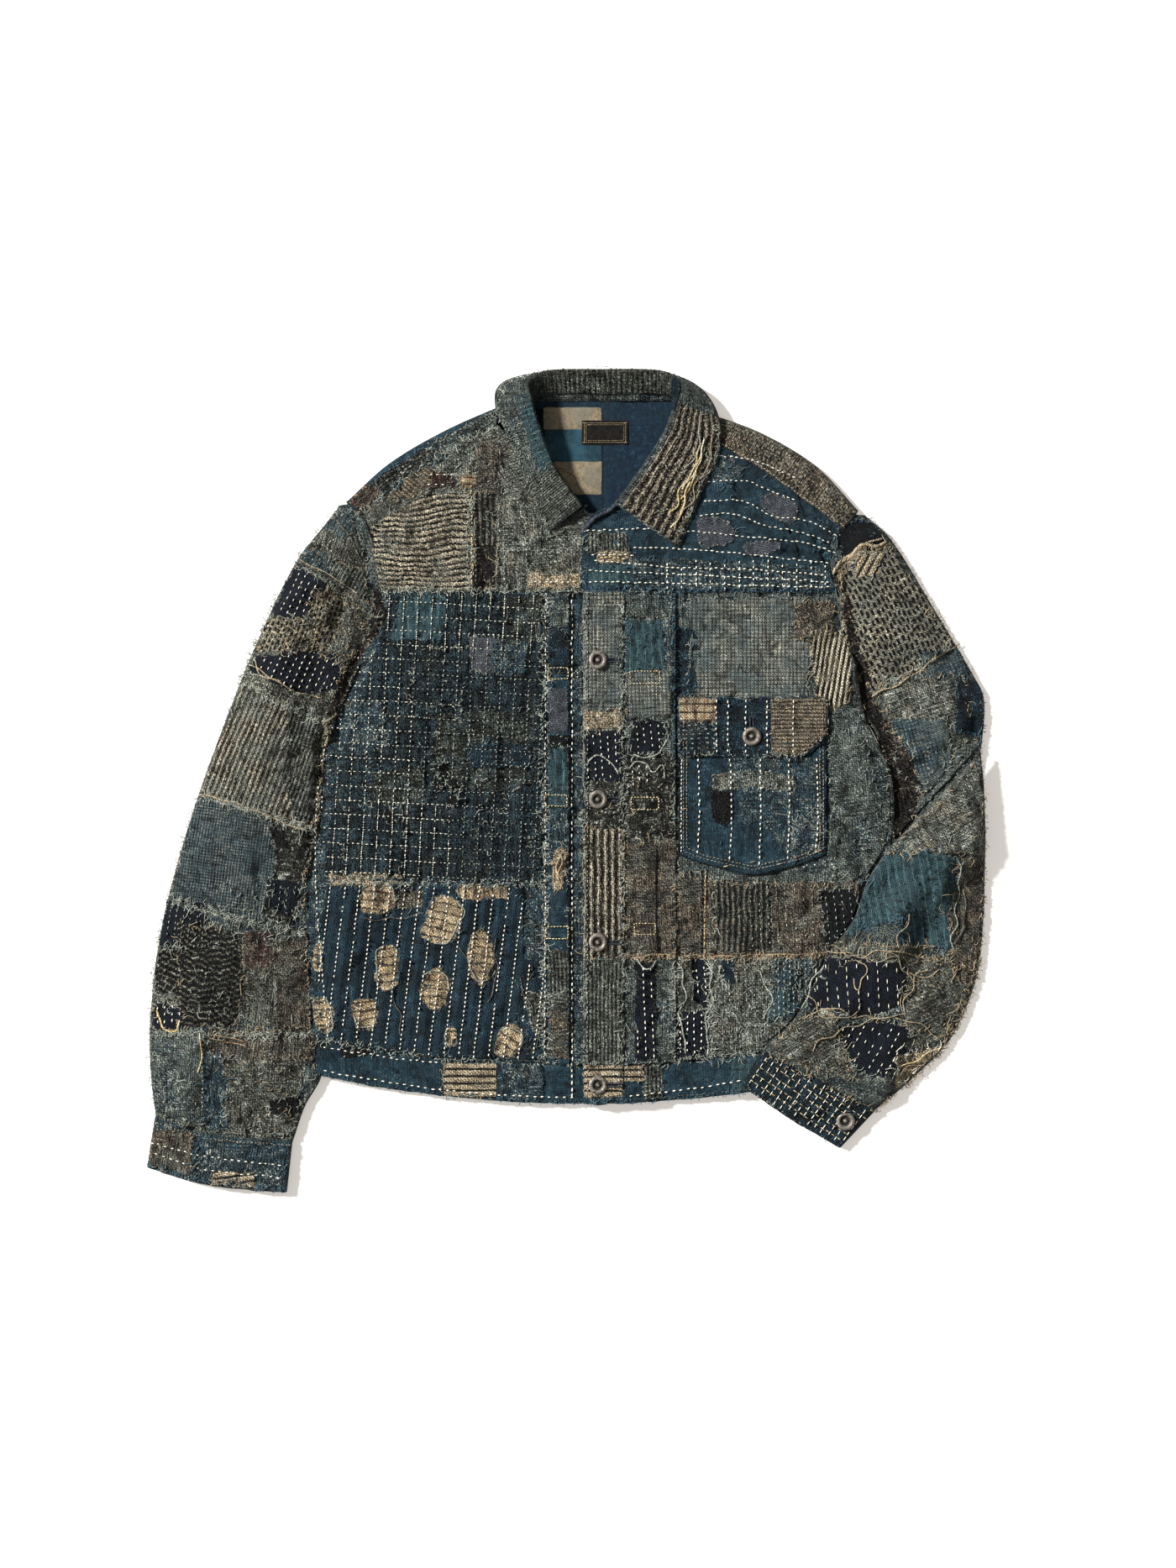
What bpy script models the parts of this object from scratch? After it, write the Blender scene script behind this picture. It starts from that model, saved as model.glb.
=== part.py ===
"""Patched boro jacket, laid flat on its back with the front up.

A short, boxy work jacket of quilted and patched cotton: shirt collar, front and back yokes, a pleat on each
front, one flapped chest pocket, waistband and cuffs. One sleeve lies along the body, and the other is bent at
the elbow with its forearm over the front.

Millimetres in the tables and functions, metres in the meshes. X runs from the wearer's right sleeve to the
left one, Y from hem to collar, Z up from the surface that the jacket lies on.
"""

import math

import bmesh
import bpy
from mathutils import Vector

MM = 0.001

# Cloth and gaps
CLOTH = 3.0  # patched and quilted cloth
BAND = 3.8  # folded double for waistband and cuffs
PATCH = 1.0  # a patch on top of the cloth
LAYER = 1.6  # placket, pleat, pocket and flap
LINING = 1.0
COLLAR_CLOTH = 1.5
ROLL_RADIUS = 2.2  # of the collar's fold, over the outside
CUFF_CLOTH = 3.2
GAP = 0.3  # between pieces that touch
BACK_INSET = 1.6  # the back's edge lies this far inside the front's
BESIDE = 1.8  # between the body's side and the sleeve that lies along it
ARMHOLE_GAP = 1.3 * GAP  # between the body's edge and the sleeve sewn to it
SLACK = 0.6  # left inside what is folded double

STEP = 0.02  # to either side, when a line's direction is taken

# Heights
FRONT_LOW = CLOTH + GAP  # underside of the front where it meets the back
FRONT_LIFT = 2.2  # how far the front rises off the back between its edges
FRONT_TOP = FRONT_LOW + FRONT_LIFT + CLOTH
LAP_LIFT = CLOTH + GAP  # the right front lies on the left one
EDGE_RUN = 34.0  # width of the roll at a side edge
SIDE_LOW = -270.0  # lowest y of the side edges
SIDE_TOP_LEFT, SIDE_TOP_RIGHT = 250.0, 236.0  # their highest y
ELBOW_WAY, ELBOW_AT, ELBOW_ROOM = (0.68, -0.73), (366.0, -14.0), 14.0  # square to the upper sleeve's folded end
SLEEVE_LIFT = 3.0
SLEEVE_ROLL, SLEEVE_END = 0.2, 0.12  # shares of its width and length over which it rises
SHOULDER_UNDER = 11.0  # how far the shoulder's cloth runs back beneath its fold
OVER_BODY = FRONT_TOP + GAP  # underside of what lies on the front
FALL_FROM, FALL_RUN = 16.0, 30.0  # it comes down to the floor this far past the front's edge

# Centre front
FRONT_EDGE = 15.0  # edge of the buttoned front
LAP_EDGE = 56.0  # edge of the front beneath it
PLACKET_EDGE = 51.0
PLEAT_EDGE = 98.0
LAP_FADE = (64.0, 92.0)  # the upper front comes down between these
YOKE_Y = 173.0
UNDERARM_LEFT, UNDERARM_RIGHT = 0.94, 0.75  # height up the front panel, as a share
BACK_YOKE_Y = 150.0
PLEAT_LEFT = (-17.0, 2.0)
BACK_FIRST = -232.0  # lowest fixed place up the back panel's sides

# Buttons
BUTTON_RADIUS = 8.5
BUTTON_HEIGHT = 3.2
BUTTON_SEGMENTS = 18
BUTTON_X = 28.0
BUTTON_Y = (111.0, -15.0, -144.0)  # on the placket
BAND_BUTTON_Y = -273.0
CUFF_BUTTON_RISE = 1.1  # it clears the cuff's slope

# x of the side edge by y, with the armhole at the top
SIDE_LEFT = [
    # y, x
    (-270, -223),
    (-217, -231),
    (-168, -234),
    (-100, -237),
    (-33, -225),
    (27, -220),
    (74, -204),
    (109, -188),
    (146, -166),
    (184, -170),
    (210, -177),
    (233, -184),
    (250, -196),
]
SIDE_RIGHT = [
    # y, x
    (-270, 264),
    (-200, 273),
    (-120, 284),
    (-60, 293),
    (-18, 296),
    (15, 291),
    (37, 284),
    (60, 270),
    (101, 262),
    (136, 252),
    (171, 247),
    (194, 238),
    (216, 244),
    (236, 258),
]

# Larger folds: where each crosses its middle, the way it runs (degrees from +X), and its half sizes
FOLDS = {
    "front_left": [
        # x, y, turn, length, width, height
        (-150, 60, 70, 70, 22, 2.2),
        (-95, -150, 84, 80, 20, 2.0),
        (-190, -120, 80, 70, 18, 1.8),
    ],
    "front_right": [
        (266, 20, 96, 50, 12, 2.2),
        (150, -150, 80, 40, 16, 1.6),
    ],
    "sleeve_left_top": [
        (-250, 120, 62, 60, 17, 3.0),
        (-280, 0, 74, 80, 20, 2.6),
        (-300, -130, 80, 80, 20, 2.6),
        (-330, -230, 86, 60, 17, 2.2),
        (-268, -220, 88, 60, 16, 2.4),
    ],
    "sleeve_right_upper_top": [
        (300, 140, -50, 60, 18, 3.0),
        (335, 70, -66, 50, 18, 2.6),
        (285, 200, -36, 40, 15, 2.2),
    ],
    "sleeve_right_lower_top": [
        (340, -60, 92, 70, 20, 3.0),
        (300, -120, 72, 60, 18, 3.0),
        (320, -200, 62, 60, 18, 2.6),
        (240, -215, 40, 40, 16, 2.4),
    ],
}

# Patches: the piece that each is sewn on, and the part of it that it covers, across and along
PATCHES = [
    # name, piece, across, along
    ("patch_sashiko_chest", "front_left", (0.10, 0.62), (0.40, 1.0)),
    ("patch_kasuri_waist", "front_left", (0.0, 0.62), (0.0, 0.40)),
    ("patch_striped_yoke", "front_yoke_left", (0.0, 0.5), (0.0, 0.66)),
    ("patch_check_chest", "front_right", (0.40, 0.72), (0.75, 1.0)),
    ("patch_striped_side", "front_right", (0.80, 1.0), (0.75, 0.92)),
    ("patch_slub_side", "front_right", (0.80, 1.0), (0.48, 0.75)),
    ("patch_brown_front", "front_right", (0.40, 0.72), (0.22, 0.38)),
    ("patch_navy_front", "front_right", (0.40, 0.50), (0.0, 0.22)),
    ("patch_sleeve_cap", "sleeve_left_top", (0.0, 1.0), (0.0, 0.14)),
    ("patch_sleeve_slub", "sleeve_left_top", (0.0, 1.0), (0.14, 0.30)),
    ("patch_sleeve_stripe", "sleeve_left_top", (0.0, 1.0), (0.34, 0.56)),
    ("patch_sleeve_teal", "sleeve_left_top", (0.0, 1.0), (0.56, 0.72)),
    ("patch_sleeve_end", "sleeve_left_top", (0.0, 1.0), (0.86, 1.0)),
    ("patch_arm_dashes", "sleeve_right_upper_top", (0.0, 1.0), (0.12, 0.60)),
    ("patch_forearm_slub", "sleeve_right_lower_top", (0.0, 1.0), (0.0, 0.28)),
    ("patch_forearm_teal", "sleeve_right_lower_top", (0.25, 1.0), (0.28, 0.60)),
    ("patch_forearm_navy", "sleeve_right_lower_top", (0.25, 1.0), (0.60, 0.86)),
]

# Collar: the neck seam, the roll and the outer edge, from the left point round the back to the right point
COLLAR = [
    # neck x, y, z, roll x, y, z, edge x, y, z
    (10, 243, 9.2, 14, 251, 16.0, -19, 226, 10.8),
    (-8, 262, 9.2, 0, 270, 17.4, -28, 248, 10.8),
    (-24, 284, 9.2, -13, 291, 19.6, -38, 273, 11.2),
    (-36, 312, 9.2, -24, 321, 22.5, -53, 312, 12.0),
    (-41, 334, 6.0, -32, 347, 24.5, -65, 342, 11.8),
    (-34, 345, 5.2, -34, 362, 25.0, -58, 363, 9.0),
    (-14, 346, 5.0, -16, 370, 24.5, -17, 373, 3.4),
    (32, 346, 5.0, 32, 371, 24.0, 32, 374, 3.4),
    (82, 346, 5.0, 82, 370, 24.5, 83, 373, 3.4),
    (97, 345, 5.2, 99, 361, 25.0, 119, 359, 9.0),
    (106, 334, 6.0, 97, 345, 24.5, 137, 332, 12.0),
    (104, 312, 9.2, 88, 318, 22.5, 138, 298, 12.0),
    (82, 284, 10.4, 71, 291, 20.0, 124, 268, 11.2),
    (62, 262, 12.5, 54, 267, 19.2, 112, 238, 10.8),
    (50, 250, 12.5, 43, 253, 18.8, 101, 213, 10.8),
]

COLOURS = {
    "indigo": (0.016, 0.035, 0.060),
    "slate": (0.035, 0.080, 0.115),
    "teal": (0.040, 0.110, 0.125),
    "navy": (0.006, 0.010, 0.018),
    "grey": (0.110, 0.125, 0.120),
    "brown": (0.120, 0.100, 0.080),
    "beige": (0.320, 0.250, 0.165),
    "lining": (0.020, 0.060, 0.115),
    "label": (0.012, 0.011, 0.010),
    "pewter": (0.180, 0.170, 0.155),
}


def clear_scene():
    for thing in list(bpy.data.objects):
        bpy.data.objects.remove(thing, do_unlink=True)


def material(colour):
    """Worn cotton, or the pewter of the buttons."""
    found = bpy.data.materials.get(colour)
    if found:
        return found
    made = bpy.data.materials.new(colour)
    made.use_nodes = True
    shader = made.node_tree.nodes["Principled BSDF"]
    metal = colour == "pewter"
    shader.inputs["Base Color"].default_value = (*COLOURS[colour], 1)
    shader.inputs["Roughness"].default_value = 0.45 if metal else 0.9
    shader.inputs["Metallic"].default_value = 1.0 if metal else 0.0
    return made


def ease(t):
    """0 to 1, level at both ends."""
    t = min(1.0, max(0.0, t))
    return t * t * (3 - 2 * t)


def smooth_line(points, even=False):
    """A smooth line through a few points, as a function of 0 to 1 along it, or along their number if even."""
    points = [Vector(p) for p in points]
    along = [0.0]
    for a, b in zip(points, points[1:]):
        along.append(along[-1] + (1.0 if even else (b - a).length))
    along = [s / along[-1] for s in along]

    def slope(i):
        if i in (0, len(points) - 1):
            j = min(max(i, 1), len(points) - 1)
            return (points[j] - points[j - 1]) / (along[j] - along[j - 1])
        return (points[i + 1] - points[i - 1]) / (along[i + 1] - along[i - 1])

    def at(t):
        i = max(k for k in range(len(points) - 1) if along[k] <= t or k == 0)
        run = along[i + 1] - along[i]
        s = (t - along[i]) / run
        a, b = points[i], points[i + 1]
        return (
            (2 * s**3 - 3 * s**2 + 1) * a
            + (s**3 - 2 * s**2 + s) * run * slope(i)
            + (3 * s**2 - 2 * s**3) * b
            + (s**3 - s**2) * run * slope(i + 1)
        )

    return at


def straight_line(points):
    """Straight runs between points, and where each point lies, from 0 to 1."""
    points = [Vector(p) for p in points]
    along = [0.0]
    for a, b in zip(points, points[1:]):
        along.append(along[-1] + (b - a).length)
    along = [s / along[-1] for s in along]

    def at(t):
        i = max(k for k in range(len(points) - 1) if along[k] <= t or k == 0)
        return points[i].lerp(points[i + 1], (t - along[i]) / (along[i + 1] - along[i]))

    return at, along


def by_y(table):
    """x as a smooth function of y, from rows of y and x."""
    line = smooth_line([(x, y) for y, x in table])

    def x_at(y):
        low, high = 0.0, 1.0
        for _ in range(24):
            mid = (low + high) / 2
            if line(mid).y < y:
                low = mid
            else:
                high = mid
        return line(low).x

    return x_at


side_left = by_y(SIDE_LEFT)
side_right = by_y(SIDE_RIGHT)


def waist_seam(x):
    """y of the seam between the body and its waistband."""
    return -255 + 0.00037 * (x - 16) ** 2


def hem(x):
    """y of the waistband's lower edge."""
    return -290 + 0.00045 * (x - 13) ** 2


def stops(*breaks, longest=0.12):
    """The breaks, with even steps between them no longer than asked."""
    found = [breaks[0]]
    for a, b in zip(breaks, breaks[1:]):
        steps = max(1, math.ceil((b - a) / longest - 1e-6))
        found += [a + (b - a) * (k + 1) / steps for k in range(steps)]
    return found


def coons(start, end, west, east, across, along):
    """A grid of points between four lines: start and end run west to east, west and east from start to end."""
    start, end, west, east = (p if callable(p) else smooth_line(p) for p in (start, end, west, east))
    corners = start(0), start(1), end(0), end(1)
    grid = []
    for v in along:
        row = []
        for u in across:
            flat = (1 - u) * ((1 - v) * corners[0] + v * corners[2]) + u * (
                (1 - v) * corners[1] + v * corners[3]
            )
            p = (1 - v) * start(u) + v * end(u) + (1 - u) * west(v) + u * east(v) - flat
            row.append((p.x, p.y))
        grid.append(row)
    return grid


def fold_height(name, x, y):
    total = 0.0
    for fx, fy, turn, length, width, height in FOLDS.get(name, []):
        c, s = math.cos(math.radians(turn)), math.sin(math.radians(turn))
        run, off = (x - fx) * c + (y - fy) * s, (y - fy) * c - (x - fx) * s
        total += height * math.exp(-((run / length) ** 2) - (off / width) ** 2)
    return total


def add_object(name, colour, vertices, faces):
    """One closed body with its faces pointing out."""
    mesh = bpy.data.meshes.new(name)
    shape = bmesh.new()
    corners = [shape.verts.new([c * MM for c in p]) for p in vertices]
    for face in faces:
        shape.faces.new([corners[i] for i in face])
    bmesh.ops.recalc_face_normals(shape, faces=shape.faces)
    shape.to_mesh(mesh)
    shape.free()
    made = bpy.data.objects.new(name, mesh)
    made.data.materials.append(material(colour))
    bpy.context.scene.collection.objects.link(made)
    return made


def cells(rows, columns, closed=False):
    """The grid's triangles, always cut the same way, and the loop of its border."""
    wide = columns if closed else columns - 1
    found = []
    for j in range(rows - 1):
        for i in range(wide):
            k = (i + 1) % columns
            a, b, c, d = j * columns + i, j * columns + k, (j + 1) * columns + k, (j + 1) * columns + i
            found += [(a, b, c), (a, c, d)]
    return found


def border(rows, columns):
    south = [(0, i) for i in range(columns)]
    east = [(j, columns - 1) for j in range(1, rows)]
    north = [(rows - 1, i) for i in range(columns - 2, -1, -1)]
    west = [(j, 0) for j in range(rows - 2, 0, -1)]
    return [j * columns + i for j, i in south + east + north + west]


def two_sided(name, colour, lower, upper):
    """A wall between two grids of the same size."""
    rows, columns = len(lower), len(lower[0])
    count = rows * columns
    faces = cells(rows, columns)
    faces += [tuple(i + count for i in face) for face in faces]
    edge = border(rows, columns)
    for a, b in zip(edge, edge[1:] + edge[:1]):
        faces += [(a, b, b + count), (a, b + count, a + count)]
    vertices = [p for row in lower for p in row] + [p for row in upper for p in row]
    return add_object(name, colour, vertices, faces)


SHEETS = {}  # for what is sewn on a piece: its grid of upper points, and their places across and along


def lay(name, colour, grid, underside, thickness, across, along):
    """A sheet that lies on what is beneath it, with its underside at a height worked out from x and y."""
    lower = [[(x, y, underside(x, y) + fold_height(name, x, y)) for x, y in row] for row in grid]
    upper = [[(x, y, z + thickness) for x, y, z in row] for row in lower]
    SHEETS[name] = upper, across, along
    return two_sided(name, colour, lower, upper)


def sew_on(name, colour, piece, across, along, thickness=PATCH, inset=0.0):
    """A layer made from the points of the piece beneath it, moved out by the gap."""
    upper, places_across, places_along = SHEETS[piece]
    rows = [j for j, v in enumerate(places_along) if along[0] - 1e-6 <= v <= along[1] + 1e-6]
    columns = [i for i, u in enumerate(places_across) if across[0] - 1e-6 <= u <= across[1] + 1e-6]
    lower = [[(upper[j][i][0], upper[j][i][1], upper[j][i][2] + GAP) for i in columns] for j in rows]
    if inset:
        lower = shrink(lower, inset)
    raised = [[(x, y, z + thickness) for x, y, z in row] for row in lower]
    SHEETS[name] = raised, [places_across[i] for i in columns], [places_along[j] for j in rows]
    return two_sided(name, colour, lower, raised)


def shrink(grid, inset):
    """The grid's border, drawn in along its own cells so that two neighbours on one piece stay apart."""
    grid = [list(row) for row in grid]

    def toward(a, b):
        a, b = Vector(a), Vector(b)
        return tuple(a + (b - a).normalized() * inset)

    for row in grid:
        row[0], row[-1] = toward(row[0], row[1]), toward(row[-1], row[-2])
    first = [toward(a, b) for a, b in zip(grid[0], grid[1])]
    last = [toward(a, b) for a, b in zip(grid[-1], grid[-2])]
    grid[0], grid[-1] = first, last
    return grid


def normal_at(grid, j, i, closed):
    """Square to the sheet at one point of its grid, from the neighbours along and across."""
    rows, columns = len(grid), len(grid[0])
    if closed:
        left, right = grid[j][(i - 1) % columns], grid[j][(i + 1) % columns]
    else:
        left, right = grid[j][max(i - 1, 0)], grid[j][min(i + 1, columns - 1)]
    back, on = grid[max(j - 1, 0)][i], grid[min(j + 1, rows - 1)][i]
    return (Vector(right) - Vector(left)).cross(Vector(on) - Vector(back)).normalized()


def walled(name, colour, grid, thickness, closed=False, side=1):
    """A wall of even thickness inside a grid of outer points, which may close into rings."""
    rows, columns = len(grid), len(grid[0])
    inner = [
        [tuple(Vector(p) - side * thickness * normal_at(grid, j, i, closed)) for i, p in enumerate(row)]
        for j, row in enumerate(grid)
    ]
    if not closed:
        return two_sided(name, colour, grid, inner)
    count = rows * columns
    faces = cells(rows, columns, closed=True)
    faces += [tuple(i + count for i in face) for face in faces]
    for j in (0, rows - 1):
        for i in range(columns):
            a, b = j * columns + i, j * columns + (i + 1) % columns
            faces += [(a, b, b + count), (a, b + count, a + count)]
    return add_object(name, colour, [p for row in grid for p in row] + [p for row in inner for p in row], faces)


# Heights of the layers


def left_underside(x, y):
    """The left front rolls down to the back at its side and armhole, and is level elsewhere."""
    return FRONT_LOW + FRONT_LIFT * ease((x - side_left(min(y, SIDE_TOP_LEFT))) / EDGE_RUN)


def lap(x):
    """1 where the right front lies on the left one, and 0 past the lap."""
    return 1 - ease((x - LAP_FADE[0]) / (LAP_FADE[1] - LAP_FADE[0]))


def right_underside(x, y):
    side = FRONT_LIFT * ease((side_right(min(y, SIDE_TOP_RIGHT)) - x) / EDGE_RUN)
    return FRONT_LOW + side + LAP_LIFT * lap(x)


def hem_distance(x, y):
    """How far a point is outside the body's lower right corner: past the side, or past the hem."""
    return max(x - side_right(max(SIDE_LOW, min(SIDE_TOP_RIGHT, y))), hem(x) - y)


def under_forearm(x, y):
    """The forearm lies on the front, the hem and the folded elbow, and comes down to the floor past them."""
    past_elbow = ELBOW_WAY[0] * (x - ELBOW_AT[0]) + ELBOW_WAY[1] * (y - ELBOW_AT[1]) - ELBOW_ROOM
    outside = min(hem_distance(x, y), past_elbow)
    return OVER_BODY * (1 - ease((outside - FALL_FROM) / FALL_RUN))


def back():
    """Back panel, yoke and waistband, flat on the floor."""
    across, along = stops(0, 1, longest=0.2), stops(0, 1, longest=0.11)
    high = BACK_YOKE_Y - GAP
    ys = [BACK_FIRST + (high - BACK_FIRST) * v for v in along]
    start = [(x, waist_seam(x) + GAP) for x in (-229, -120, 16, 150, 265)]
    end = [(side_left(high) + BACK_INSET, high), (side_right(high) - BACK_INSET, high)]
    west = [start[0]] + [(side_left(y) + BACK_INSET, y) for y in ys[1:-1]] + [end[0]]
    east = [start[-1]] + [(side_right(y) - BACK_INSET, y) for y in ys[1:-1]] + [end[-1]]
    grid = coons(start, end, west, east, across, along)
    lay("back_panel", "slate", grid, lambda x, y: 0, CLOTH, across, along)

    armhole_left = [(side_left(y) + BACK_INSET, y) for y in (BACK_YOKE_Y, 184, 210, 233)]
    armhole_right = [(side_right(y) - BACK_INSET, y) for y in (BACK_YOKE_Y, 171, 194, 216)]
    west = armhole_left + [(-181, 246), (-150, 272), (-105, 303), (-52, 331)]
    east = armhole_right + [(250, 236), (214, 264), (170, 292), (120, 320)]
    start = [armhole_left[0], (40, BACK_YOKE_Y), armhole_right[0]]
    end = [west[-1], (-30, 344), (34, 345), (100, 342), east[-1]]
    along = stops(0, 1, longest=0.08)
    grid = coons(start, end, west, east, stops(0, 1, longest=0.2), along)
    lay("back_yoke", "grey", grid, lambda x, y: 0, CLOTH, across, along)

    seam = [(x, waist_seam(x)) for x in (-227, -120, 16, 150, 264)]
    edge = [(x, hem(x)) for x in (-224, -120, 13, 150, 263)]
    grid = coons(edge, seam, [edge[0], seam[0]], [edge[-1], seam[-1]], stops(0, 1, longest=0.1), [0, 1])
    lay("waistband_back", "slate", grid, lambda x, y: 0, BAND + SLACK, across, [0, 1])


def shoulder(name, colour, edge, seam, side):
    """The back yoke turned forward over the shoulder: from beneath, round the fold, to its seam on the front."""
    tall = FRONT_TOP
    round_steps = 5
    edge, seam = smooth_line(edge), smooth_line(seam)
    grid = []
    for v in stops(0, 1, longest=0.1):
        rim, top = edge(v), seam(v)
        inward = (top - rim).normalized()
        radius = tall / 2
        row = [(*(rim + inward * SHOULDER_UNDER), 0.0)]
        for k in range(round_steps + 1):
            turn = math.pi * k / round_steps
            p = rim + inward * radius * (1 - math.sin(turn))
            row.append((*p, radius - radius * math.cos(turn)))
        row.append((*(top - inward * GAP), tall))
        grid.append(row)
    walled(name, colour, grid, CLOTH, side=side)


def fronts():
    """Each front below the yoke: columns at fixed places across, and a few more out to the side."""
    front_panel(
        "front_left",
        "indigo",
        side_left,
        [-140, -112, -84, -56, PLEAT_LEFT[0], PLEAT_LEFT[1], FRONT_EDGE, LAP_EDGE],
        left_underside,
        stops(0, 0.40, UNDERARM_LEFT, 1.0, longest=0.12),
    )
    front_panel(
        "front_right",
        "slate",
        side_right,
        [236, 214, 168, 130, 101, PLEAT_EDGE, LAP_FADE[1], 78, LAP_FADE[0], PLACKET_EDGE, FRONT_EDGE],
        right_underside,
        stops(0, 0.22, 0.38, 0.48, UNDERARM_RIGHT, 0.92, 1.0, longest=0.12),
    )


ACROSS = {
    # place across at each column, from the side: the share that a patch's table gives
    "front_left": [0.0, 0.10, 0.2, 0.3, 0.4, 0.5, 0.56, 0.62, 0.70, 0.8, 1.0],
    "front_right": [1.0, 0.9, 0.80, 0.72, 0.66, 0.50, 0.40, 0.36, 0.32, 0.28, 0.24, 0.2, 0.0],
}
NEAREST_TO_SIDE = 7.0  # a fixed column gives way where the side comes closer than this
SIDE_PLUMB_Y = -230.0  # below this the fronts' outer column runs straight down
OUTER_COLUMNS = {1: (0.0, 0.2, 0.6), -1: (0.0, 0.5)}  # shares from the side to the first fixed column


def front_panel(name, colour, side, fixed, underside, along):
    toward = 1 if fixed[0] > side(0) else -1  # from the side to the centre front
    grid = []
    for v in along:
        middle_y = waist_seam(fixed[0]) + (YOKE_Y - waist_seam(fixed[0])) * v
        edge = side(max(middle_y, waist_seam(side(SIDE_PLUMB_Y))))
        inner = [x if (x - edge) * toward > NEAREST_TO_SIDE else edge + toward * NEAREST_TO_SIDE for x in fixed]
        outer = [edge + (inner[0] - edge) * f for f in OUTER_COLUMNS[toward]]
        row = []
        for x in outer + inner:
            low = waist_seam(x) + GAP
            row.append((x, low + (YOKE_Y - GAP - low) * v))
        grid.append(row)
    lay(name, colour, grid, underside, CLOTH, ACROSS[name], along)


def front_yokes():
    """From the yoke seam up to the shoulder seam, the armhole and the neck."""
    across, along = stops(0, 0.5, 1.0, longest=0.17), stops(0, 0.66, 1.0, longest=0.17)
    start = [(side_left(YOKE_Y), YOKE_Y), (-60, YOKE_Y), (LAP_EDGE, YOKE_Y)]
    end = [(-190, 244), (-130, 288), (-64, 324)]
    west = [(side_left(y), y) for y in (YOKE_Y, 210, 233)] + [end[0]]
    east = [(LAP_EDGE, YOKE_Y), (LAP_EDGE, 225), (38, 240), (10, 248), (-14, 270), (-36, 298), end[-1]]
    grid = coons(start, end, west, east, across, along)
    lay("front_yoke_left", "grey", grid, left_underside, CLOTH, across, along)

    start = [(FRONT_EDGE, YOKE_Y), (130, YOKE_Y), (side_right(YOKE_Y), YOKE_Y)]
    end = [(112, 320), (172, 286), (250, 230)]
    west = [(FRONT_EDGE, YOKE_Y), (FRONT_EDGE, 228), (26, 243), (52, 258), (74, 283), (92, 306), end[0]]
    east = [(side_right(y), y) for y in (YOKE_Y, 194, 216)] + [end[-1]]
    grid = coons(start, end, west, east, stops(0, 1, longest=0.1), along)
    lay("front_yoke_right", "indigo", grid, right_underside, CLOTH, across, along)


def front_layers():
    """What is folded or sewn on the fronts: pleats, placket, pocket and flap."""
    sew_on("front_pleat_left", "slate", "front_left", (0.62, 0.70), (0, 1), LAYER, inset=0.15)
    sew_on("front_pleat_right", "grey", "front_right", (0.20, 0.36), (0, 1), LAYER, inset=0.15)
    sew_on("placket", "brown", "front_right", (0.0, 0.2), (0, 1), LAYER, inset=0.15)

    top = FRONT_TOP + GAP
    start = [(103, -66), (122, -72), (168, -83), (214, -72), (234, -64)]
    end = [(103, 64), (168, 64), (234, 64)]
    across, along = stops(0, 1, longest=0.17), stops(0, 1, longest=0.25)
    grid = coons(start, end, [start[0], end[0]], [start[-1], end[-1]], across, along)
    lay("chest_pocket", "slate", grid, lambda x, y: top, LAYER, across, along)
    start = [(101, 24), (168, 24), (214, 24), (236, 44)]
    end = [(101, 77), (168, 77), (236, 77)]
    grid = coons(start, end, [start[0], end[0]], [start[-1], end[-1]], across, along)
    lay("pocket_flap", "brown", grid, lambda x, y: top + LAYER + GAP, LAYER, across, along)


def waistbands():
    """The band below each front, folded double; the right one laps over the left."""
    level = FRONT_TOP - BAND
    for name, colour, left, right, places, rise in (
        ("waistband_left", "slate", -226, LAP_EDGE, stops(0, 1, longest=0.17), 0),
        ("waistband_right", "indigo", FRONT_EDGE, 264, stops(0, 1, longest=0.05), BAND + GAP),
    ):
        xs = [left + (right - left) * u for u in places]
        grid = [[(x, hem(x)) for x in xs], [(x, waist_seam(x) - GAP) for x in xs]]
        lay(name, colour, grid, lambda x, y, rise=rise: level + rise * lap(x), BAND, places, [0, 1])


def collar():
    """One folded strip: up from the neck seam, round the roll, and down over it to the outer edge."""
    lines = [smooth_line([row[k : k + 3] for row in COLLAR], even=True) for k in (0, 3, 6)]
    grid = []
    for v in stops(0, 1, longest=0.052):
        neck, roll, edge = (line(v) for line in lines)
        along = (lines[1](min(1, v + STEP)) - lines[1](max(0, v - STEP))).normalized()
        up, out = ((p - along * p.dot(along)).normalized() for p in (roll - neck, edge - roll))
        nose, turned = (up - out).normalized(), (up + out).normalized()
        half_turn = math.atan2(up.dot(nose), up.dot(turned))
        centre = roll - nose * ROLL_RADIUS
        arc = [
            centre + (nose * math.cos(turn) + turned * math.sin(turn)) * ROLL_RADIUS
            for turn in (-half_turn, -half_turn / 3, half_turn / 3, half_turn)
        ]
        stand, fall = (arc[0] - neck), (edge - arc[-1])
        path = [neck, neck + stand * 0.5, arc[0] - stand.normalized() * ROLL_RADIUS, *arc]
        path += [arc[-1] + fall.normalized() * ROLL_RADIUS, arc[-1] + fall * 0.55, edge]
        grid.append([tuple(p) for p in path])
    walled("collar", "grey", grid, COLLAR_CLOTH, side=-1)


def neck():
    """What shows inside the neck: the lining of the back yoke, and a bare label."""
    across = stops(0, 1, longest=0.26)
    start, end = [(-20, 228), (80, 228)], [(-44, 341), (34, 343), (106, 339)]
    west, east = [start[0], (-40, 275), end[0]], [start[-1], (100, 290), end[-1]]
    grid = coons(start, end, west, east, across, across)
    lay("neck_lining", "lining", grid, lambda x, y: CLOTH + GAP, LINING, across, across)
    grid = [[(14, 307), (55, 307)], [(14, 328), (55, 328)]]
    lay("neck_label", "label", grid, lambda x, y: CLOTH + LINING + 2 * GAP, 0.7, [0, 1], [0, 1])


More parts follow.
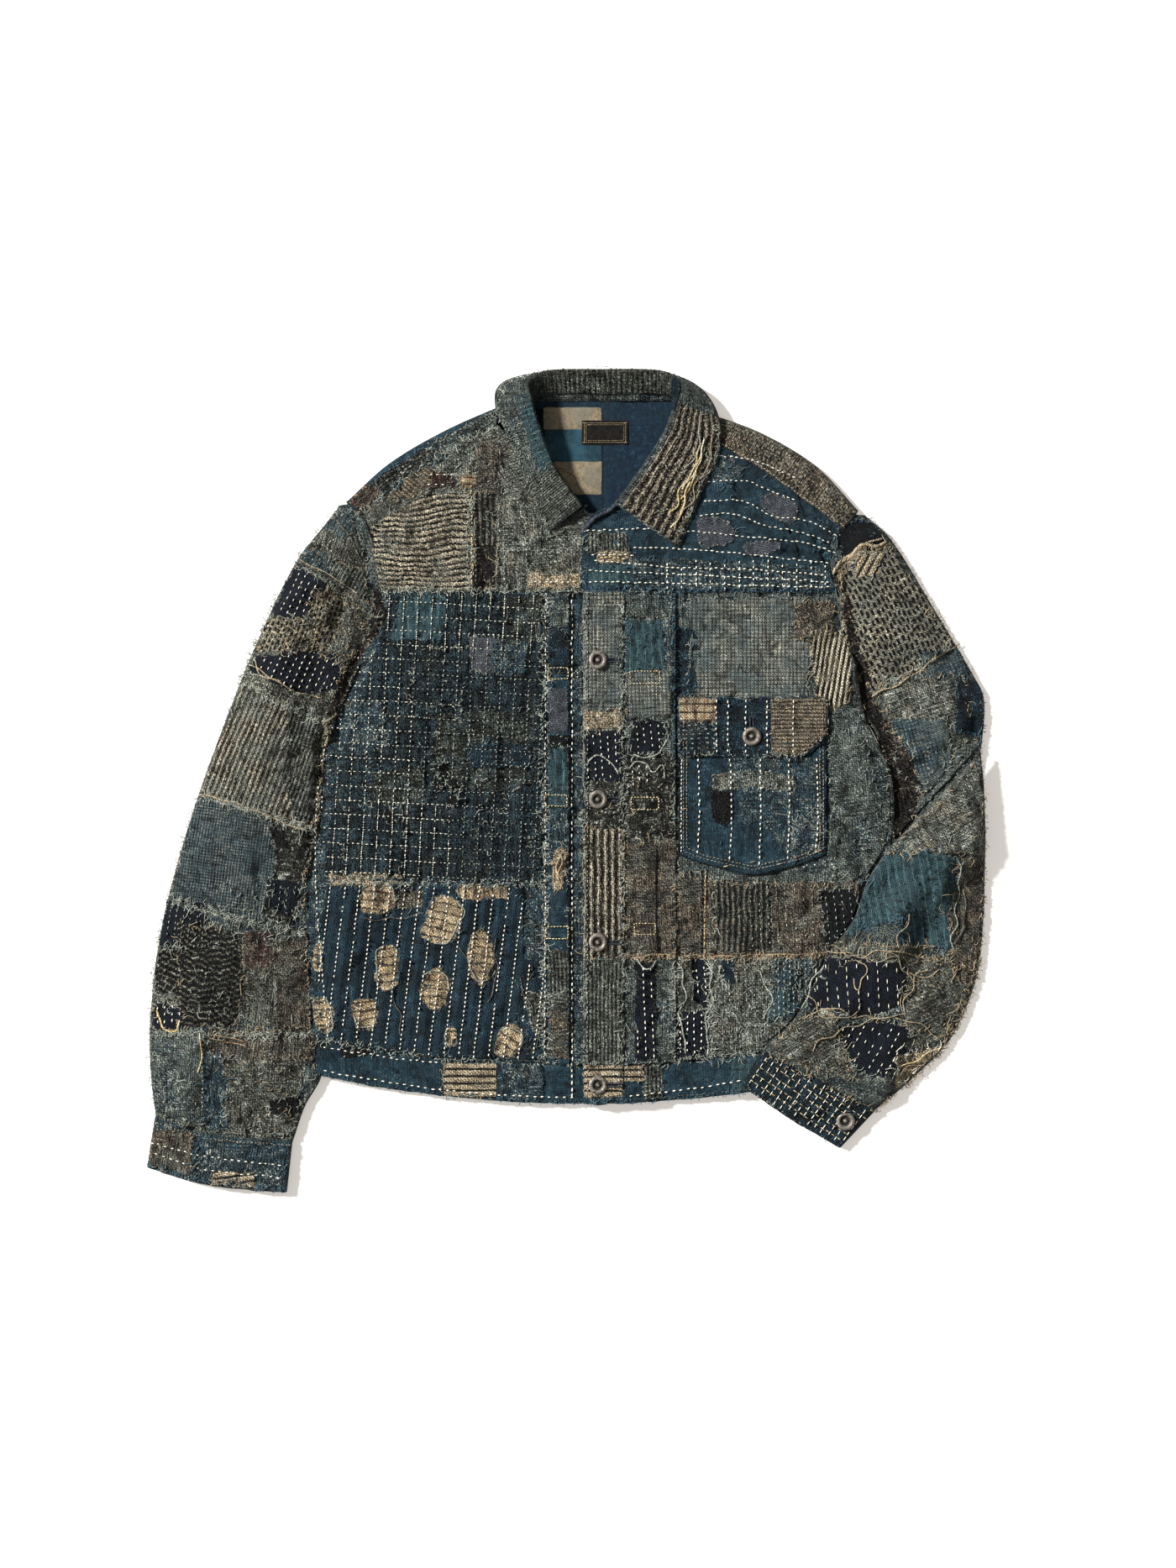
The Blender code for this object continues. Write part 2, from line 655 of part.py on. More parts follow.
def armhole(yoke, yoke_column, front, lowest):
    """The body's edge from the shoulder down to the underarm, from its own points."""
    yoke_edge = [row[yoke_column][:2] for row in SHEETS[yoke][0]]
    front_edge = [row[0][:2] for row, v in zip(SHEETS[front][0], SHEETS[front][2]) if v >= lowest - 1e-6]
    return yoke_edge[::-1] + front_edge[-2::-1]


def beside(points, way):
    """The same points, moved out from the body by the gap."""
    return [(x + way * ARMHOLE_GAP, y) for x, y in points]


def sleeve(name, colours, shape, base, across, bands, pressed=0.0):
    """A sleeve's under and top pieces. The top one rises between its seams, up to where it is pressed flat."""
    along = stops(*bands, longest=0.1)
    grid = coons(*shape, across, along)
    lay(name + "_under", colours[0], grid, base, CLOTH, across, along)
    places = {}
    for row, v in zip(grid, along):
        for (x, y), u in zip(row, across):
            places[x, y] = ease(min(u, 1 - u) / SLEEVE_ROLL) * ease(min(v, 1 - pressed - v) / SLEEVE_END)

    def above(x, y):
        return base(x, y) + CLOTH + GAP + SLEEVE_LIFT * places[x, y]

    lay(name + "_top", colours[1], grid, above, CLOTH, across, along)


def sleeves():
    """The left sleeve lies along the body. The right one turns at the elbow, where it is folded."""
    seam = [(-206, 252)] + beside(armhole("front_yoke_left", 0, "front_left", UNDERARM_LEFT), -1)
    line, across = straight_line(seam)
    outer = [(-206, 252), (-220, 234), (-245, 202), (-279, 133), (-312, 51), (-343, -37), (-368, -131)]
    outer += [(-378, -210), (-378, -262), (-373, -304)]
    inner = [seam[-1]] + [(side_left(y) - BESIDE, y) for y in (128, 109, 74, 27, -33, -100, -168, -217, -262)]
    inner += [(-238, -294), (-249, -326)]
    wrist = [(-373, -304), (-328, -319), (-249, -326)]
    bands = (0, 0.14, 0.30, 0.34, 0.56, 0.72, 0.86, 1.0)
    sleeve("sleeve_left", ("grey", "grey"), (line, wrist, outer, inner), lambda x, y: 0, across, bands)

    seam = [(270, 243)] + beside(armhole("front_yoke_right", -1, "front_right", UNDERARM_RIGHT), 1)
    line, across = straight_line(seam)
    outer = [(270, 243), (293, 222), (334, 156), (367, 100), (378, 78), (377, 42), (372, 12), (364, -14)]
    inner = [seam[-1]] + [(side_right(y) + BESIDE, y) for y in (37, 15, -18, -60, -84)]
    end = [outer[-1], inner[-1]]
    bands = (0, 0.12, 0.60, 1.0)
    shape = line, end, outer, inner
    sleeve("sleeve_right_upper", ("grey", "grey"), shape, lambda x, y: 0, across, bands, pressed=0.2)

    elbow = [(374, 28), (335, -14), (291, -59)]
    outer = [(374, 28), (377, -2), (379, -85), (376, -146), (369, -185), (348, -232), (318, -264), (279, -297)]
    inner = [(291, -59), (272, -88), (259, -124), (240, -150), (222, -185), (205, -214), (177, -241)]
    wrist = [(279, -297), (261, -288), (227, -267), (177, -241)]
    bands, across = (0, 0.28, 0.60, 0.86, 1.0), stops(0, 0.25, 1.0, longest=0.16)
    shape = elbow, wrist, outer, inner
    sleeve("sleeve_right_lower", ("slate", "brown"), shape, under_forearm, across, bands)


def cuff(name, colour, seam, edge, base):
    """A flattened ring of doubled cloth, open at the wrist."""
    tall = 2 * BAND + SLACK
    seam, edge = smooth_line(seam), smooth_line(edge)
    grid = []
    for v in (0, 0.33, 0.67, 1):
        points = [seam(u) * (1 - v) + edge(u) * v for u in stops(0, 1, longest=0.17)]
        inward = (points[-1] - points[0]).normalized() * tall / 2
        points[0], points[-1] = points[0] + inward, points[-1] - inward
        lower = [(p.x, p.y, base(p.x, p.y)) for p in points]
        upper = [(x, y, z + tall) for x, y, z in reversed(lower)]
        ends = []
        for (x, y, z), way in ((lower[-1], 1), (lower[0], -1)):
            arc = []
            for turn in (math.pi / 4, math.pi / 2, math.pi * 3 / 4):
                out = inward * way * math.sin(turn)
                arc.append((x + out.x, y + out.y, z + tall * (1 - math.cos(turn)) / 2))
            ends.append(arc if way > 0 else arc[::-1])
        grid.append(lower + ends[0] + upper + ends[1])
    walled(name, colour, grid, CUFF_CLOTH, closed=True, side=1)


def cuffs():
    cuff(
        "cuff_left",
        "teal",
        [(-374, -304.6), (-328, -319.6), (-249, -326.6)],
        [(-381, -348), (-325, -364), (-254, -371)],
        lambda x, y: 0,
    )
    cuff(
        "cuff_right",
        "indigo",
        [(175.6, -242.4), (226, -268.4), (260, -289.4), (279, -298.8)],
        [(158, -273), (205, -305), (248, -331)],
        under_forearm,
    )


def button(name, x, y, z, slope=(0, 0)):
    """A cast button with a raised rim and a small boss in its well, on cloth that slopes along x and y."""
    profile = [
        # radius, height, as shares of the button's own
        (0.78, 0.0),
        (1.0, 0.35),
        (0.93, 0.82),
        (0.72, 1.0),
        (0.50, 0.86),
        (0.40, 0.42),
        (0.20, 0.42),
        (0.16, 0.62),
    ]
    vertices, faces = [], []
    for share_r, share_z in profile:
        for k in range(BUTTON_SEGMENTS):
            turn = math.tau * k / BUTTON_SEGMENTS
            dx, dy = (share_r * BUTTON_RADIUS * c for c in (math.cos(turn), math.sin(turn)))
            height = z + share_z * BUTTON_HEIGHT + dx * slope[0] + dy * slope[1]
            vertices.append((x + dx, y + dy, height))
    faces = cells(len(profile), BUTTON_SEGMENTS, closed=True)
    faces.append(tuple(range(BUTTON_SEGMENTS)))
    faces.append(tuple(range(len(vertices) - BUTTON_SEGMENTS, len(vertices))))
    made = add_object(name, "pewter", vertices, faces)
    made.data.shade_smooth()


def buttons():
    on_placket = FRONT_TOP + LAP_LIFT + GAP + LAYER + GAP
    for number, y in enumerate(BUTTON_Y, start=1):
        button(f"button_front_{number}", BUTTON_X, y, on_placket)
    button("button_front_4", BUTTON_X, BAND_BUTTON_Y, FRONT_TOP + BAND + 2 * GAP)
    button("button_flap", 167, 42, FRONT_TOP + 2 * LAYER + 3 * GAP)
    x, y, reach = 252, -306, 9
    slope_x = (under_forearm(x + reach, y) - under_forearm(x - reach, y)) / (2 * reach)
    slope_y = (under_forearm(x, y + reach) - under_forearm(x, y - reach)) / (2 * reach)
    cuff_top = under_forearm(x, y) + 2 * BAND + SLACK
    button("button_cuff_right", x, y, cuff_top + CUFF_BUTTON_RISE, (slope_x, slope_y))


def main():
    clear_scene()
    back()
    shoulder(
        "yoke_shoulder_left",
        "slate",
        [(-200, 255), (-161, 290), (-110, 320), (-58, 343)],
        [(-189, 244.5), (-130, 288.5), (-63.5, 325)],
        1,
    )
    shoulder(
        "yoke_shoulder_right",
        "brown",
        [(264, 247), (226, 287), (177, 317), (120, 338)],
        [(250.5, 230.5), (172.5, 286.5), (112, 320.5)],
        -1,
    )
    fronts()
    front_yokes()
    front_layers()
    waistbands()
    collar()
    neck()
    sleeves()
    cuffs()
    for name, piece, across, along in PATCHES:
        sew_on(name, "beige", piece, across, along, inset=0.4)
    buttons()


main()
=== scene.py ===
"""Patched boro jacket, laid flat with its front up.

The cloth lies in height maps, one for each part that lies on another. The panels come first, then the patches,
each cut to its own ragged outline and laid on what is there, and then the stitches and the frayed threads.
Lengths are in millimetres until a mesh is made. Outlines and seams are written as "x,y x,y x,y".
"""

import math
from functools import partial

import bpy
import numpy as np
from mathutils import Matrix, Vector
from mathutils.geometry import delaunay_2d_cdt


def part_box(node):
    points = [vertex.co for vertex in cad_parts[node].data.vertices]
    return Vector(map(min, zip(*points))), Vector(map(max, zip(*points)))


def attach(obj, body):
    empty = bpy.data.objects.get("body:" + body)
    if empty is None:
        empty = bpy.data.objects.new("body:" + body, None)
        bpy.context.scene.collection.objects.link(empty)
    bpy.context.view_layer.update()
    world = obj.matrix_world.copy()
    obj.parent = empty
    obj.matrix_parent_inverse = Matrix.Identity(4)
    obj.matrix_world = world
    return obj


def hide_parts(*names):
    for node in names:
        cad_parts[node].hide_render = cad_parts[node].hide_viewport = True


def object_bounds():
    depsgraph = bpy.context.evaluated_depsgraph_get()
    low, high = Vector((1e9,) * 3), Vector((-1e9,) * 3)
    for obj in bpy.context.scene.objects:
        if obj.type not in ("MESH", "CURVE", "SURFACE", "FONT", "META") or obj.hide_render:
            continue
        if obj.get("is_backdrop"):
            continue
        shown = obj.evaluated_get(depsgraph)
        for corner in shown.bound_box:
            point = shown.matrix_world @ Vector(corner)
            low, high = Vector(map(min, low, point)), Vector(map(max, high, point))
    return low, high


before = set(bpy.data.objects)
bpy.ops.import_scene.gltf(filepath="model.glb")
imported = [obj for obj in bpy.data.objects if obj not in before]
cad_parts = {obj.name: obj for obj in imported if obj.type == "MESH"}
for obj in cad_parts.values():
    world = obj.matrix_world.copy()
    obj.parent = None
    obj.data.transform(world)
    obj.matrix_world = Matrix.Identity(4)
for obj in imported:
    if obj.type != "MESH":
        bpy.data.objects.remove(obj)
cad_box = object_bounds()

MM = 0.001
COARSE = 1.2  # the spacing of every mesh is multiplied by this
chance = np.random.default_rng(11)
LATTICE = np.random.default_rng(3).random((256, 256))

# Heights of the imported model's layers
CLOTH, GAP, BAND = 3.0, 0.3, 3.8
FRONT_LOW, FRONT_LIFT, LAP_LIFT = 3.3, 2.2, 3.3
FRONT_TOP = FRONT_LOW + FRONT_LIFT + CLOTH
OVER_BODY = FRONT_TOP + GAP
FRONT_EDGE, LAP_EDGE, YOKE_Y = 15.0, 56.0, 173.0
LAP_FADE = (64.0, 92.0)
SLEEVE_TALL, CUFF_TALL = 6.3, 8.2  # between the folds of a flattened sleeve and cuff
BACK_LEVEL = 1.3  # the back's cloth is this far above the floor, with its patches under it
LEAST_PATCH, LEAST_THREAD = 0.15, 0.1  # the same for what is sewn on the back
NECK_TOP, SHOULDER_TOP = 236, 250  # where the sides of the right and the left front end
COLLAR_RISE = 9.5  # the collar's cloth is seen from above where it is over this height
STAND_END, ROLL_END = 0.36, 0.52  # shares of the way across the collar
SHEET_EDGE = ((0.45, 0.22), (0.8, 1.0))  # how far out and down each ring of a rolled edge goes
LEAST_CUT, LEAST_AREA, MOST_AREA = 10.5, 0.32, 0.999  # a sheet's narrowest side, and shares of its box

# ---------------------------------------------------------------- lines, noise and height maps


def spots(points):
    """Rows of numbers from a text, such as "x,y x,y". What isn't a text is given back as it is."""
    return [tuple(map(float, p.split(","))) for p in points.split()] if isinstance(points, str) else points


def ease(t):
    t = np.clip(t, 0.0, 1.0)
    return t * t * (3 - 2 * t)


def turned(x, y, turn):
    """Along and across a direction, in degrees."""
    c, s = math.cos(math.radians(turn)), math.sin(math.radians(turn))
    return x * c + y * s, y * c - x * s


def unit(p):
    return p / np.maximum(np.linalg.norm(p, axis=-1, keepdims=True), 1e-9)


def noise(x, y, size, seed=0):
    """Smooth random heights from -1 to 1, with bumps about that size across."""
    u, v = x / size + 17.31 * seed, y / size - 9.17 * seed
    i, j = np.floor(u).astype(int), np.floor(v).astype(int)
    s, t = u - i, v - j
    s, t = s * s * (3 - 2 * s), t * t * (3 - 2 * t)
    low = LATTICE[i & 255, j & 255] * (1 - s) + LATTICE[(i + 1) & 255, j & 255] * s
    high = LATTICE[i & 255, (j + 1) & 255] * (1 - s) + LATTICE[(i + 1) & 255, (j + 1) & 255] * s
    return 2 * (low * (1 - t) + high * t) - 1


def length(path):
    return np.linalg.norm(np.diff(path, axis=0), axis=1).sum()


def line(points, straight=False, even=False):
    """A line through a few points, as a function of shares from 0 to 1 along it."""
    p = np.array(spots(points), float)
    if not straight and len(p) > 2:
        run = np.ones(len(p) - 1) if even else np.linalg.norm(np.diff(p, axis=0), axis=1)
        at = np.concatenate([[0], np.cumsum(run)])
        slope = np.empty_like(p)
        slope[1:-1] = (p[2:] - p[:-2]) / (at[2:] - at[:-2])[:, None]
        slope[0], slope[-1] = (p[1] - p[0]) / run[0], (p[-1] - p[-2]) / run[-1]
        s = np.linspace(0, 1, 25)[:-1][:, None]
        bits = [
            (2 * s**3 - 3 * s**2 + 1) * p[i]
            + (s**3 - 2 * s**2 + s) * run[i] * slope[i]
            + (3 * s**2 - 2 * s**3) * p[i + 1]
            + (s**3 - s**2) * run[i] * slope[i + 1]
            for i in range(len(p) - 1)
        ]
        p = np.concatenate([*bits, p[-1:]])
    run = np.concatenate([[0], np.cumsum(np.linalg.norm(np.diff(p, axis=0), axis=1))])
    share = np.linspace(0, 1, len(p)) if even else run / run[-1]
    return lambda t: np.stack([np.interp(t, share, p[:, k]) for k in range(p.shape[1])], -1)


def x_at(points):
    """x as a function of y along a line that runs up or down."""
    p = line(points)(np.linspace(0, 1, 400))
    p = p if p[0, 1] < p[-1, 1] else p[::-1]
    return lambda y: np.interp(y, p[:, 1], p[:, 0])


def coons(start, end, west, east):
    """A patch of plane between four lines: start and end run west to east, west and east start to end."""
    a, b, c, d = (f(np.array(t)) for f, t in ((start, 0.0), (start, 1.0), (end, 0.0), (end, 1.0)))

    def at(u, v):
        u, v = np.broadcast_arrays(u, v)
        s, t = u[..., None], v[..., None]
        flat = (1 - s) * ((1 - t) * a + t * c) + s * ((1 - t) * b + t * d)
        return (1 - t) * start(u) + t * end(u) + (1 - s) * west(v) + s * east(v) - flat

    return at


side_left = x_at(
    "-222,-300 -223,-270 -231,-217 -234,-168 -237,-100 -225,-33 -220,27 -204,74 -188,109 -166,146 -170,184 "
    "-177,210 -184,233 -196,250"
)
side_right = x_at(
    "263,-300 264,-270 273,-200 284,-120 293,-60 296,-18 291,15 284,37 270,60 262,101 252,136 247,171 238,194 "
    "244,216 258,236"
)


def waist_seam(x):
    return -255 + 0.00037 * (x - 16) ** 2


def hem(x):
    return -290 + 0.00045 * (x - 13) ** 2


class Relief:
    """A height map, 1 mm to a cell, of what lies uppermost in one part of the jacket."""

    LEFT, LOW, WIDE, TALL = -410, -400, 820, 800

    def __init__(self, name, *covers, sign=1):
        self.name, self.covers = name, covers  # what lies over it is in covers
        self.sign = sign  # -1 where it is seen from below
        self.z = np.full((self.TALL, self.WIDE), np.nan)

    def cell(self, x, y):
        i = np.clip(np.round(x - self.LEFT).astype(int), 0, self.WIDE - 1)
        return np.clip(np.round(y - self.LOW).astype(int), 0, self.TALL - 1), i

    def add(self, points):
        points = points.reshape(-1, 3)
        np.fmax.at(self.z, self.cell(points[:, 0], points[:, 1]), points[:, 2])

    def close(self, reach=9):
        """Fills the gaps and carries the heights a little past the edges."""
        self.known = np.isfinite(self.z)
        for _ in range(reach):
            shifted = [np.roll(self.z, s, axis) for axis in (0, 1) for s in (-1, 1)]
            with np.errstate(all="ignore"):
                seen = np.isfinite(shifted).sum(0)
                mean = np.nansum(shifted, 0) / np.maximum(seen, 1)
            empty = np.isnan(self.z) & (seen > 0)
            self.z[empty] = mean[empty]

    def at(self, x, y):
        u = np.clip(x - self.LEFT, 0, self.WIDE - 1.01)
        v = np.clip(y - self.LOW, 0, self.TALL - 1.01)
        i, j = u.astype(int), v.astype(int)
        s, t = u - i, v - j
        z = self.z
        low = z[j, i] * (1 - s) + z[j, i + 1] * s
        high = z[j + 1, i] * (1 - s) + z[j + 1, i + 1] * s
        return low * (1 - t) + high * t

    def holds(self, x, y):
        return self.known[self.cell(x, y)]

    def cells(self, x0, y0, x1, y1):
        i = np.arange(max(int(x0 - self.LEFT), 0), min(int(x1 - self.LEFT) + 2, self.WIDE))
        j = np.arange(max(int(y0 - self.LOW), 0), min(int(y1 - self.LOW) + 2, self.TALL))
        return np.meshgrid(i, j)


def inside(x, y, ring):
    """Whether points lie in a closed outline."""
    x, y = np.asarray(x, float), np.asarray(y, float)
    found = np.zeros(x.shape, bool)
    for (ax, ay), (bx, by) in zip(ring, np.roll(ring, -1, 0)):
        if ay != by:
            found ^= ((ay > y) != (by > y)) & (x < (bx - ax) * (y - ay) / (by - ay) + ax)
    return found


# ---------------------------------------------------------------- colours and shader nodes


def paint(r, g, b):
    """A colour as it is seen, 0 to 255, as the shader's own."""
    return tuple((c / 255 / 12.92 if c <= 10 else ((c / 255 + 0.055) / 1.055) ** 2.4) for c in (r, g, b))


BLACK, COAL, GREY, PALE_GREY = paint(9, 10, 11), paint(44, 46, 43), paint(128, 136, 127), paint(208, 212, 200)
NIGHT, NAVY, INDIGO = paint(12, 17, 24), paint(22, 34, 47), paint(28, 52, 64)
BLUE, WORN_BLUE, SLATE = paint(44, 80, 98), paint(94, 124, 138), paint(72, 98, 107)
TEAL, PALE_TEAL, OLIVE = paint(66, 100, 107), paint(110, 146, 146), paint(107, 109, 95)
UMBER, BROWN, TAN = paint(50, 43, 37), paint(124, 113, 98), paint(178, 166, 144)
BEIGE, CREAM, GOLD = paint(204, 182, 146), paint(238, 228, 200), paint(206, 182, 126)
RUST, MAROON = paint(164, 112, 72), paint(92, 62, 60)


def node(tree, kind, links=None, **values):
    """Adds a node. Its own settings go in values, and its inputs, by name or place, in links."""
    made = tree.nodes.new("ShaderNode" + kind)
    for name, value in values.items():
        setattr(made, name, value)
    for name, value in (links or {}).items():
        socket = made.inputs[name]
        if isinstance(value, bpy.types.NodeSocket):
            tree.links.new(value, socket)
        elif isinstance(value, tuple) and len(value) == 3 and socket.type == "RGBA":
            socket.default_value = (*value, 1)
        else:
            socket.default_value = value
    return made


def maths(what, *values):
    tree = next(v.id_data for v in values if isinstance(v, bpy.types.NodeSocket))
    return node(tree, "Math", dict(enumerate(values)), operation=what).outputs[0]


mul, add, sub, div = (partial(maths, what) for what in ("MULTIPLY", "ADD", "SUBTRACT", "DIVIDE"))


def vector(what, value, by, at=1):
    return node(value.id_data, "VectorMath", {0: value, at: by}, operation=what).outputs[0]


def parts(value):
    return node(value.id_data, "SeparateXYZ", {0: value}).outputs


def blend(amount, a, b):
    return node(amount.id_data, "Mix", {0: amount, 6: a, 7: b}, data_type="RGBA").outputs[2]


def pick(share, a, b):
    return node(share.id_data, "Mix", {0: share, 2: a, 3: b}).outputs[0]


def spread(value, low, high, to_low=0.0, to_high=1.0):
    return node(value.id_data, "MapRange", {0: value, 1: low, 2: high, 3: to_low, 4: to_high}, clamp=True).outputs[0]


def grain(place, scale, detail=2.0, out=0, **more):
    """A noise's value, or its colour as output 1."""
    return node(place.id_data, "TexNoise", {"Vector": place, "Scale": scale, "Detail": detail, **more}).outputs[out]


def put(sockets, values):
    for label, value in values.items():
        if isinstance(value, bpy.types.NodeSocket):
            value.id_data.links.new(value, sockets[label])
        else:
            sockets[label].default_value = value


def shared(name, outputs, **inputs):
    """A new node group, with its place in the cloth and its named values as inputs."""
    tree = bpy.data.node_groups.new(name, "ShaderNodeTree")
    tree.interface.new_socket("Place", in_out="INPUT", socket_type="NodeSocketVector")
    for label, value in inputs.items():
        tree.interface.new_socket(label, in_out="INPUT", socket_type="NodeSocketFloat").default_value = value
    for label in outputs:
        tree.interface.new_socket(label, in_out="OUTPUT", socket_type="NodeSocketFloat")
    given, out = tree.nodes.new("NodeGroupInput").outputs, tree.nodes.new("NodeGroupOutput").inputs
    return tree, given, given["Place"], out


def weave_group():
    """Hand-spun threads both ways, one over the other by turns, tangled, each with its own tone; its gaps get painted
    shade.
    """
    tree, given, place, out = shared("weave", ["Height", "Fleck", "Crush"], Pitch=1.9, Tangle=0.5)
    scale = div(1000.0, given["Pitch"])
    bent = parts(grain(place, mul(scale, 0.3), 1.0, 1))
    run, reach = parts(place), mul(given["Tangle"], 7.0)
    heights, tones = [], []
    for k in (0, 1):
        turns = add(mul(run[k], scale), mul(sub(bent[k], 0.5), reach))
        heights.append(maths("SINE", mul(turns, math.pi)))
        along = mul(mul(run[1 - k], scale), 0.28)
        at = node(tree, "CombineXYZ", {0: mul(maths("FLOOR", turns), 5.3), 1: along, 2: 3.0 * k}).outputs[0]
        tones.append(grain(at, 1.0, 1.0))
    over = maths("GREATER_THAN", mul(*heights), 0.0)
    fleck = add(mul(pick(over, *tones), 0.65), mul(grain(place, mul(scale, 0.16)), 0.35))
    slubs = [
        grain(vector("MULTIPLY", place, pull), mul(scale, 0.42), Distortion=0.4)
        for pull in ((2.6, 0.3, 1.0), (0.3, 2.6, 1.0))
    ]
    crush = pick(spread(grain(place, 36.0), 0.42, 0.54), *slubs)
    top = pick(over, *(maths("ABSOLUTE", h) for h in heights))
    put(out, {"Fleck": spread(fleck, 0.36, 0.64), "Crush": spread(crush, 0.36, 0.6), "Height": top})
    return tree


def stripe_group():
    """Woven stripes along the second direction, which waver and break up."""
    more = {"Pitch": 5.0, "Share": 0.5, "Waver": 0.5, "Bend": 0.0, "Broken": 0.2, "Soft": 0.12}
    tree, given, place, out = shared("stripe", ["Mask", "Ridge"], **more)
    shift = mul(sub(grain(place, 45.0), 0.5), mul(given["Waver"], 8.0))
    sway = mul(sub(grain(place, 14.0, 0.0), 0.5), given["Bend"])
    across = add(mul(parts(place)[0], 1000.0), add(shift, sway))
    ridge = mul(maths("PINGPONG", div(across, given["Pitch"]), 0.5), 2.0)
    rough = grain(vector("MULTIPLY", place, (900.0, 260.0, 1.0)), 1.0)
    value = add(ridge, mul(sub(rough, 0.5), mul(given["Broken"], 4.0)))
    edge, soft = sub(1.0, given["Share"]), given["Soft"]
    put(out, {"Mask": spread(value, sub(edge, soft), add(edge, soft)), "Ridge": ridge})
    return tree


def blotch_group():
    """Worn or stained places with soft, ragged edges."""
    tree, given, place, out = shared("blotch", ["Mask"], Size=30.0, Share=0.3, Soft=0.08)
    found = grain(place, div(1000.0, given["Size"]), 4.0, Roughness=0.6)
    edge, soft = sub(0.75, mul(given["Share"], 0.5)), given["Soft"]
    put(out, {"Mask": spread(found, sub(edge, soft), add(edge, soft))})
    return tree


def dash_group():
    """Rows of small running stitches along the second direction."""
    tree, given, place, out = shared("dash", ["Mask"], Row=5.0, Step=4.0, Width=0.16, Length=0.5)
    sway = vector("SUBTRACT", grain(place, 60.0, 1.0, 1), (0.5, 0.5, 0.5))
    run = parts(vector("ADD", place, vector("SCALE", sway, 0.004, 3)))
    across = div(mul(run[0], 1000.0), given["Row"])
    luck = node(tree, "TexWhiteNoise", {"W": maths("FLOOR", across)}, noise_dimensions="1D").outputs[0]
    along = maths("FRACT", add(div(mul(run[1], 1000.0), given["Step"]), luck))
    middle = maths("ABSOLUTE", sub(maths("FRACT", across), 0.5))
    on_row, on_step = maths("LESS_THAN", middle, given["Width"]), maths("LESS_THAN", along, given["Length"])
    put(out, {"Mask": mul(on_row, on_step)})
    return tree


def crumple_group():
    """Puffed cloth between creases, which run one way here and another there, and where the creases get painted
    shade.
    """
    tree, given, place, out = shared("crumple", ["Height", "Crease"], Size=15.0)
    scale = div(1000.0, given["Size"])
    found = [
        maths("ABSOLUTE", sub(grain(vector("MULTIPLY", place, pull), scale, Distortion=0.6), 0.5))
        for pull in ((1.0, 0.42, 1.0), (0.42, 1.0, 1.0))
    ]
    away = pick(spread(grain(place, 24.0, 1.0), 0.44, 0.56), *found)
    height = add(mul(away, 6.0), mul(grain(place, mul(scale, 0.5)), 2.0))
    put(out, {"Height": height, "Crease": spread(away, 0.0, 0.035, 1.0, 0.0)})
    return tree


GROUPS = {f.__name__[:-6]: f() for f in (weave_group, stripe_group, blotch_group, dash_group, crumple_group)}


def use(group, place, **values):
    made = place.id_data.nodes.new("ShaderNodeGroup")
    made.node_tree = GROUPS[group]
    put(made.inputs, {"Place": place, **values})
    return made.outputs


def material(name):
    """A new material, its shader's inputs, and the place in the cloth."""
    made = bpy.data.materials.new(name)
    made.use_nodes = True
    tree = made.node_tree
    return made, tree.nodes["Principled BSDF"].inputs, node(tree, "UVMap", uv_map="weave").outputs[0]


def bumped(height, deep, strength=1.0):
    values = {"Height": height, "Distance": deep, "Strength": strength}
    return node(height.id_data, "Bump", values).outputs[0]


# ---------------------------------------------------------------- cloths and threads


CLOTHS = {}


def fade(colour, share=0.35, size=35.0, amount=0.6):
    """Worn or stained places: their colour, how much they show, and the group's values."""
    return colour, amount, {"Share": share, "Size": size}


def rows(colour, pitch, share, waver=0.4, broken=0.2, amount=1.0, ribbed=0.0, bend=0.0):
    """Stripes: their colour, how much they show, how much they stand out, and the group's values."""
    return colour, amount, ribbed, {"Pitch": pitch, "Share": share, "Waver": waver, "Broken": broken, "Bend": bend}


def specks(colour, row, step, width=0.14, long=0.5):
    """Small stitches: their colour and the group's values."""
    return colour, {"Row": row, "Step": step, "Width": width, "Length": long}


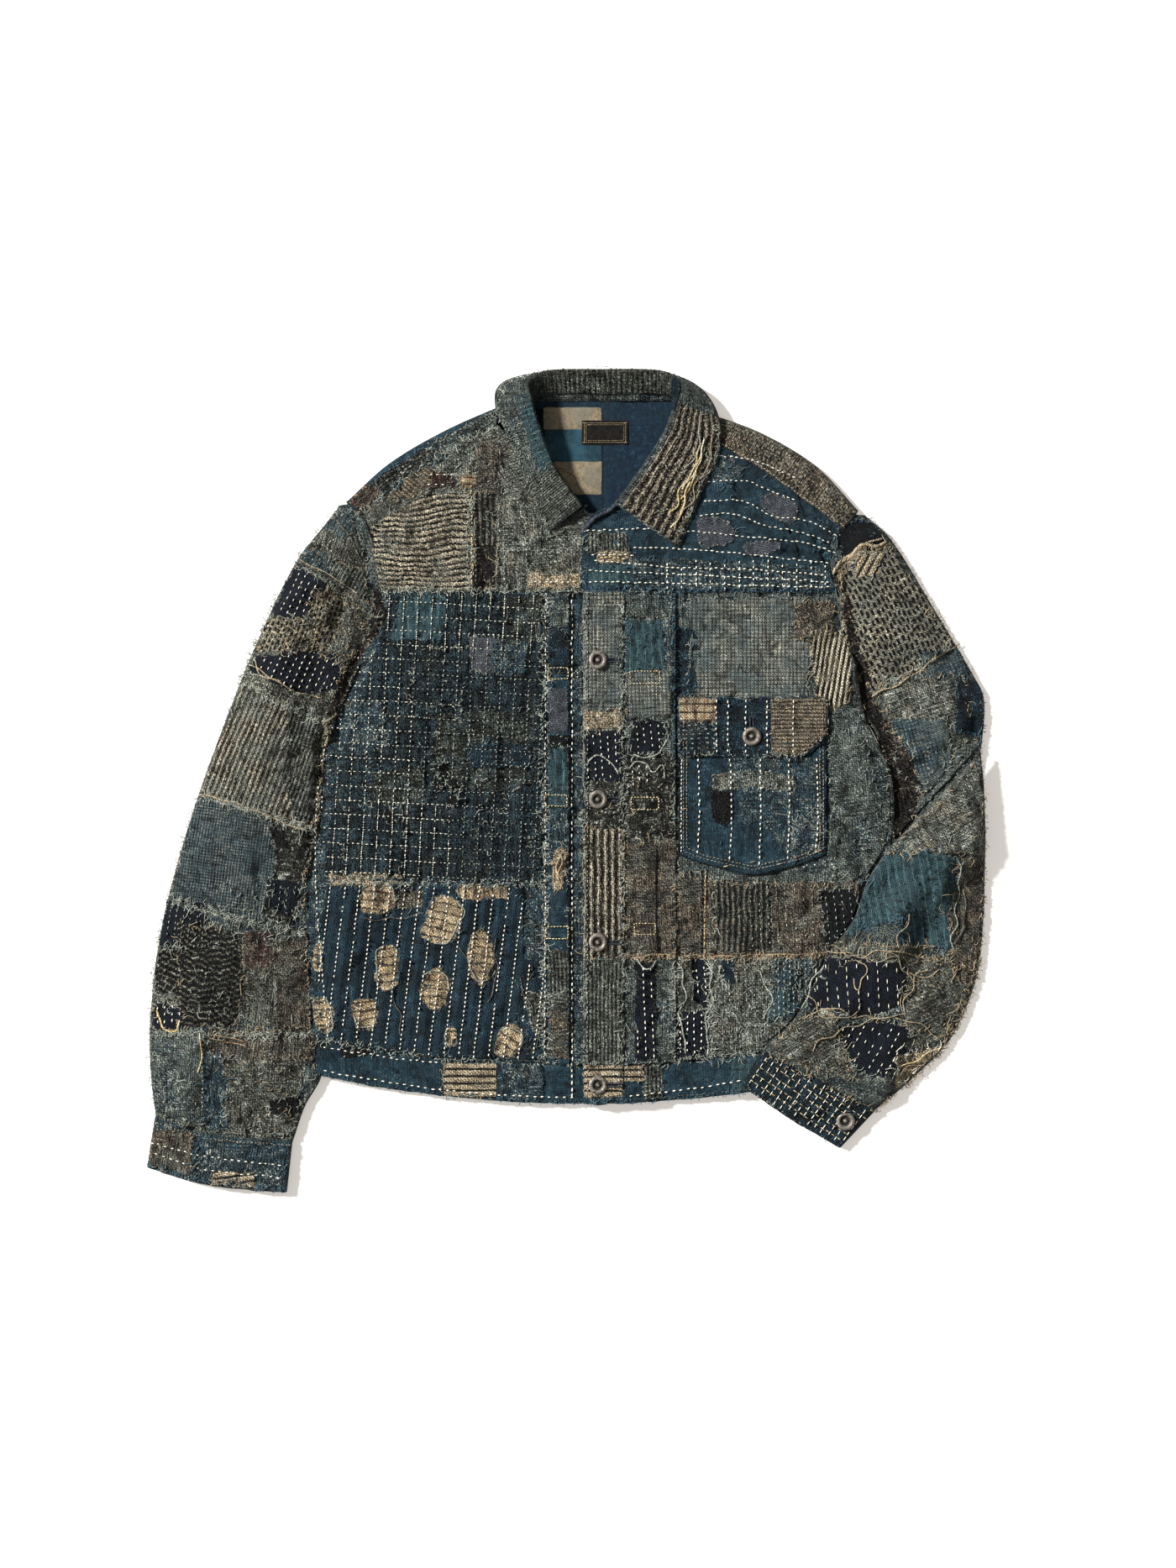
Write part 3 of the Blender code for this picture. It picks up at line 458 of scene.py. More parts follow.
def cloth(
    name,
    slot,
    dark,
    middle,
    light,
    pitch=1.9,
    tangle=0.5,
    level=0.5,
    gaps=0.85,
    worn=None,
    stained=None,
    stripes=None,
    bars=None,
    dashes=None,
    relief=1.0,
    crushed=0.7,
    creased=1.0,
):
    """A worn cotton: threads in three tones, stripes, bars, wear, stains, small stitches and painted shade in
    hollows.
    """
    made, shader, place = material(name)
    threads = use("weave", place, Pitch=pitch, Tangle=tangle)
    flecks, height, crush = threads["Fleck"], threads["Height"], threads["Crush"]
    tones = blend(spread(flecks, 0.0, level), dark, middle)
    tones = blend(spread(flecks, level, 1.0), tones, light)
    for woven, turn in ((stripes, 0.0), (bars, math.pi / 2)):
        if woven:
            colour, amount, ribbed, values = woven
            spun = node(place.id_data, "VectorRotate", {0: place, 3: turn}, rotation_type="Z_AXIS").outputs[0]
            found = use("stripe", spun, **values)
            tones = blend(mul(found["Mask"], amount), tones, colour)
            height = add(height, mul(found["Ridge"], ribbed))
    for colour, amount, values in filter(None, (worn, stained)):
        mask = mul(use("blotch", place, **values)["Mask"], amount)
        tones = blend(mul(mask, spread(flecks, 0.0, 0.7, 0.3, 1.0)), tones, colour)
    if dashes:
        colour, values = dashes
        mask = use("dash", place, **values)["Mask"]
        tones, height = blend(mask, tones, colour), add(height, mask)
    # Painted shade: the colour goes towards black in the low places between the threads and of the crush
    tones = blend(spread(threads["Height"], 0.05, 0.7, gaps, 0.0), tones, BLACK)
    tones = blend(spread(crush, 0.0, 0.8, crushed, 0.0), tones, BLACK)
    height = add(height, mul(crush, crushed * 2.0))
    if creased:
        crumple = use("crumple", place)
        # Painted shade along the creases
        tones = blend(mul(crumple["Crease"], 0.75 * creased), tones, BLACK)
        height = add(height, mul(crumple["Height"], creased / relief))
    rough = spread(flecks, 0.0, 1.0, 0.92, 0.8)
    put(shader, {"Base Color": tones, "Normal": bumped(height, 0.0019 * relief), "Roughness": rough})
    shader["Specular IOR Level"].default_value = 0.25
    CLOTHS[name] = made, slot + "_cloth"


def checked(colour, pitch, share, broken, amounts, ribbed):
    """Stripes and bars alike, but for how much they show."""
    first, second = (rows(colour, pitch, share, 0.1, broken, amount, ribbed) for amount in amounts)
    return {"stripes": first, "bars": second}


def cloths():
    cloth("indigo", "indigo", NIGHT, INDIGO, WORN_BLUE, 1.6, 0.3, 0.7, 0.7, fade(BLUE, 0.5, 30, 0.7),
        fade(BLACK, 0.3, 18, 0.6))
    cloth("kasuri_ground", "indigo", NAVY, BLUE, WORN_BLUE, 1.4, 0.2, 0.8, 0.5, fade(INDIGO, 0.55, 24, 0.8),
        fade(BLACK, 0.4, 30, 0.6), stripes=rows(BLUE, 13.4, 0.5, 0.1, 0.1, 0.3, 2.6), crushed=0.35)
    cloth("blue", "slate", NIGHT, INDIGO, WORN_BLUE, 1.6, 0.25, 0.7, 0.65, fade(BLUE, 0.5, 24, 0.8),
        fade(NIGHT, 0.35, 16, 0.6))
    cloth("slate", "slate", NAVY, SLATE, PALE_GREY, 1.7, 0.3, 0.64, 0.65, fade(BLUE, 0.45, 30, 0.7),
        fade(GREY, 0.3, 18, 0.5))
    cloth("teal", "teal", INDIGO, TEAL, WORN_BLUE, 1.2, 0.1, 0.7, 0.4, fade(SLATE, 0.5, 30, 0.8),
        stripes=rows(PALE_TEAL, 7.0, 0.2, 0.6, 0.4, 0.9, 0.0, 6.0), crushed=0.3)
    cloth("navy", "navy", BLACK, NIGHT, INDIGO, 1.4, 0.3, 0.7, 0.6)
    cloth("nap", "indigo", BLACK, INDIGO, SLATE, 2.0, 0.5, 0.7, 0.95, fade(OLIVE, 0.3, 30, 0.4),
        fade(NIGHT, 0.45, 34, 0.75), **checked(SLATE, 13.0, 0.4, 0.2, (0.25, 0.25), 1.6), crushed=0.65)
    cloth("grey", "grey", UMBER, GREY, PALE_GREY, 1.8, 0.25, 0.5, 0.8, fade(TAN, 0.35, 25, 0.6),
        fade(COAL, 0.3, 30, 0.6))
    cloth("ash", "grey", COAL, SLATE, PALE_GREY, 1.8, 0.25, 0.48, 0.8, fade(GREY, 0.6, 30, 0.8),
        fade(COAL, 0.3, 24, 0.6))
    cloth("olive", "grey", COAL, paint(118, 117, 102), PALE_GREY, 1.9, 0.35, 0.5, 0.85, fade(GREY, 0.5, 24, 0.7),
        fade(UMBER, 0.36, 30, 0.7))
    cloth("moss", "grey", BLACK, paint(74, 80, 71), GREY, 1.9, 0.35, 0.55, 0.95, fade(SLATE, 0.4, 20, 0.7),
        fade(BLACK, 0.4, 26, 0.7))
    cloth("brown", "brown", UMBER, BROWN, TAN, 1.8, 0.3, 0.5, 0.85, fade(GREY, 0.45, 28, 0.7),
        fade(COAL, 0.32, 20, 0.7))
    cloth("beige", "beige", BROWN, BEIGE, CREAM, 1.8, 0.4, 0.45, 0.7, fade(TAN, 0.5, 20, 0.6),
        fade(COAL, 0.3, 12, 0.7), crushed=0.4)
    cloth("dark_knots", "grey", BLACK, COAL, PALE_GREY, 2.3, 1.0, 0.56, 0.95, fade(OLIVE, 0.4, 22, 0.6), relief=1.5)
    grid = checked(COAL, 3.5, 0.36, 0.25, (0.75, 0.65), -0.5)
    cloth("grey_check", "grey", GREY, PALE_GREY, CREAM, 1.3, 0.1, 0.6, 0.5, fade(SLATE, 0.5, 34, 0.75),
        fade(GREY, 0.4, 20, 0.6), **grid, crushed=0.4)
    grid = checked(NIGHT, 3.5, 0.36, 0.25, (0.75, 0.6), -0.5)
    cloth("teal_check", "teal", SLATE, WORN_BLUE, PALE_GREY, 1.3, 0.1, 0.6, 0.5, fade(GREY, 0.5, 40, 0.8),
        fade(SLATE, 0.4, 26, 0.6), **grid, crushed=0.4)
    cloth("cream_ribs", "brown", BLACK, UMBER, BROWN, 1.8, 0.5, 0.6, 0.8, fade(OLIVE, 0.35, 22, 0.6),
        stripes=rows(CREAM, 6.4, 0.42, 0.4, 0.45, 0.85, 2.4), relief=1.6, crushed=0.4)
    cloth("dark_ribs", "brown", BROWN, TAN, BEIGE, 1.5, 0.3, 0.5, 0.6, fade(BROWN, 0.4, 25, 0.6),
        stripes=rows(BLACK, 3.4, 0.36, 0.2, 0.3, 0.85, -1.4), relief=1.3, crushed=0.25)
    wavy = rows(BLACK, 5.0, 0.4, 1.0, 0.45, 1.0, -1.8, 22.0)
    cloth("wavy", "beige", BROWN, paint(208, 195, 168), CREAM, 1.8, 0.4, 0.42, 0.45, fade(GREY, 0.4, 24, 0.6),
        fade(BROWN, 0.35, 18, 0.6), bars=wavy, relief=1.3, crushed=0.25)
    long = rows(BLACK, 4.9, 0.44, 0.4, 0.35, 0.95, -1.8, 3.0)
    cloth("long_stripes", "beige", BROWN, paint(182, 172, 150), CREAM, 1.8, 0.3, 0.5, 0.5, fade(GREY, 0.5, 34, 0.8),
        stripes=long, relief=1.3, crushed=0.3)
    cloth("bold_stripes", "beige", TAN, BEIGE, CREAM, 1.6, 0.2, 0.4, 0.4, stained=fade(BROWN, 0.3, 14, 0.4),
        bars=rows(NIGHT, 6.4, 0.34, 0.2, 0.15, 1.0, -0.8), crushed=0.3)
    plaid = {"stripes": rows(RUST, 8.0, 0.26, 0.2, 0.2, 0.8), "bars": rows(UMBER, 7.5, 0.26, 0.2, 0.2, 0.9, -0.5)}
    cloth("plaid", "beige", TAN, BEIGE, CREAM, 1.4, 0.2, 0.5, 0.5, **plaid, crushed=0.2)
    check = {
        "stripes": rows(BROWN, 10.5, 0.1, 0.8, 0.4, 0.6, 0.8),
        "bars": rows(UMBER, 7.6, 0.2, 0.9, 0.25, 0.95, 1.2),
    }
    cloth("kasuri", "beige", TAN, paint(226, 196, 148), CREAM, 1.5, 0.3, 0.4, 0.3, fade(BROWN, 0.4, 12, 0.7),
        fade(RUST, 0.3, 16, 0.5), **check, crushed=0.35)
    cloth("grey_dashes", "beige", BROWN, paint(168, 162, 142), CREAM, 1.6, 0.4, 0.5, 0.6, fade(GREY, 0.5, 26, 0.8),
        dashes=specks(BLACK, 4.3, 8.2, 0.27, 0.66), relief=1.4, crushed=0.35)
    cloth("knotted", "grey", COAL, paint(128, 124, 106), PALE_GREY, 1.9, 0.5, 0.5, 0.9, fade(COAL, 0.45, 16, 0.8),
        dashes=specks(BLACK, 3.6, 5.4, 0.5, 0.66), relief=1.5)
    cloth("sand", "beige", UMBER, paint(176, 164, 136), CREAM, 1.9, 0.4, 0.5, 0.7, fade(GREY, 0.4, 18, 0.6),
        dashes=specks(BLACK, 4.0, 6.0, 0.26, 0.6), relief=1.3)
    cloth("navy_dots", "navy", NIGHT, paint(14, 25, 42), NAVY, 1.4, 0.3, 0.7, 0.4, crushed=0.15)
    cloth("denim", "slate", INDIGO, BLUE, WORN_BLUE, 1.1, 0.1, 0.6, 0.4, fade(INDIGO, 0.5, 30, 0.8),
        fade(WORN_BLUE, 0.3, 12, 0.4), crushed=0.3)
    cloth("blue_dots", "indigo", NIGHT, INDIGO, BLUE, 1.6, 0.3, 0.6, 0.7, fade(GREY, 0.36, 18, 0.6),
        dashes=specks(PALE_GREY, 4.2, 6.5, 0.15, 0.36))
    cloth("fine_ribs", "grey", COAL, GREY, PALE_GREY, 1.8, 0.5, 0.5, 0.8, fade(OLIVE, 0.4, 24, 0.6),
        stripes=rows(BLACK, 3.6, 0.34, 0.3, 0.3, 0.8, -1.5), relief=1.3)
    cloth("knotted_ribs", "grey", COAL, GREY, TAN, 1.8, 0.6, 0.4, 0.8, fade(BROWN, 0.3, 22, 0.5),
        stripes=rows(BLACK, 5.2, 0.5, 0.6, 0.35, 0.92, -2.4, 6.0), relief=1.6)
    cloth("maroon", "brown", UMBER, MAROON, TAN, 1.8, 0.6, 0.5, 0.8, fade(BROWN, 0.5, 9, 0.9),
        fade(COAL, 0.35, 12, 0.7))
    cloth("rust", "beige", UMBER, RUST, BEIGE, 1.8, 0.8, 0.5, 0.8, relief=1.4)
    fine = checked(NIGHT, 2.7, 0.36, 0.3, (0.8, 0.6), -0.8)
    cloth("grey_teal", "teal", SLATE, paint(134, 148, 147), PALE_GREY, 1.3, 0.05, 0.6, 0.4, fade(SLATE, 0.5, 44, 0.6),
        fade(COAL, 0.3, 30, 0.4), **fine, crushed=0.35)
    # Dark brown cloth; down the armholes it is laid as painted shade
    cloth("shadow_brown", "brown", BLACK, UMBER, BROWN, 2.4, 0.6, 0.7, 0.9)
    cloth("ticking", "beige", BEIGE, CREAM, CREAM, 1.4, 0.1, 0.4, 0.4, stained=fade(TAN, 0.4, 14, 0.6),
        stripes=rows(BLACK, 4.6, 0.54, 0.3, 0.1, 1.0, -1.0, 3.0), crushed=0.2)
    cloth("leaf_ribs", "brown", BLACK, UMBER, BROWN, 1.8, 0.4, 0.6, 0.8,
        bars=rows(paint(216, 204, 180), 4.6, 0.5, 0.6, 0.6, 0.8, 2.0), relief=1.5, crushed=0.45)
    # Near-black cloth laid in holes, as painted shade inside them
    cloth("void", "navy", BLACK, BLACK, NIGHT, 2.0, 0.5, 0.7, 0.5)
    cloth("smoke", "slate", paint(64, 68, 74), paint(86, 90, 98), paint(116, 120, 126), 1.3, 0.2, 0.6, 0.4,
        relief=0.7, crushed=0.2, creased=0.3)
    lining = {"pitch": 0.9, "tangle": 0.1, "level": 0.7, "gaps": 0.25, "relief": 0.35, "crushed": 0.0, "creased": 0.1}
    cloth("lining_blue", "lining", NAVY, paint(26, 50, 72), BLUE, worn=fade(INDIGO, 0.5, 40, 0.7), **lining)
    cloth("lining_teal", "lining", TEAL, paint(44, 92, 116), WORN_BLUE, worn=fade(INDIGO, 0.5, 26, 0.85), **lining)
    cloth("lining_beige", "beige", BROWN, paint(190, 170, 138), BEIGE, worn=fade(GREY, 0.5, 24, 0.6), **lining)
    cloth("lining_night", "navy", BLACK, NIGHT, NAVY, **lining)
    cloth("label", "label", BLACK, paint(26, 22, 19), UMBER, pitch=0.7, tangle=0.0, gaps=0.4, relief=0.3, crushed=0.0,
        creased=0.0)


def thread_material(name, first, second, third):
    """Twisted thread in tones that differ from one stitch to the next."""
    made, shader, place = material(name)
    tone = blend(spread(parts(place)[0], 0.0, 0.5), first, second)
    tone = blend(spread(parts(place)[0], 0.6, 1.0), tone, third)
    twist = maths("SINE", mul(parts(place)[1], 5200.0))
    tone = blend(spread(twist, -1.0, 1.0, 0.4, 0.0), tone, third)
    put(shader, {"Base Color": tone, "Normal": bumped(twist, 0.0002, 0.6)})
    put(shader, {"Roughness": 0.85, "Specular IOR Level": 0.25})
    return made


# ---------------------------------------------------------------- meshes


def add_mesh(name, points, faces, places, material, slot):
    """A mesh from millimetres, with a place in the cloth, in metres, for each corner."""
    mesh = bpy.data.meshes.new(name)
    points = np.array(points, float)
    points[:, 2] = np.maximum(points[:, 2], 0.0)
    mesh.from_pydata((points * MM).tolist(), [], [tuple(f) for f in faces])
    layer = mesh.uv_layers.new(name="weave")
    corner = np.empty(len(mesh.loops), np.int32)
    mesh.loops.foreach_get("vertex_index", corner)
    layer.data.foreach_set("uv", np.asarray(places, np.float32)[corner].ravel())
    mesh.polygons.foreach_set("use_smooth", np.ones(len(mesh.polygons), bool))
    mesh.materials.append(material)
    made = bpy.data.objects.new(name, mesh)
    bpy.context.scene.collection.objects.link(made)
    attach(made, "root")
    return made


def declare(made, wide, long, held, replaces):
    """Hides the model's parts that a sheet of cloth replaces. Its faces' areas and the box of its cut with its turned
    edges, in millimetres, are worked out but not used.
    """
    areas = np.empty(len(made.data.polygons), np.float32)
    made.data.polygons.foreach_get("area", areas)
    wide, long = max(wide, LEAST_CUT) * MM, max(long, LEAST_CUT) * MM
    if replaces:
        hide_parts(*replaces)


def skirt(points, places, faces, out, down):
    """Rolls the free edges of a sheet over and down by two rings. Faces run anticlockwise seen from outside."""
    faces = [tuple(f) for f in faces]
    seen = {(a, b): True for f in faces for a, b in zip(f, f[1:] + f[:1])}
    edges = np.array([e for e in seen if (e[1], e[0]) not in seen])
    away = np.zeros_like(points)
    beyond = np.cross(points[edges[:, 1]] - points[edges[:, 0]], out[edges[:, 0]])
    for k in (0, 1):
        np.add.at(away, edges[:, k], beyond)
    border = np.unique(edges)
    away = unit(away[border])
    ids, more_points, more_places = [np.arange(len(points))], [points], [places]
    for k, (side, fall) in enumerate(SHEET_EDGE):
        more_points.append(points[border] + away * side - out[border] * fall * down)
        more_places.append(places[border] + 0.0007 * (k + 1))
        place = np.full(len(points), -1)
        place[border] = len(points) + k * len(border) + np.arange(len(border))
        ids.append(place)
    a, b = edges.T
    for k in (0, 1):
        faces += zip(ids[k][a], ids[k + 1][a], ids[k + 1][b], ids[k][b])
    return np.concatenate(more_points), np.concatenate(more_places), faces


def stations(low, high, size, spacing, folded=False):
    """Shares along an edge for the rows of a mesh, with some close to the ends where those are folded."""
    t = np.linspace(low, high, max(int(size * (high - low) / spacing / COARSE), 3) + 1)
    if folded:
        near = np.array([0.4, 1.3, 2.6]) / size
        inner = t[(t > low + near[-1] * 1.4) & (t < high - near[-1] * 1.4)]
        t = np.concatenate([[low], low + near, inner, high - near[::-1], [high]])
    return t


def panel(
    name, surface, size, material, u=(0.0, 1.0), v=(0.0, 1.0), lift=0.0, spacing=3.4, depth=2.4, facing=1, rough=0.0,
    folded=False, held="laid", replaces=(),
):
    """A sheet of cloth on a surface of two shares, or on a part of one."""
    along = stations(0.0, 1.0, size[1] * abs(v[1] - v[0]), spacing)
    across, along = np.meshgrid(stations(*u, size[0], spacing, folded), along)
    low, high = v
    if rough:
        run = across * size[0]
        low, high = (
            end + rough / size[1] * (noise(run, 0 * across + k, 11.0, k) + 0.6 * noise(run, across, 4.0, k))
            for end, k in zip(v, (len(name), len(name) + 3))
        )
    along = low + (high - low) * along
    grid = surface(across, along)
    out = unit(np.cross(np.gradient(grid, axis=1), np.gradient(grid, axis=0)))
    rows, columns = across.shape
    a = (np.arange(rows - 1)[:, None] * columns + np.arange(columns - 1)).ravel()
    quads = np.stack([a, a + 1, a + columns + 1, a + columns], -1)
    if out[-1, :, 2].mean() * facing < 0:
        out, quads = -out, quads[:, ::-1]
    grid = grid + out * lift
    places = np.stack([across * size[0], along * size[1]], -1).reshape(-1, 2) * MM
    points, places, faces = skirt(grid.reshape(-1, 3), places, quads.tolist(), out.reshape(-1, 3), depth)
    made = add_mesh(name, points, faces, places, *CLOTHS[material])
    turned_in = 2 * (depth + 0.8)
    wide, long = size[0] * (u[1] - u[0]) + turned_in, size[1] * abs(v[0] - v[1]) + turned_in
    declare(made, wide, long, held, replaces)


def sampled(surface, size):
    """Close points on a surface, for a height map."""
    steps = [max(int(s / 0.7), 2) for s in size]
    return surface(*np.meshgrid(np.linspace(0, 1, steps[0]), np.linspace(0, 1, steps[1])))


def blob(x, y, wide, tall, turn=0.0, seed=1.0):
    """A rounded outline."""
    t = np.linspace(0, math.tau, 17)[:-1]
    r = 1 + 0.12 * np.sin(2 * t + seed) + 0.08 * np.sin(3 * t + 2 * seed)
    square = (np.abs(np.cos(t)) ** 3 + np.abs(np.sin(t)) ** 3) ** (-1 / 3)
    px, py = np.cos(t) * r * square * wide / 2, np.sin(t) * r * square * tall / 2
    c, s = math.cos(math.radians(turn)), math.sin(math.radians(turn))
    return [(x + a * c - b * s, y + a * s + b * c) for a, b in zip(px, py)]


def pillow(x0, x1, y0, y1, turn=0.0, square=3.2):
    """A rounded oblong."""
    t = np.linspace(0, math.tau, 28, endpoint=False)
    c, s = math.cos(math.radians(turn)), math.sin(math.radians(turn))
    px = np.sign(np.cos(t)) * np.abs(np.cos(t)) ** (2 / square) * (x1 - x0) / 2
    py = np.sign(np.sin(t)) * np.abs(np.sin(t)) ** (2 / square) * (y1 - y0) / 2
    return [tuple(p) for p in np.stack([(x0 + x1) / 2 + px * c - py * s, (y0 + y1) / 2 + px * s + py * c], -1)]


def bar(x0, y0, x1, y1):
    return [(x0, y0), (x1, y0), (x1, y1), (x0, y1)]


# ---------------------------------------------------------------- the layers that things lie on


def crease(x, y, folds, deeper=2.4):
    """Soft ridges and troughs: where, turned how, half as long, half as wide, and how high."""
    z = 0.0 * x
    for cx, cy, turn, long, wide, high in folds:
        run, off = turned(x - cx, y - cy, turn)
        z = z + deeper * high * np.exp(-((run / long) ** 2) - np.abs(off / wide) ** 1.5)
    return z


def puckers(x, y, seed=0, high=1.0):
    """The quilted cloth's own unevenness, and small pinched folds that run one way here and another there."""
    z = 0.8 * noise(x, y, 21.0, seed) + 0.6 * noise(x, y, 9.0, seed + 1) + 0.25 * noise(x, y, 4.5, seed + 2)
    for k, (px, py) in enumerate(((x, 2.6 * y), (2.6 * x, y), (1.9 * x - 1.9 * y, 0.8 * x + 0.8 * y))):
        here = np.clip(1.5 * noise(x, y, 64.0, seed + 4 + k) + 0.45, 0, 1)
        z = z + 1.7 * here * (0.45 - np.abs(noise(px, py, 19.0, seed + 9 + k)))
    return 1.5 * high * z


# Folds: x, y, turn, half length, half width, height
BODY_FOLDS = spots(
    "-150,60,70,70,22,2.2 -95,-150,84,80,20,2.0 -190,-120,80,70,18,1.8 266,20,96,50,12,2.2 150,-150,80,40,16,1.6 "
    "-207,25,84,60,7,-1.7 -182,128,55,40,6,1.5 -190,96,62,34,5,-1.2 -120,-40,8,60,7,0.9 -150,10,-4,50,6,-0.8 "
    "-58,-212,80,34,6,-1.4 -130,-215,99,30,6,1.3 -176,-202,76,34,6,-1.3 -205,-160,84,46,6,1.2 255,92,70,40,7,1.6 "
    "240,130,60,36,6,-1.4 262,-32,100,46,8,-1.8 246,-62,121,36,6,1.5 224,-112,36,40,6,-1.2 200,-182,80,40,8,1.3 "
    "122,-190,99,36,7,-1.2 92,98,88,50,4,1.1 72,-62,92,60,5,0.9 -131,214,40,40,7,1.3 -60,250,58,30,6,-1.0 "
    "-165,235,45,26,6,-1.2 152,256,-50,46,7,1.2 203,214,-38,36,6,-1.2 222,226,-52,30,5,-1.5 234,214,-60,26,4,1.3 "
    "-58,10,92,60,5,-1.2 -40,-20,88,56,5,1.1 -100,120,12,40,6,-1.0 -120,90,-30,44,6,1.0 -176,152,18,26,5,-1.4 "
    "-168,118,-14,30,5,1.3 120,-110,96,40,5,-1.0 160,-120,84,40,5,0.9 150,120,94,44,5,-0.9 186,130,100,36,5,-0.9 "
    "-74,214,88,36,5,-1.3 -48,216,94,36,6,0.9 60,214,5,30,5,0.8"
)
LEFT_SLEEVE_FOLDS = spots(
    "-250,120,62,60,17,3 -280,0,74,80,20,2.6 -300,-130,80,80,20,2.6 -330,-230,86,60,17,2.2 "
    "-268,-220,88,60,16,2.4 -254,162,38,30,7,1.8 -298,62,22,36,7,-2.0 -268,38,152,38,7,1.8 -328,-58,30,42,8,1.8 "
    "-270,-82,160,46,7,-1.9 -350,-160,20,30,7,-1.6 -290,-180,8,52,8,1.8 -342,-270,80,38,7,1.6 "
    "-272,-288,100,32,7,-1.6 -235,62,76,52,7,-1.8 -214,118,60,30,7,1.6 -318,-240,12,40,7,-1.5 "
    "-206,150,72,44,7,-2.4 -194,100,74,44,5,-1.8 -226,10,84,60,5,-1.6 -298,24,12,40,6,1.4 -306,-86,12,40,6,-1.4 "
    "-310,-196,-6,44,6,1.3 -316,-150,4,40,5,-1.3 -240,176,-20,26,5,1.4"
)
UPPER_ARM_FOLDS = spots(
    "300,140,-50,60,18,3 335,70,-66,50,18,2.6 285,200,-36,40,15,2.2 322,112,-18,32,7,-1.8 352,60,-72,38,7,1.8 "
    "298,58,42,32,7,-1.8 280,132,-62,44,7,1.6 326,20,32,42,8,-2.4 342,42,-48,30,6,1.6 304,176,-40,34,6,-1.5 "
    "300,10,40,34,6,1.8 258,176,100,34,7,-2.6 264,120,98,40,7,-2.6 276,76,112,30,8,-2.8 300,24,102,44,12,-3.4 "
    "306,-16,100,34,13,-3.4"
)
FOREARM_FOLDS = spots(
    "340,-60,92,70,20,3 300,-120,72,60,18,3 320,-200,62,60,18,2.6 240,-215,40,40,16,2.4 352,-100,96,46,7,-1.6 "
    "300,-70,20,42,7,1.8 331,-152,152,38,7,-1.7 262,-190,52,38,7,1.6 230,-202,60,32,7,-1.5 291,-238,32,32,7,1.5 "
    "366,-60,90,50,7,1.3 332,-30,40,34,7,-1.8 285,-95,60,34,6,-1.4"
)
UNDER_FOLDS = spots(
    "-120,60,78,90,10,-1.3 -60,-80,92,110,9,-1.0 20,90,86,80,8,-1.2 110,-40,98,100,11,-1.3 190,60,80,80,9,-1.1 "
    "180,-160,100,60,8,-1.2 -170,-170,76,60,9,-1.2 0,-190,84,50,8,-0.9 -90,230,20,60,8,-1.0 "
    "120,250,-24,60,9,-1.1 -280,40,74,80,9,-1.3 -310,-150,82,80,10,-1.2 -260,-240,90,50,8,-1.0 "
    "320,100,-60,60,9,-1.3 345,-90,95,60,9,-1.2"
)


def lap(x):
    return 1 - ease((x - LAP_FADE[0]) / (LAP_FADE[1] - LAP_FADE[0]))


def left_height(x, y):
    rise = FRONT_LOW + FRONT_LIFT * ease((x - side_left(np.minimum(y, SHOULDER_TOP))) / 34)
    return rise + CLOTH + crease(x, y, BODY_FOLDS) + puckers(x, y)


def right_height(x, y):
    rise = FRONT_LOW + FRONT_LIFT * ease((side_right(np.minimum(y, NECK_TOP)) - x) / 34)
    return rise + LAP_LIFT * lap(x) + CLOTH + crease(x, y, BODY_FOLDS) + puckers(x, y)


def under_height(x, y):
    return BACK_LEVEL + np.maximum(-crease(x, y, UNDER_FOLDS, 1.0) + puckers(x, y, 9, 0.35), -0.3)


def under_forearm(x, y):
    """The forearm lies on the body, and comes down to the floor beyond it."""
    past_side = np.maximum(x - side_right(np.clip(y, -270, NECK_TOP)), hem(x) - y)
    past_elbow = 0.68 * (x - 366) - 0.73 * (y + 14) - 14
    return OVER_BODY * (1 - ease((np.minimum(past_side, past_elbow) - 16) / 30))


def lying(start, end, height, west=None, east=None):
    """A sheet from its first to its last edge, at a height over the floor. Its sides are straight if not given."""
    start, end = spots(start), spots(end)
    west, east = west or [start[0], end[0]], east or [start[-1], end[-1]]
    plan = coons(line(start), line(end), line(west), line(east))

    def surface(u, v):
        p = plan(u, v)
        return np.concatenate([p, height(p[..., 0], p[..., 1])[..., None]], -1)

    return surface


def rounded(t):
    """A quarter of a circle, from 0 to 1."""
    return np.sqrt(np.clip(1 - (1 - np.clip(t, 0, 1)) ** 2, 0, 1))


def tube(shape, size, tall, folds, seed, base=None, elbow=0.0, pressed=0.0, bag=3.0, under=False):
    """One side of a flattened sleeve or cuff: it rises between its folded edges."""
    plan = coons(*(line(points) for points in shape))

    def surface(u, v):
        p = plan(u, v)
        x, y = p[..., 0], p[..., 1]
        level = base(x, y) if base else 0.0 * x
        middle = tall / 2
        inward = np.minimum(u, 1 - u)
        if under:
            face = level + BACK_LEVEL - crease(x, y, UNDER_FOLDS, 1.0) + puckers(x, y, seed, 0.35)
        else:
            ends = np.minimum(v + (0.12 if elbow else 0), 1 - pressed - v)
            bulge = ease(inward / 0.2) * ease(ends / 0.12)
            folded = (crease(x, y, folds) + puckers(x, y, seed)) * ease(inward / 0.1)
            face = np.maximum(level + tall + bag * bulge + folded, level + 2.4)
        share = rounded(inward * size[0] / 5.0)
        if elbow:
            share = share * rounded((v * size[1] + 0.4) / elbow)
        z = level + middle + (face - level - middle) * share
        return np.concatenate([p, z[..., None]], -1)

    return surface


def beside(side, ys, shift=0.0):
    return [(float(side(y)) + shift, y) for y in ys]


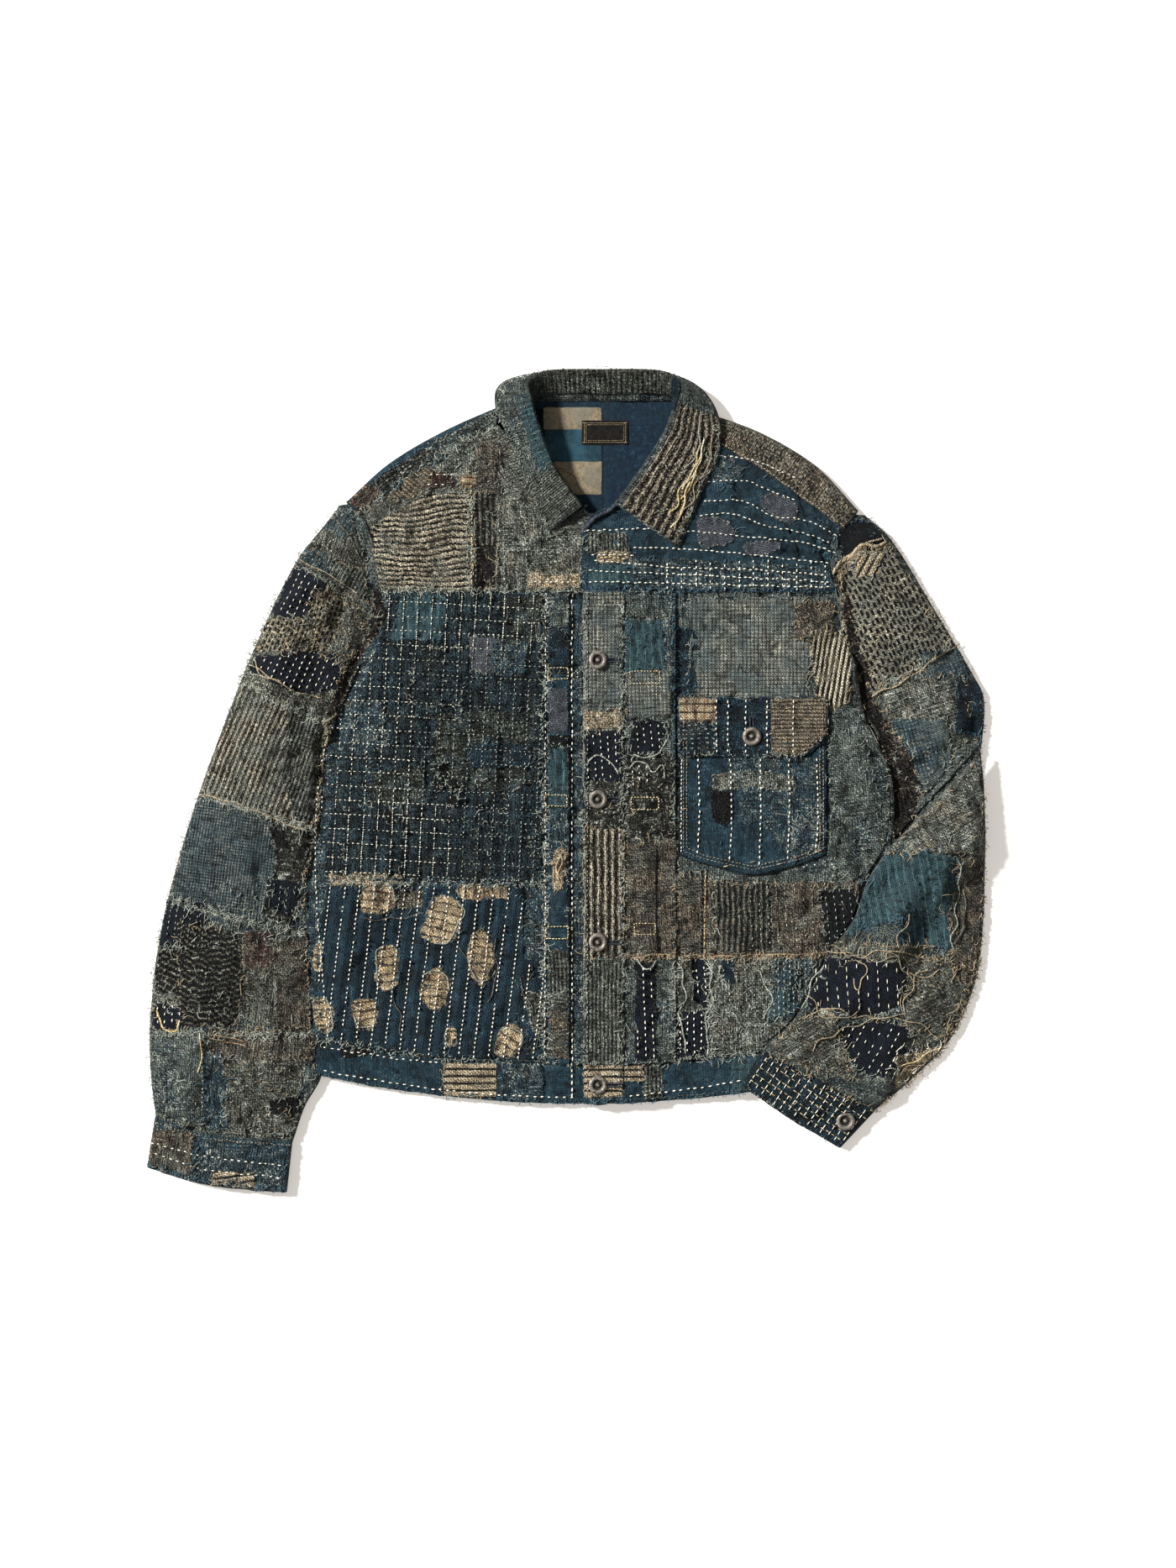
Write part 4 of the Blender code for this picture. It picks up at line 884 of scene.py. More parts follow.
LEFT_INNER = beside(side_left, (147, 128, 109, 74, 27, -33, -100, -168, -217, -262), 2.2)
LEFT_INNER += spots("-238,-294 -249,-326")
LEFT_OUTER = spots(
    "-206,252 -220,234 -245,202 -279,133 -312,51 -343,-37 -368,-131 -378,-210 -378,-262 -373,-304"
)
LEFT_SHOULDER = [(-206, 252), (-190, 250), *beside(side_left, (215, 184), 3), LEFT_INNER[0]]
LEFT_WRIST = "-373,-304 -328,-319 -249,-326"
UPPER_OUTER = spots("270,243 293,222 334,156 367,100 378,78 377,42 372,12 364,-14")
UPPER_INNER = beside(side_right, (66, 37, 15, -18, -60, -84), -2.2)
UPPER_SHOULDER = [(270, 243), (252, 240), *beside(side_right, (212, 171, 136, 101, 66), -3)]
ELBOW = "374,28 335,-14 291,-59"
LOWER_OUTER = spots("374,28 377,-2 379,-85 376,-146 369,-185 348,-232 318,-264 279,-297")
LOWER_INNER = "291,-59 272,-88 259,-124 240,-150 222,-185 205,-214 177,-241"
LOWER_WRIST = "279,-297 261,-288 227,-267 177,-241"
TUBES = {
    # start, end, outer and inner edge; size; height between the folds; folds; seed; what is special
    "sleeve_left": (
        (LEFT_SHOULDER, LEFT_WRIST, LEFT_OUTER, LEFT_INNER),
        (118, 585), SLEEVE_TALL, LEFT_SLEEVE_FOLDS, 4, {},
    ),
    "cuff_left": (
        (
            "-374,-303.6 -328,-318.6 -249,-325.6",
            "-381,-348 -325,-364 -254,-371",
            "-374,-303.6 -381,-348",
            "-249,-325.6 -254,-371",
        ),
        (128, 45), CUFF_TALL, (), 5, {"bag": 0.4},
    ),
    "sleeve_right_upper": (
        (UPPER_SHOULDER, [UPPER_OUTER[-1], UPPER_INNER[-1]], UPPER_OUTER, UPPER_INNER),
        (110, 300), SLEEVE_TALL, UPPER_ARM_FOLDS, 6, {"pressed": 0.2},
    ),
    "sleeve_right_lower": (
        (ELBOW, LOWER_WRIST, LOWER_OUTER, LOWER_INNER),
        (118, 330), SLEEVE_TALL, FOREARM_FOLDS, 7, {"base": under_forearm, "elbow": 9.0},
    ),
    "cuff_right": (
        (
            "175.6,-241.4 226,-267.4 260,-288.4 279,-297.8",
            "158,-273 205,-305 248,-331",
            "175.6,-241.4 158,-273",
            "279,-297.8 248,-331",
        ),
        (118, 40), CUFF_TALL, (), 8, {"base": under_forearm, "bag": 0.4},
    ),
}


def fold_over(rim, seam, top=FRONT_TOP):
    """The back yoke turned forward over a shoulder, from beneath, round the fold and up to its seam."""
    rim, seam = line(rim), line(seam)
    radius = top / 2

    def surface(u, v):
        low, high = rim(u), seam(u)
        turn = np.clip((v - 0.3) / 0.35, 0, 1) * math.pi
        beyond = np.clip((v - 0.65) / 0.35, 0, 1) * (np.linalg.norm(high - low, axis=-1) - radius)
        beneath = np.clip((0.3 - v) / 0.3, 0, 1) * 7
        run = radius * (1 - np.sin(turn)) + beyond + beneath
        p = low + unit(high - low) * run[..., None]
        z = radius - (radius - 0.25) * np.cos(turn)
        z = z + puckers(p[..., 0], p[..., 1]) * 0.7 * ease((v - 0.6) / 0.2)
        return np.concatenate([p, z[..., None]], -1)

    return surface


# neck seam, roll and outer edge of the collar, from the left point round the back to the right point
COLLAR = spots(
    "10,243,9.2,14,251,16.0,-19,226,10.8 -8,262,9.2,0,270,17.4,-28,248,10.8 "
    "-24,284,9.2,-13,291,19.6,-38,273,11.2 -36,312,9.2,-24,321,22.5,-53,312,12.0 "
    "-41,334,6.0,-32,347,24.5,-65,342,11.8 -34,345,5.2,-34,362,25.0,-58,363,9.0 "
    "-14,346,5.0,-16,370,24.5,-17,373,3.4 32,346,5.0,32,371,24.0,32,374,3.4 82,346,5.0,82,370,24.5,83,373,3.4 "
    "97,345,5.2,99,361,25.0,119,359,9.0 106,334,6.0,97,345,24.5,137,332,12.0 "
    "104,312,9.2,88,318,22.5,138,298,12.0 82,284,10.4,71,291,20.0,124,268,11.2 "
    "62,262,12.5,54,267,19.2,112,238,10.8 50,250,12.5,43,253,18.8,101,213,10.8"
)
COLLAR_SIZE = (560, 78)
COLLAR_LINES = [line([row[k : k + 3] for row in COLLAR], even=True) for k in (0, 3, 6)]


def collar(u, v):
    """Up from the neck seam, round the roll and down over it to the outer edge."""
    neck, roll, edge = COLLAR_LINES
    radius = 2.2
    n, r, e = neck(u), roll(u), edge(u)
    along = unit(roll(np.clip(u + 0.02, 0, 1)) - roll(np.clip(u - 0.02, 0, 1)))
    up, out = (unit(p - along * (p * along).sum(-1, keepdims=True)) for p in (r - n, e - r))
    nose, side = unit(up - out), unit(up + out)
    half = np.arctan2((up * nose).sum(-1), (up * side).sum(-1))
    centre = r - nose * radius

    def arc(turn):
        return centre + (nose * np.cos(turn * half)[..., None] + side * np.sin(turn * half)[..., None]) * radius

    stand = n + (arc(-1.0) - n) * np.clip(v / STAND_END, 0, 1)[..., None]
    share = np.clip((v - ROLL_END) / (1 - ROLL_END), 0, 1)
    fall = arc(1.0) + (e - arc(1.0)) * share[..., None]
    sag = np.sin(math.pi * share) * (0.6 + 0.8 * noise(u * 520, v * 60, 24.0, 9))
    sag = sag + 0.35 * noise(u * 520, v * 60, 8.0, 10) * ease(share * 4)
    bend = arc(np.clip((v - STAND_END) / (ROLL_END - STAND_END), 0, 1) * 2 - 1)
    p = np.where((v < STAND_END)[..., None], stand, np.where((v <= ROLL_END)[..., None], bend, fall))
    p[..., 2] += sag * (v > ROLL_END)
    return p


LEFT_SLEEVE, FOREARM, COLLAR_TOP = Relief("left_sleeve"), Relief("forearm"), Relief("collar")
BODY, UPPER_ARM, NECK = Relief("body", FOREARM, COLLAR_TOP), Relief("upper_arm", FOREARM), Relief("neck", COLLAR_TOP)
UNDER = Relief("back", sign=-1)

# ---------------------------------------------------------------- patches, stitches and frayed threads


THREADS, PATCHES = {}, []
LOOSE_POINTS, PIECE = 5, 5  # points in a frayed thread, and steps in each piece of a cord
KINDS = {4: "stitches", LOOSE_POINTS: "threads", PIECE + 1: "cords"}  # by points in a row
EDGE_RATE, AREA_RATE = 0.42, 220.0  # frayed threads for each millimetre of edge; square millimetres for each thread
MOST_TRIANGLES = 190000  # in one mesh of threads


def aside(way):
    """Square to a direction, to its right."""
    return unit(np.stack([way[:, 1], -way[:, 0]], -1))


def ragged(outline, step, fray, seed):
    """An outline as close points, drawn in and out, anticlockwise, with the way out at each."""
    p = np.array(spots(outline), float)
    if np.dot(p[:, 0], np.roll(p[:, 1], -1)) < np.dot(p[:, 1], np.roll(p[:, 0], -1)):
        p = p[::-1]
    closed = np.concatenate([p, p[:1]])
    run = np.concatenate([[0], np.cumsum(np.linalg.norm(np.diff(closed, axis=0), axis=1))])
    t = np.linspace(0, run[-1], max(int(run[-1] / step), 8), endpoint=False)
    ring = np.stack([np.interp(t, run, closed[:, k]) for k in (0, 1)], -1)
    away = aside(np.roll(ring, -1, 0) - np.roll(ring, 1, 0))
    shift = 0.9 * noise(ring[:, 0], ring[:, 1], 11.0, seed) + 0.5 * noise(ring[:, 0], ring[:, 1], 4.0, seed + 5)
    return ring + away * (shift * fray)[:, None], away


def quilting(x, y, ways):
    """The troughs that rows of stitches pull into the cloth."""
    z = 0.0 * x
    for turn, pitch in ways:
        off = (turned(x, y, turn)[0] / pitch + 0.5) % 1 - 0.5
        z = z - 1.25 * np.exp(-((off * pitch / 2.4) ** 2))
    return z


def strand(group, colour, paths, thick):
    """Keeps threads for the group, each a row of points."""
    kept = paths, np.broadcast_to(thick, len(paths)), chance.random(len(paths))
    THREADS.setdefault((group, colour), []).append(kept)


def stitches(group, colour, starts, ends, thick=0.72, rise=0.7):
    """Short stitches, which dip into the cloth at both ends."""
    starts, ends = np.asarray(starts, float).reshape(-1, 2), np.asarray(ends, float).reshape(-1, 2)
    if not len(starts):
        return
    share = np.array([0.0, 0.3, 0.7, 1.0])[None, :, None]
    plan = starts[:, None] * (1 - share) + ends[:, None] * share
    z = group.at(plan[..., 0], plan[..., 1]) + np.array([-0.35, rise, rise, -0.35])
    strand(group, colour, np.concatenate([plan, z[..., None]], -1), thick * chance.uniform(0.8, 1.2, len(plan)))


def sew(group, outline, turn, pitch, colour="cream", step=5.4, share=0.44, thick=0.72, wander=0.5, skip=0.04):
    """Rows of running stitches across an area."""
    ring = np.array(spots(outline), float)
    u, v = turned(ring[:, 0], ring[:, 1], turn)
    lines = np.arange(math.ceil(u.min() / pitch), math.floor(u.max() / pitch) + 1) * pitch
    places = np.arange(v.min(), v.max(), step)
    if not len(lines) or not len(places):
        return
    u, v = np.meshgrid(lines, places)
    v = v + noise(u, 0 * u, 1.7, 21) * step
    sway = wander * noise(u * 3, v, 24.0, 5)
    v = v + chance.normal(0, step * 0.05, u.shape)
    long = step * share * chance.uniform(0.85, 1.15, u.shape)
    start, middle, end = (
        np.stack(turned(u + sway + wander * 0.4 * chance.normal(0, 0.5, u.shape), v + long * t, -turn), -1)
        for t in (0.0, 0.5, 1.0)
    )
    kept = inside(*np.moveaxis(middle, -1, 0), ring) & (chance.random(u.shape) > skip)
    stitches(group, colour, start[kept], end[kept], thick)


def seam(group, points, colour="cream", step=5.4, share=0.46, thick=0.72, straight=True, wander=0.3):
    """One row of stitches along a line."""
    route = line(points, straight=straight)
    run = length(route(np.linspace(0, 1, 200)))
    t = np.arange(0, run - step * 0.5, step)
    t = t + chance.normal(0, step * 0.04, t.shape)
    shift = chance.normal(0, wander, (len(t), 2))
    ends = (t + step * share * chance.uniform(0.85, 1.15, t.shape)) / run
    stitches(group, colour, route(t / run) + shift, route(ends) + shift, thick)


def loose(group, colour, starts, ways, long, thick=0.32, bend=2.2, high=1.0, out=0.06):
    """Frayed ends: each starts in the cloth and bends away over it."""
    n = len(starts)
    if not n:
        return
    run = long[0] + (long[1] - long[0]) * chance.random(n) ** 2.2
    curl, twist = chance.normal(0, bend, n), chance.normal(0, bend * 0.6, n)
    s = np.linspace(0, 1, LOOSE_POINTS)
    angle = ways[:, None] + curl[:, None] * s + twist[:, None] * np.sin(s * 5)
    step = (run / (LOOSE_POINTS - 1))[:, None]
    x, y = (
        starts[:, k : k + 1] + np.concatenate([np.zeros((n, 1)), np.cumsum(way(angle[:, :-1]) * step, 1)], 1)
        for k, way in enumerate((np.cos, np.sin))
    )
    kept = group.holds(x, y).all(1) | (chance.random(n) < out)
    x, y, n = x[kept], y[kept], int(kept.sum())
    hump = chance.uniform(0.2, high, n)[:, None] * np.sin(math.pi * np.clip(s * 1.1, 0, 1)) + 0.25
    z = group.at(x, y) + hump
    z[:, 0] -= 0.5
    strand(group, colour, np.stack([x, y, z], -1), thick * chance.uniform(0.7, 1.35, n))


def fray(group, ring, away, colour, rate, long=(3, 12)):
    """Frayed threads along an edge."""
    run = np.linalg.norm(np.roll(ring, -1, 0) - ring, axis=1).sum()
    at = chance.integers(0, len(ring), int(run * rate * EDGE_RATE))
    start = ring[at] - away[at] * 0.6 + chance.normal(0, 0.5, (len(at), 2))
    ways = np.arctan2(away[at, 1], away[at, 0]) + chance.normal(0, 0.9, len(at))
    loose(group, colour, start, ways, long)


def shag(group, outline, colour, rate, turn=0, long=(4, 14), both=True, **more):
    """Frayed threads over an area, mostly along the weave."""
    ring = np.array(spots(outline), float)
    low, high = ring.min(0), ring.max(0)
    n = int(rate * (high - low).prod() / AREA_RATE)
    start = low + (high - low) * chance.random((n, 2))
    tuft = noise(start[:, 0], start[:, 1], 12.0, 31) > chance.uniform(-0.9, 0.5, n)
    start = start[inside(start[:, 0], start[:, 1], ring) & tuft]
    n = len(start)
    ways = math.radians(turn) + chance.normal(0, 0.5, n) + math.pi * chance.integers(0, 2, n)
    if both:
        ways = ways + math.pi / 2 * (chance.random(n) < 0.35)
    loose(group, colour, start, ways, long, **more)


def edge_line(group, points, colour, rate, long=(3, 12), fan=1.0, side=0.0, **more):
    """Frayed threads along a seam, to both sides of it or more to one."""
    p = line(points, straight=True)(np.linspace(0, 1, 160))
    away = aside(np.gradient(p, axis=0)) * np.where(chance.random(160) < 0.5 + side / 2, 1, -1)[:, None]
    at = chance.integers(0, 160, int(length(p) * rate))
    ways = np.arctan2(away[at, 1], away[at, 0]) + chance.normal(0, fan, len(at))
    loose(group, colour, p[at] + chance.normal(0, 0.8, (len(at), 2)), ways, long, **more)


def cord(group, points, colour="cream", thick=0.8, high=1.2, strands=2, sway=1.5):
    """A twisted yarn which lies loose on the cloth, built in short pieces."""
    points = spots(points)
    route = line(points)
    run = length(route(np.linspace(0, 1, 60)))
    count = max(int(run / 6), 1) * PIECE
    share = np.linspace(0, 1, count + 1)
    plan = route(share)
    side = aside(np.gradient(plan, axis=0))
    drift = sway * noise(share * run, 0 * share + high * 9, 13.0, len(points))
    for k in range(strands):
        turn = share * run / 5.0 * math.tau + math.tau * k / strands
        at = plan + side * (drift + thick * 0.9 * np.cos(turn))[:, None]
        z = group.at(at[:, 0], at[:, 1]) + high * (0.6 + 0.4 * np.sin(share * run / 9)) + thick * 0.8 * np.sin(turn)
        whole = np.concatenate([at, z[:, None]], -1)
        strand(group, colour, np.stack([whole[i : i + PIECE + 1] for i in range(0, count, PIECE)]), thick)


def shade(group, points, wide=1.2, straight=True):
    """Painted shade in the gap beside an upper layer: a row of black stitches stands for it."""
    route = line(points, straight=straight)
    run = length(route(np.linspace(0, 1, 100)))
    t = np.arange(0, run - 3.0, 3.0)
    wander = chance.normal(0, 0.25, (len(t), 2))
    stitches(group, "dark", route(t / run) + wander, route((t + 3.8) / run) + wander, wide, -0.02)


def patch(
    name, group, outline, material, turn=0.0, sewn=(), step=6.2, lift=0.9, rough=1.0, rate=0.3, thread="pale",
    long=(3, 10), spacing=2.8, replaces=(),
):
    """A piece of cloth cut to an outline and laid on the group, with its rows of stitches and its frayed edge."""
    seed = 40 + len(name) + 3 * len(PATCHES)
    PATCHES.append(name)
    ring, away = ragged(outline, 2.0 * COARSE, rough, seed)
    for _ in range(40):  # it ends where the group does
        out = ~group.holds(*(ring + away * 1.5).T)
        ring[out] += unit(ring.mean(0) - ring[out])
    spacing = spacing * COARSE
    low, high = ring.min(0), ring.max(0)
    x, y = np.meshgrid(np.arange(low[0], high[0], spacing), np.arange(low[1], high[1], spacing * 0.87))
    x[1::2] += spacing / 2
    inner = np.stack([x.ravel(), y.ravel()], -1)
    inner += 0.25 * spacing * (LATTICE.ravel()[np.arange(2 * len(inner)) % LATTICE.size].reshape(-1, 2) - 0.5)
    inner = inner[inside(inner[:, 0], inner[:, 1], ring - away * spacing * 0.45)]
    flat = [Vector(p) for p in np.concatenate([ring, inner])]
    found = delaunay_2d_cdt(flat, [], [list(range(len(ring)))], 1, 1e-4)
    plan = np.array([tuple(p) for p in found[0]])

    def height(px, py):
        depth = 0.6 * noise(px, py, 6.5, seed + 2)
        return group.at(px, py) + np.maximum(lift + depth + quilting(px, py, sewn), 0.3)

    points = np.concatenate([plan, height(plan[:, 0], plan[:, 1])[:, None]], -1)
    places = np.stack(turned(plan[:, 0], plan[:, 1], turn), -1)
    size = places.max(0) - places.min(0) + 3.5
    up = np.zeros_like(points)
    up[:, 2] = 1
    points, places, faces = skirt(points, places * MM, found[2], up, lift + 0.25)
    points[:, 2] *= group.sign
    if group.sign < 0:
        points[:, 2] = np.maximum(points[:, 2], LEAST_PATCH)
        faces = [f[::-1] for f in faces]
    declare(add_mesh(name, points, faces, places, *CLOTHS[material]), *size, "laid", replaces)
    i, j = group.cells(*low, *high)
    covered = inside(i + group.LEFT, j + group.LOW, ring)
    i, j = i[covered], j[covered]
    group.z[j, i] = height(i + group.LEFT * 1.0, j + group.LOW * 1.0)
    fray(group, ring, away, thread, rate, long)
    for way, pitch in sewn:
        sew(group, ring - away * 2.0, way, pitch, "cream", step)


def patches(group, table, **more):
    """Patches from rows: name, outline, cloth, turn, thread, then the node it stands for or its rows of stitches."""
    for name, outline, material, turn, thread, *rest in table:
        nodes = [r for r in rest if isinstance(r, str)]
        sewn = [r for r in rest if not isinstance(r, str)]
        values = {"lift": 0.9 if nodes else 0.5, **more}
        patch(name, group, outline, material, turn, sewn, thread=thread, replaces=nodes, **values)


def mends(name, group, table, threads, **more):
    """Numbered patches from rows: outline, cloth, turn. Their threads take turns."""
    for k, (outline, material, turn) in enumerate(table):
        patch(f"{name}_{k + 1}", group, outline, material, turn, thread=threads[k % len(threads)], **more)


def build_threads():
    """Makes the threads that nothing covers, in meshes of one colour."""
    for (group, colour), kept in THREADS.items():
        paths = {}
        for path, thick, tone in kept:
            middle = path[:, path.shape[1] // 2]
            shown = middle[:, 2] > group.at(middle[:, 0], middle[:, 1]) - 0.15
            shown &= np.isfinite(path).all((1, 2))
            for other in group.covers:
                shown &= ~other.holds(middle[:, 0], middle[:, 1])
            paths.setdefault(path.shape[1], []).append((path[shown], thick[shown], tone[shown]))
        for count, lots in paths.items():
            path, thick, tone = (np.concatenate(part) for part in zip(*lots))
            path = path * (1, 1, group.sign)
            if group.sign < 0:
                path[..., 2] = np.maximum(path[..., 2], LEAST_THREAD)
            most = MOST_TRIANGLES // ((count - 1) * 6)
            for k in range(0, len(path), most):
                name = f"{group.name}_{colour}_{KINDS[count]}_{k // most + 1}"
                build_strands(name, path[k : k + most], thick[k : k + most], tone[k : k + most], colour)


def build_strands(name, path, thick, tone, colour, sides=3):
    n, k, _ = path.shape
    way = unit(np.gradient(path, axis=1))
    side = unit(np.cross(way, (0.0, 0.0, 1.0)))
    up = np.cross(side, way)
    ends = np.ones(k)
    ends[0] = ends[-1] = 0.45
    turn = np.arange(sides) / sides * math.tau + math.pi / 2
    around = side[:, :, None] * np.cos(turn)[:, None] + up[:, :, None] * np.sin(turn)[:, None]
    rings = path[:, :, None] + around * (thick[:, None] * ends)[:, :, None, None]
    run = np.concatenate([np.zeros((n, 1)), np.cumsum(np.linalg.norm(np.diff(path, axis=1), axis=-1), 1)], 1)
    shape = (n, k, sides)
    place = np.stack([np.broadcast_to(tone[:, None, None], shape), np.broadcast_to(run[:, :, None], shape) * MM], -1)
    j, s = np.arange(k - 1)[:, None] * sides, np.arange(sides)
    base = np.arange(n)[:, None, None] * k * sides
    a, b = base + j + s, base + j + (s + 1) % sides
    faces = np.stack([a, a + sides, b + sides, b], -1).reshape(-1, 4)
    add_mesh(name, rings.reshape(-1, 3), faces.tolist(), place.reshape(-1, 2), *THREAD_KINDS[colour])


# ---------------------------------------------------------------- the panels


left_outer, left_inner = x_at(LEFT_OUTER), x_at(LEFT_INNER)


def strip(top, low, inset=1.6):
    """The outline of a part of the left sleeve, from heights at its outer and its inner edge."""
    outer = beside(left_outer, np.linspace(low[0], top[0], 9), inset)
    return outer + beside(left_inner, np.linspace(top[1], low[1], 9), -inset)


def level_line(edge, x0, x1, count, more=0.0):
    """Points along the hem or the waist seam."""
    return [(x, float(edge(x)) + more) for x in np.linspace(x0, x1, count)]


def band(x0, x1, height, count=7):
    """A waistband between the hem and the waist seam."""
    return lying(level_line(hem, x0, x1, count), level_line(waist_seam, x0, x1, count), height)


def body_panels():
    w = waist_seam
    west = beside(side_left, (float(w(-228)), -168, -100, -33, 27, 74, 109, 146, YOKE_Y))
    start = [west[0], (-120, w(-120)), (16, w(16)), (LAP_EDGE, w(LAP_EDGE))]
    left = lying(start, [west[-1], (-60, YOKE_Y), (LAP_EDGE, YOKE_Y)], left_height, west)
    east = beside(side_right, (float(w(268)), -200, -120, -60, -18, 15, 60, 101, 136, YOKE_Y))
    start = [(FRONT_EDGE, w(FRONT_EDGE)), (150, w(150)), east[0]]
    right = lying(start, [(FRONT_EDGE, YOKE_Y), (130, YOKE_Y), east[-1]], right_height, None, east)

    start = [(side_left(YOKE_Y), YOKE_Y), (-60, YOKE_Y), (LAP_EDGE, YOKE_Y)]
    west = beside(side_left, (YOKE_Y, 210, 233)) + [(-190, 244)]
    east = [start[-1], *spots("56,225 38,240 10,248 -14,270 -36,298 -64,324")]
    yoke_left = lying(start, "-190,244 -130,288 -64,324", left_height, west, east)
    start = [(FRONT_EDGE, YOKE_Y), (130, YOKE_Y), (side_right(YOKE_Y), YOKE_Y)]
    west = [start[0], *spots("15,228 26,243 52,258 74,283 92,306 112,320")]
    east = beside(side_right, (YOKE_Y, 194, 216)) + [(250, 230)]
    yoke_right = lying(start, "112,320 172,286 250,230", right_height, west, east)

    def on(height, more):
        return lambda x, y: height(x, y) + more

    def upright(x0, x1, height):
        return lying([(x, w(x) + 0.4) for x in (x0, x1)], [(x, YOKE_Y - 0.4) for x in (x0, x1)], on(height, 1.9))

    pocket = lying("103,-66 122,-72 168,-83 214,-72 234,-64", "103,64 168,64 234,64", on(right_height, 2.0))
    flap = lying("101,24 168,24 214,24 236,44", "101,77 168,77 236,77", on(right_height, 4.1))

    def left_band(x, y):
        return FRONT_TOP + 0.2 + puckers(x, y, 2, 0.8) + 0 * x

    def right_band(x, y):
        return left_band(x, y) + (BAND + GAP) * lap(x)

    shoulders = (
        fold_over("-200,255 -161,290 -110,320 -58,343", "-189,244.5 -130,288.5 -63.5,325"),
        fold_over("264,247 226,287 177,317 120,338", "250.5,230.5 172.5,286.5 112,320.5"),
    )
    for name, surface, size, material, depth, held in (
        ("front_left", left, (284, 425), "slate", 3.0, "laid"),
        ("front_right", right, (256, 425), "ash", 3.0, "laid"),
        ("front_yoke_left", yoke_left, (250, 150), "grey", 2.6, "laid"),
        ("front_yoke_right", yoke_right, (236, 140), "denim", 2.6, "laid"),
        ("front_pleat_left", upright(-17, 2, left_height), (19, 425), "denim", 1.6, "laid"),
        ("front_pleat_right", upright(51, 98, right_height), (47, 425), "ash", 1.6, "laid"),
        ("placket", upright(15, 51, right_height), (36, 425), "grey_check", 1.8, "laid"),
        ("waistband_left", band(-226, 56, left_band), (284, 34), "denim", 3.6, "folded"),
        ("waistband_right", band(15, 264, right_band), (250, 34), "denim", 3.6, "folded"),
        ("chest_pocket", pocket, (131, 140), "denim", 1.8, "laid"),
        ("pocket_flap", flap, (135, 53), "denim", 1.9, "laid"),
        ("yoke_shoulder_left", shoulders[0], (172, 32), "denim", 2.0, "folded"),
        ("yoke_shoulder_right", shoulders[1], (170, 34), "brown", 2.0, "folded"),
    ):
        spacing = 2.6 if min(size) < 60 else 3.4
        panel(name + "_cloth", surface, size, material, depth=depth, spacing=spacing, held=held, replaces=[name])
        BODY.add(sampled(surface, size))
    BODY.close()


def other_panels():
    for key, group, material, under in (
        ("sleeve_left", LEFT_SLEEVE, "ash", "grey"),
        ("cuff_left", LEFT_SLEEVE, "slate", "slate"),
        ("sleeve_right_upper", UPPER_ARM, "ash", "olive"),
        ("sleeve_right_lower", FOREARM, "ash", "brown"),
        ("cuff_right", FOREARM, "indigo", "indigo"),
    ):
        cuff = "cuff" in key
        held = "folded" if cuff else "laid"
        *shape, special = TUBES[key]
        size = shape[1]
        for beneath, facing, colour in ((False, 1, material), (True, -1, under)):
            surface = tube(*shape, under=beneath, **special)
            name = key if cuff else key + ("_under" if beneath else "_top")
            made, replaces = (name + "_inner_side", ()) if cuff and beneath else (name + "_cloth", [name])
            panel(
                made, surface, size, colour, folded=True, facing=facing, depth=2.2, spacing=3.2, held=held,
                replaces=replaces,
            )
            points = sampled(surface, size)
            if beneath:
                if group is FOREARM:
                    points = points[points[..., 2] < 4]  # only what isn't on the body is seen from below
                UNDER.add(points * (1, 1, -1))
            else:
                group.add(points)

    panel("collar_cloth", collar, COLLAR_SIZE, "ash", depth=1.4, spacing=2.4, held="folded", replaces=["collar"])
    top = sampled(collar, COLLAR_SIZE)
    COLLAR_TOP.add(top[top[..., 2] > COLLAR_RISE])

    lining = lying(
        "-20,228 80,228", "-46,346 34,349 108,345", lambda x, y: 4.2 + puckers(x, y, 3, 0.35),
        "-20,228 -40,275 -46,346", "80,228 100,290 108,345",
    )
    panel("neck_lining_cloth", lining, (142, 115), "lining_blue", depth=0.8, replaces=["neck_lining"])
    NECK.add(sampled(lining, (142, 115)))

    w = waist_seam
    west = beside(side_left, (float(w(-228)), -168, -100, -33, 27, 74, 109, 150), 1.6)
    east = beside(side_right, (float(w(268)), -200, -120, -60, -18, 15, 60, 101, 150), -1.6)
    middle = [west[-1], (20, 150), east[-1]]
    back = lying([west[0], (16, w(16)), east[0]], middle, under_height, west, east)
    west = beside(side_left, (150, 184, 210, 233), 1.6) + spots("-181,246 -150,272 -105,303 -52,331")
    east = beside(side_right, (150, 171, 194, 216), -1.6) + spots("248,236 214,263 170,291 118,321")
    yoke = lying(middle, "-52,331 -30,342 34,344 100,341 118,321", under_height, west, east)
    hem_band = band(-225, 263, lambda x, y: under_height(x, y) * 0.8, 9)
    for name, surface, size, material, depth, spacing, held in (
        ("back_panel", back, (500, 400), "slate", 1.9, 4.0, "laid"),
        ("back_yoke", yoke, (430, 190), "indigo", 1.9, 4.0, "laid"),
        ("waistband_back", hem_band, (490, 34), "blue", 4.0, 3.0, "folded"),
    ):
        more = {"depth": depth, "spacing": spacing, "held": held, "replaces": [name]}
        panel(name + "_cloth", surface, size, material, facing=-1, **more)
        UNDER.add(sampled(surface, size) * (1, 1, -1))
    for group in (LEFT_SLEEVE, UPPER_ARM, FOREARM, COLLAR_TOP, NECK, UNDER):
        group.close()


# ---------------------------------------------------------------- what is sewn on each part

CHEST = "-221,-86 -120,-89 -24,-90 -21,40 -21,171 -90,171 -160,170 -172,120 -193,60 -209,0 -217,-45"
WAIST = "-216,-92 -120,-92 -40,-93 -40,-160 -20,-165 -19,-250 -120,-247 -222,-229 -226,-165 -222,-120"
GRID = ((-3, 13), (87, 13))


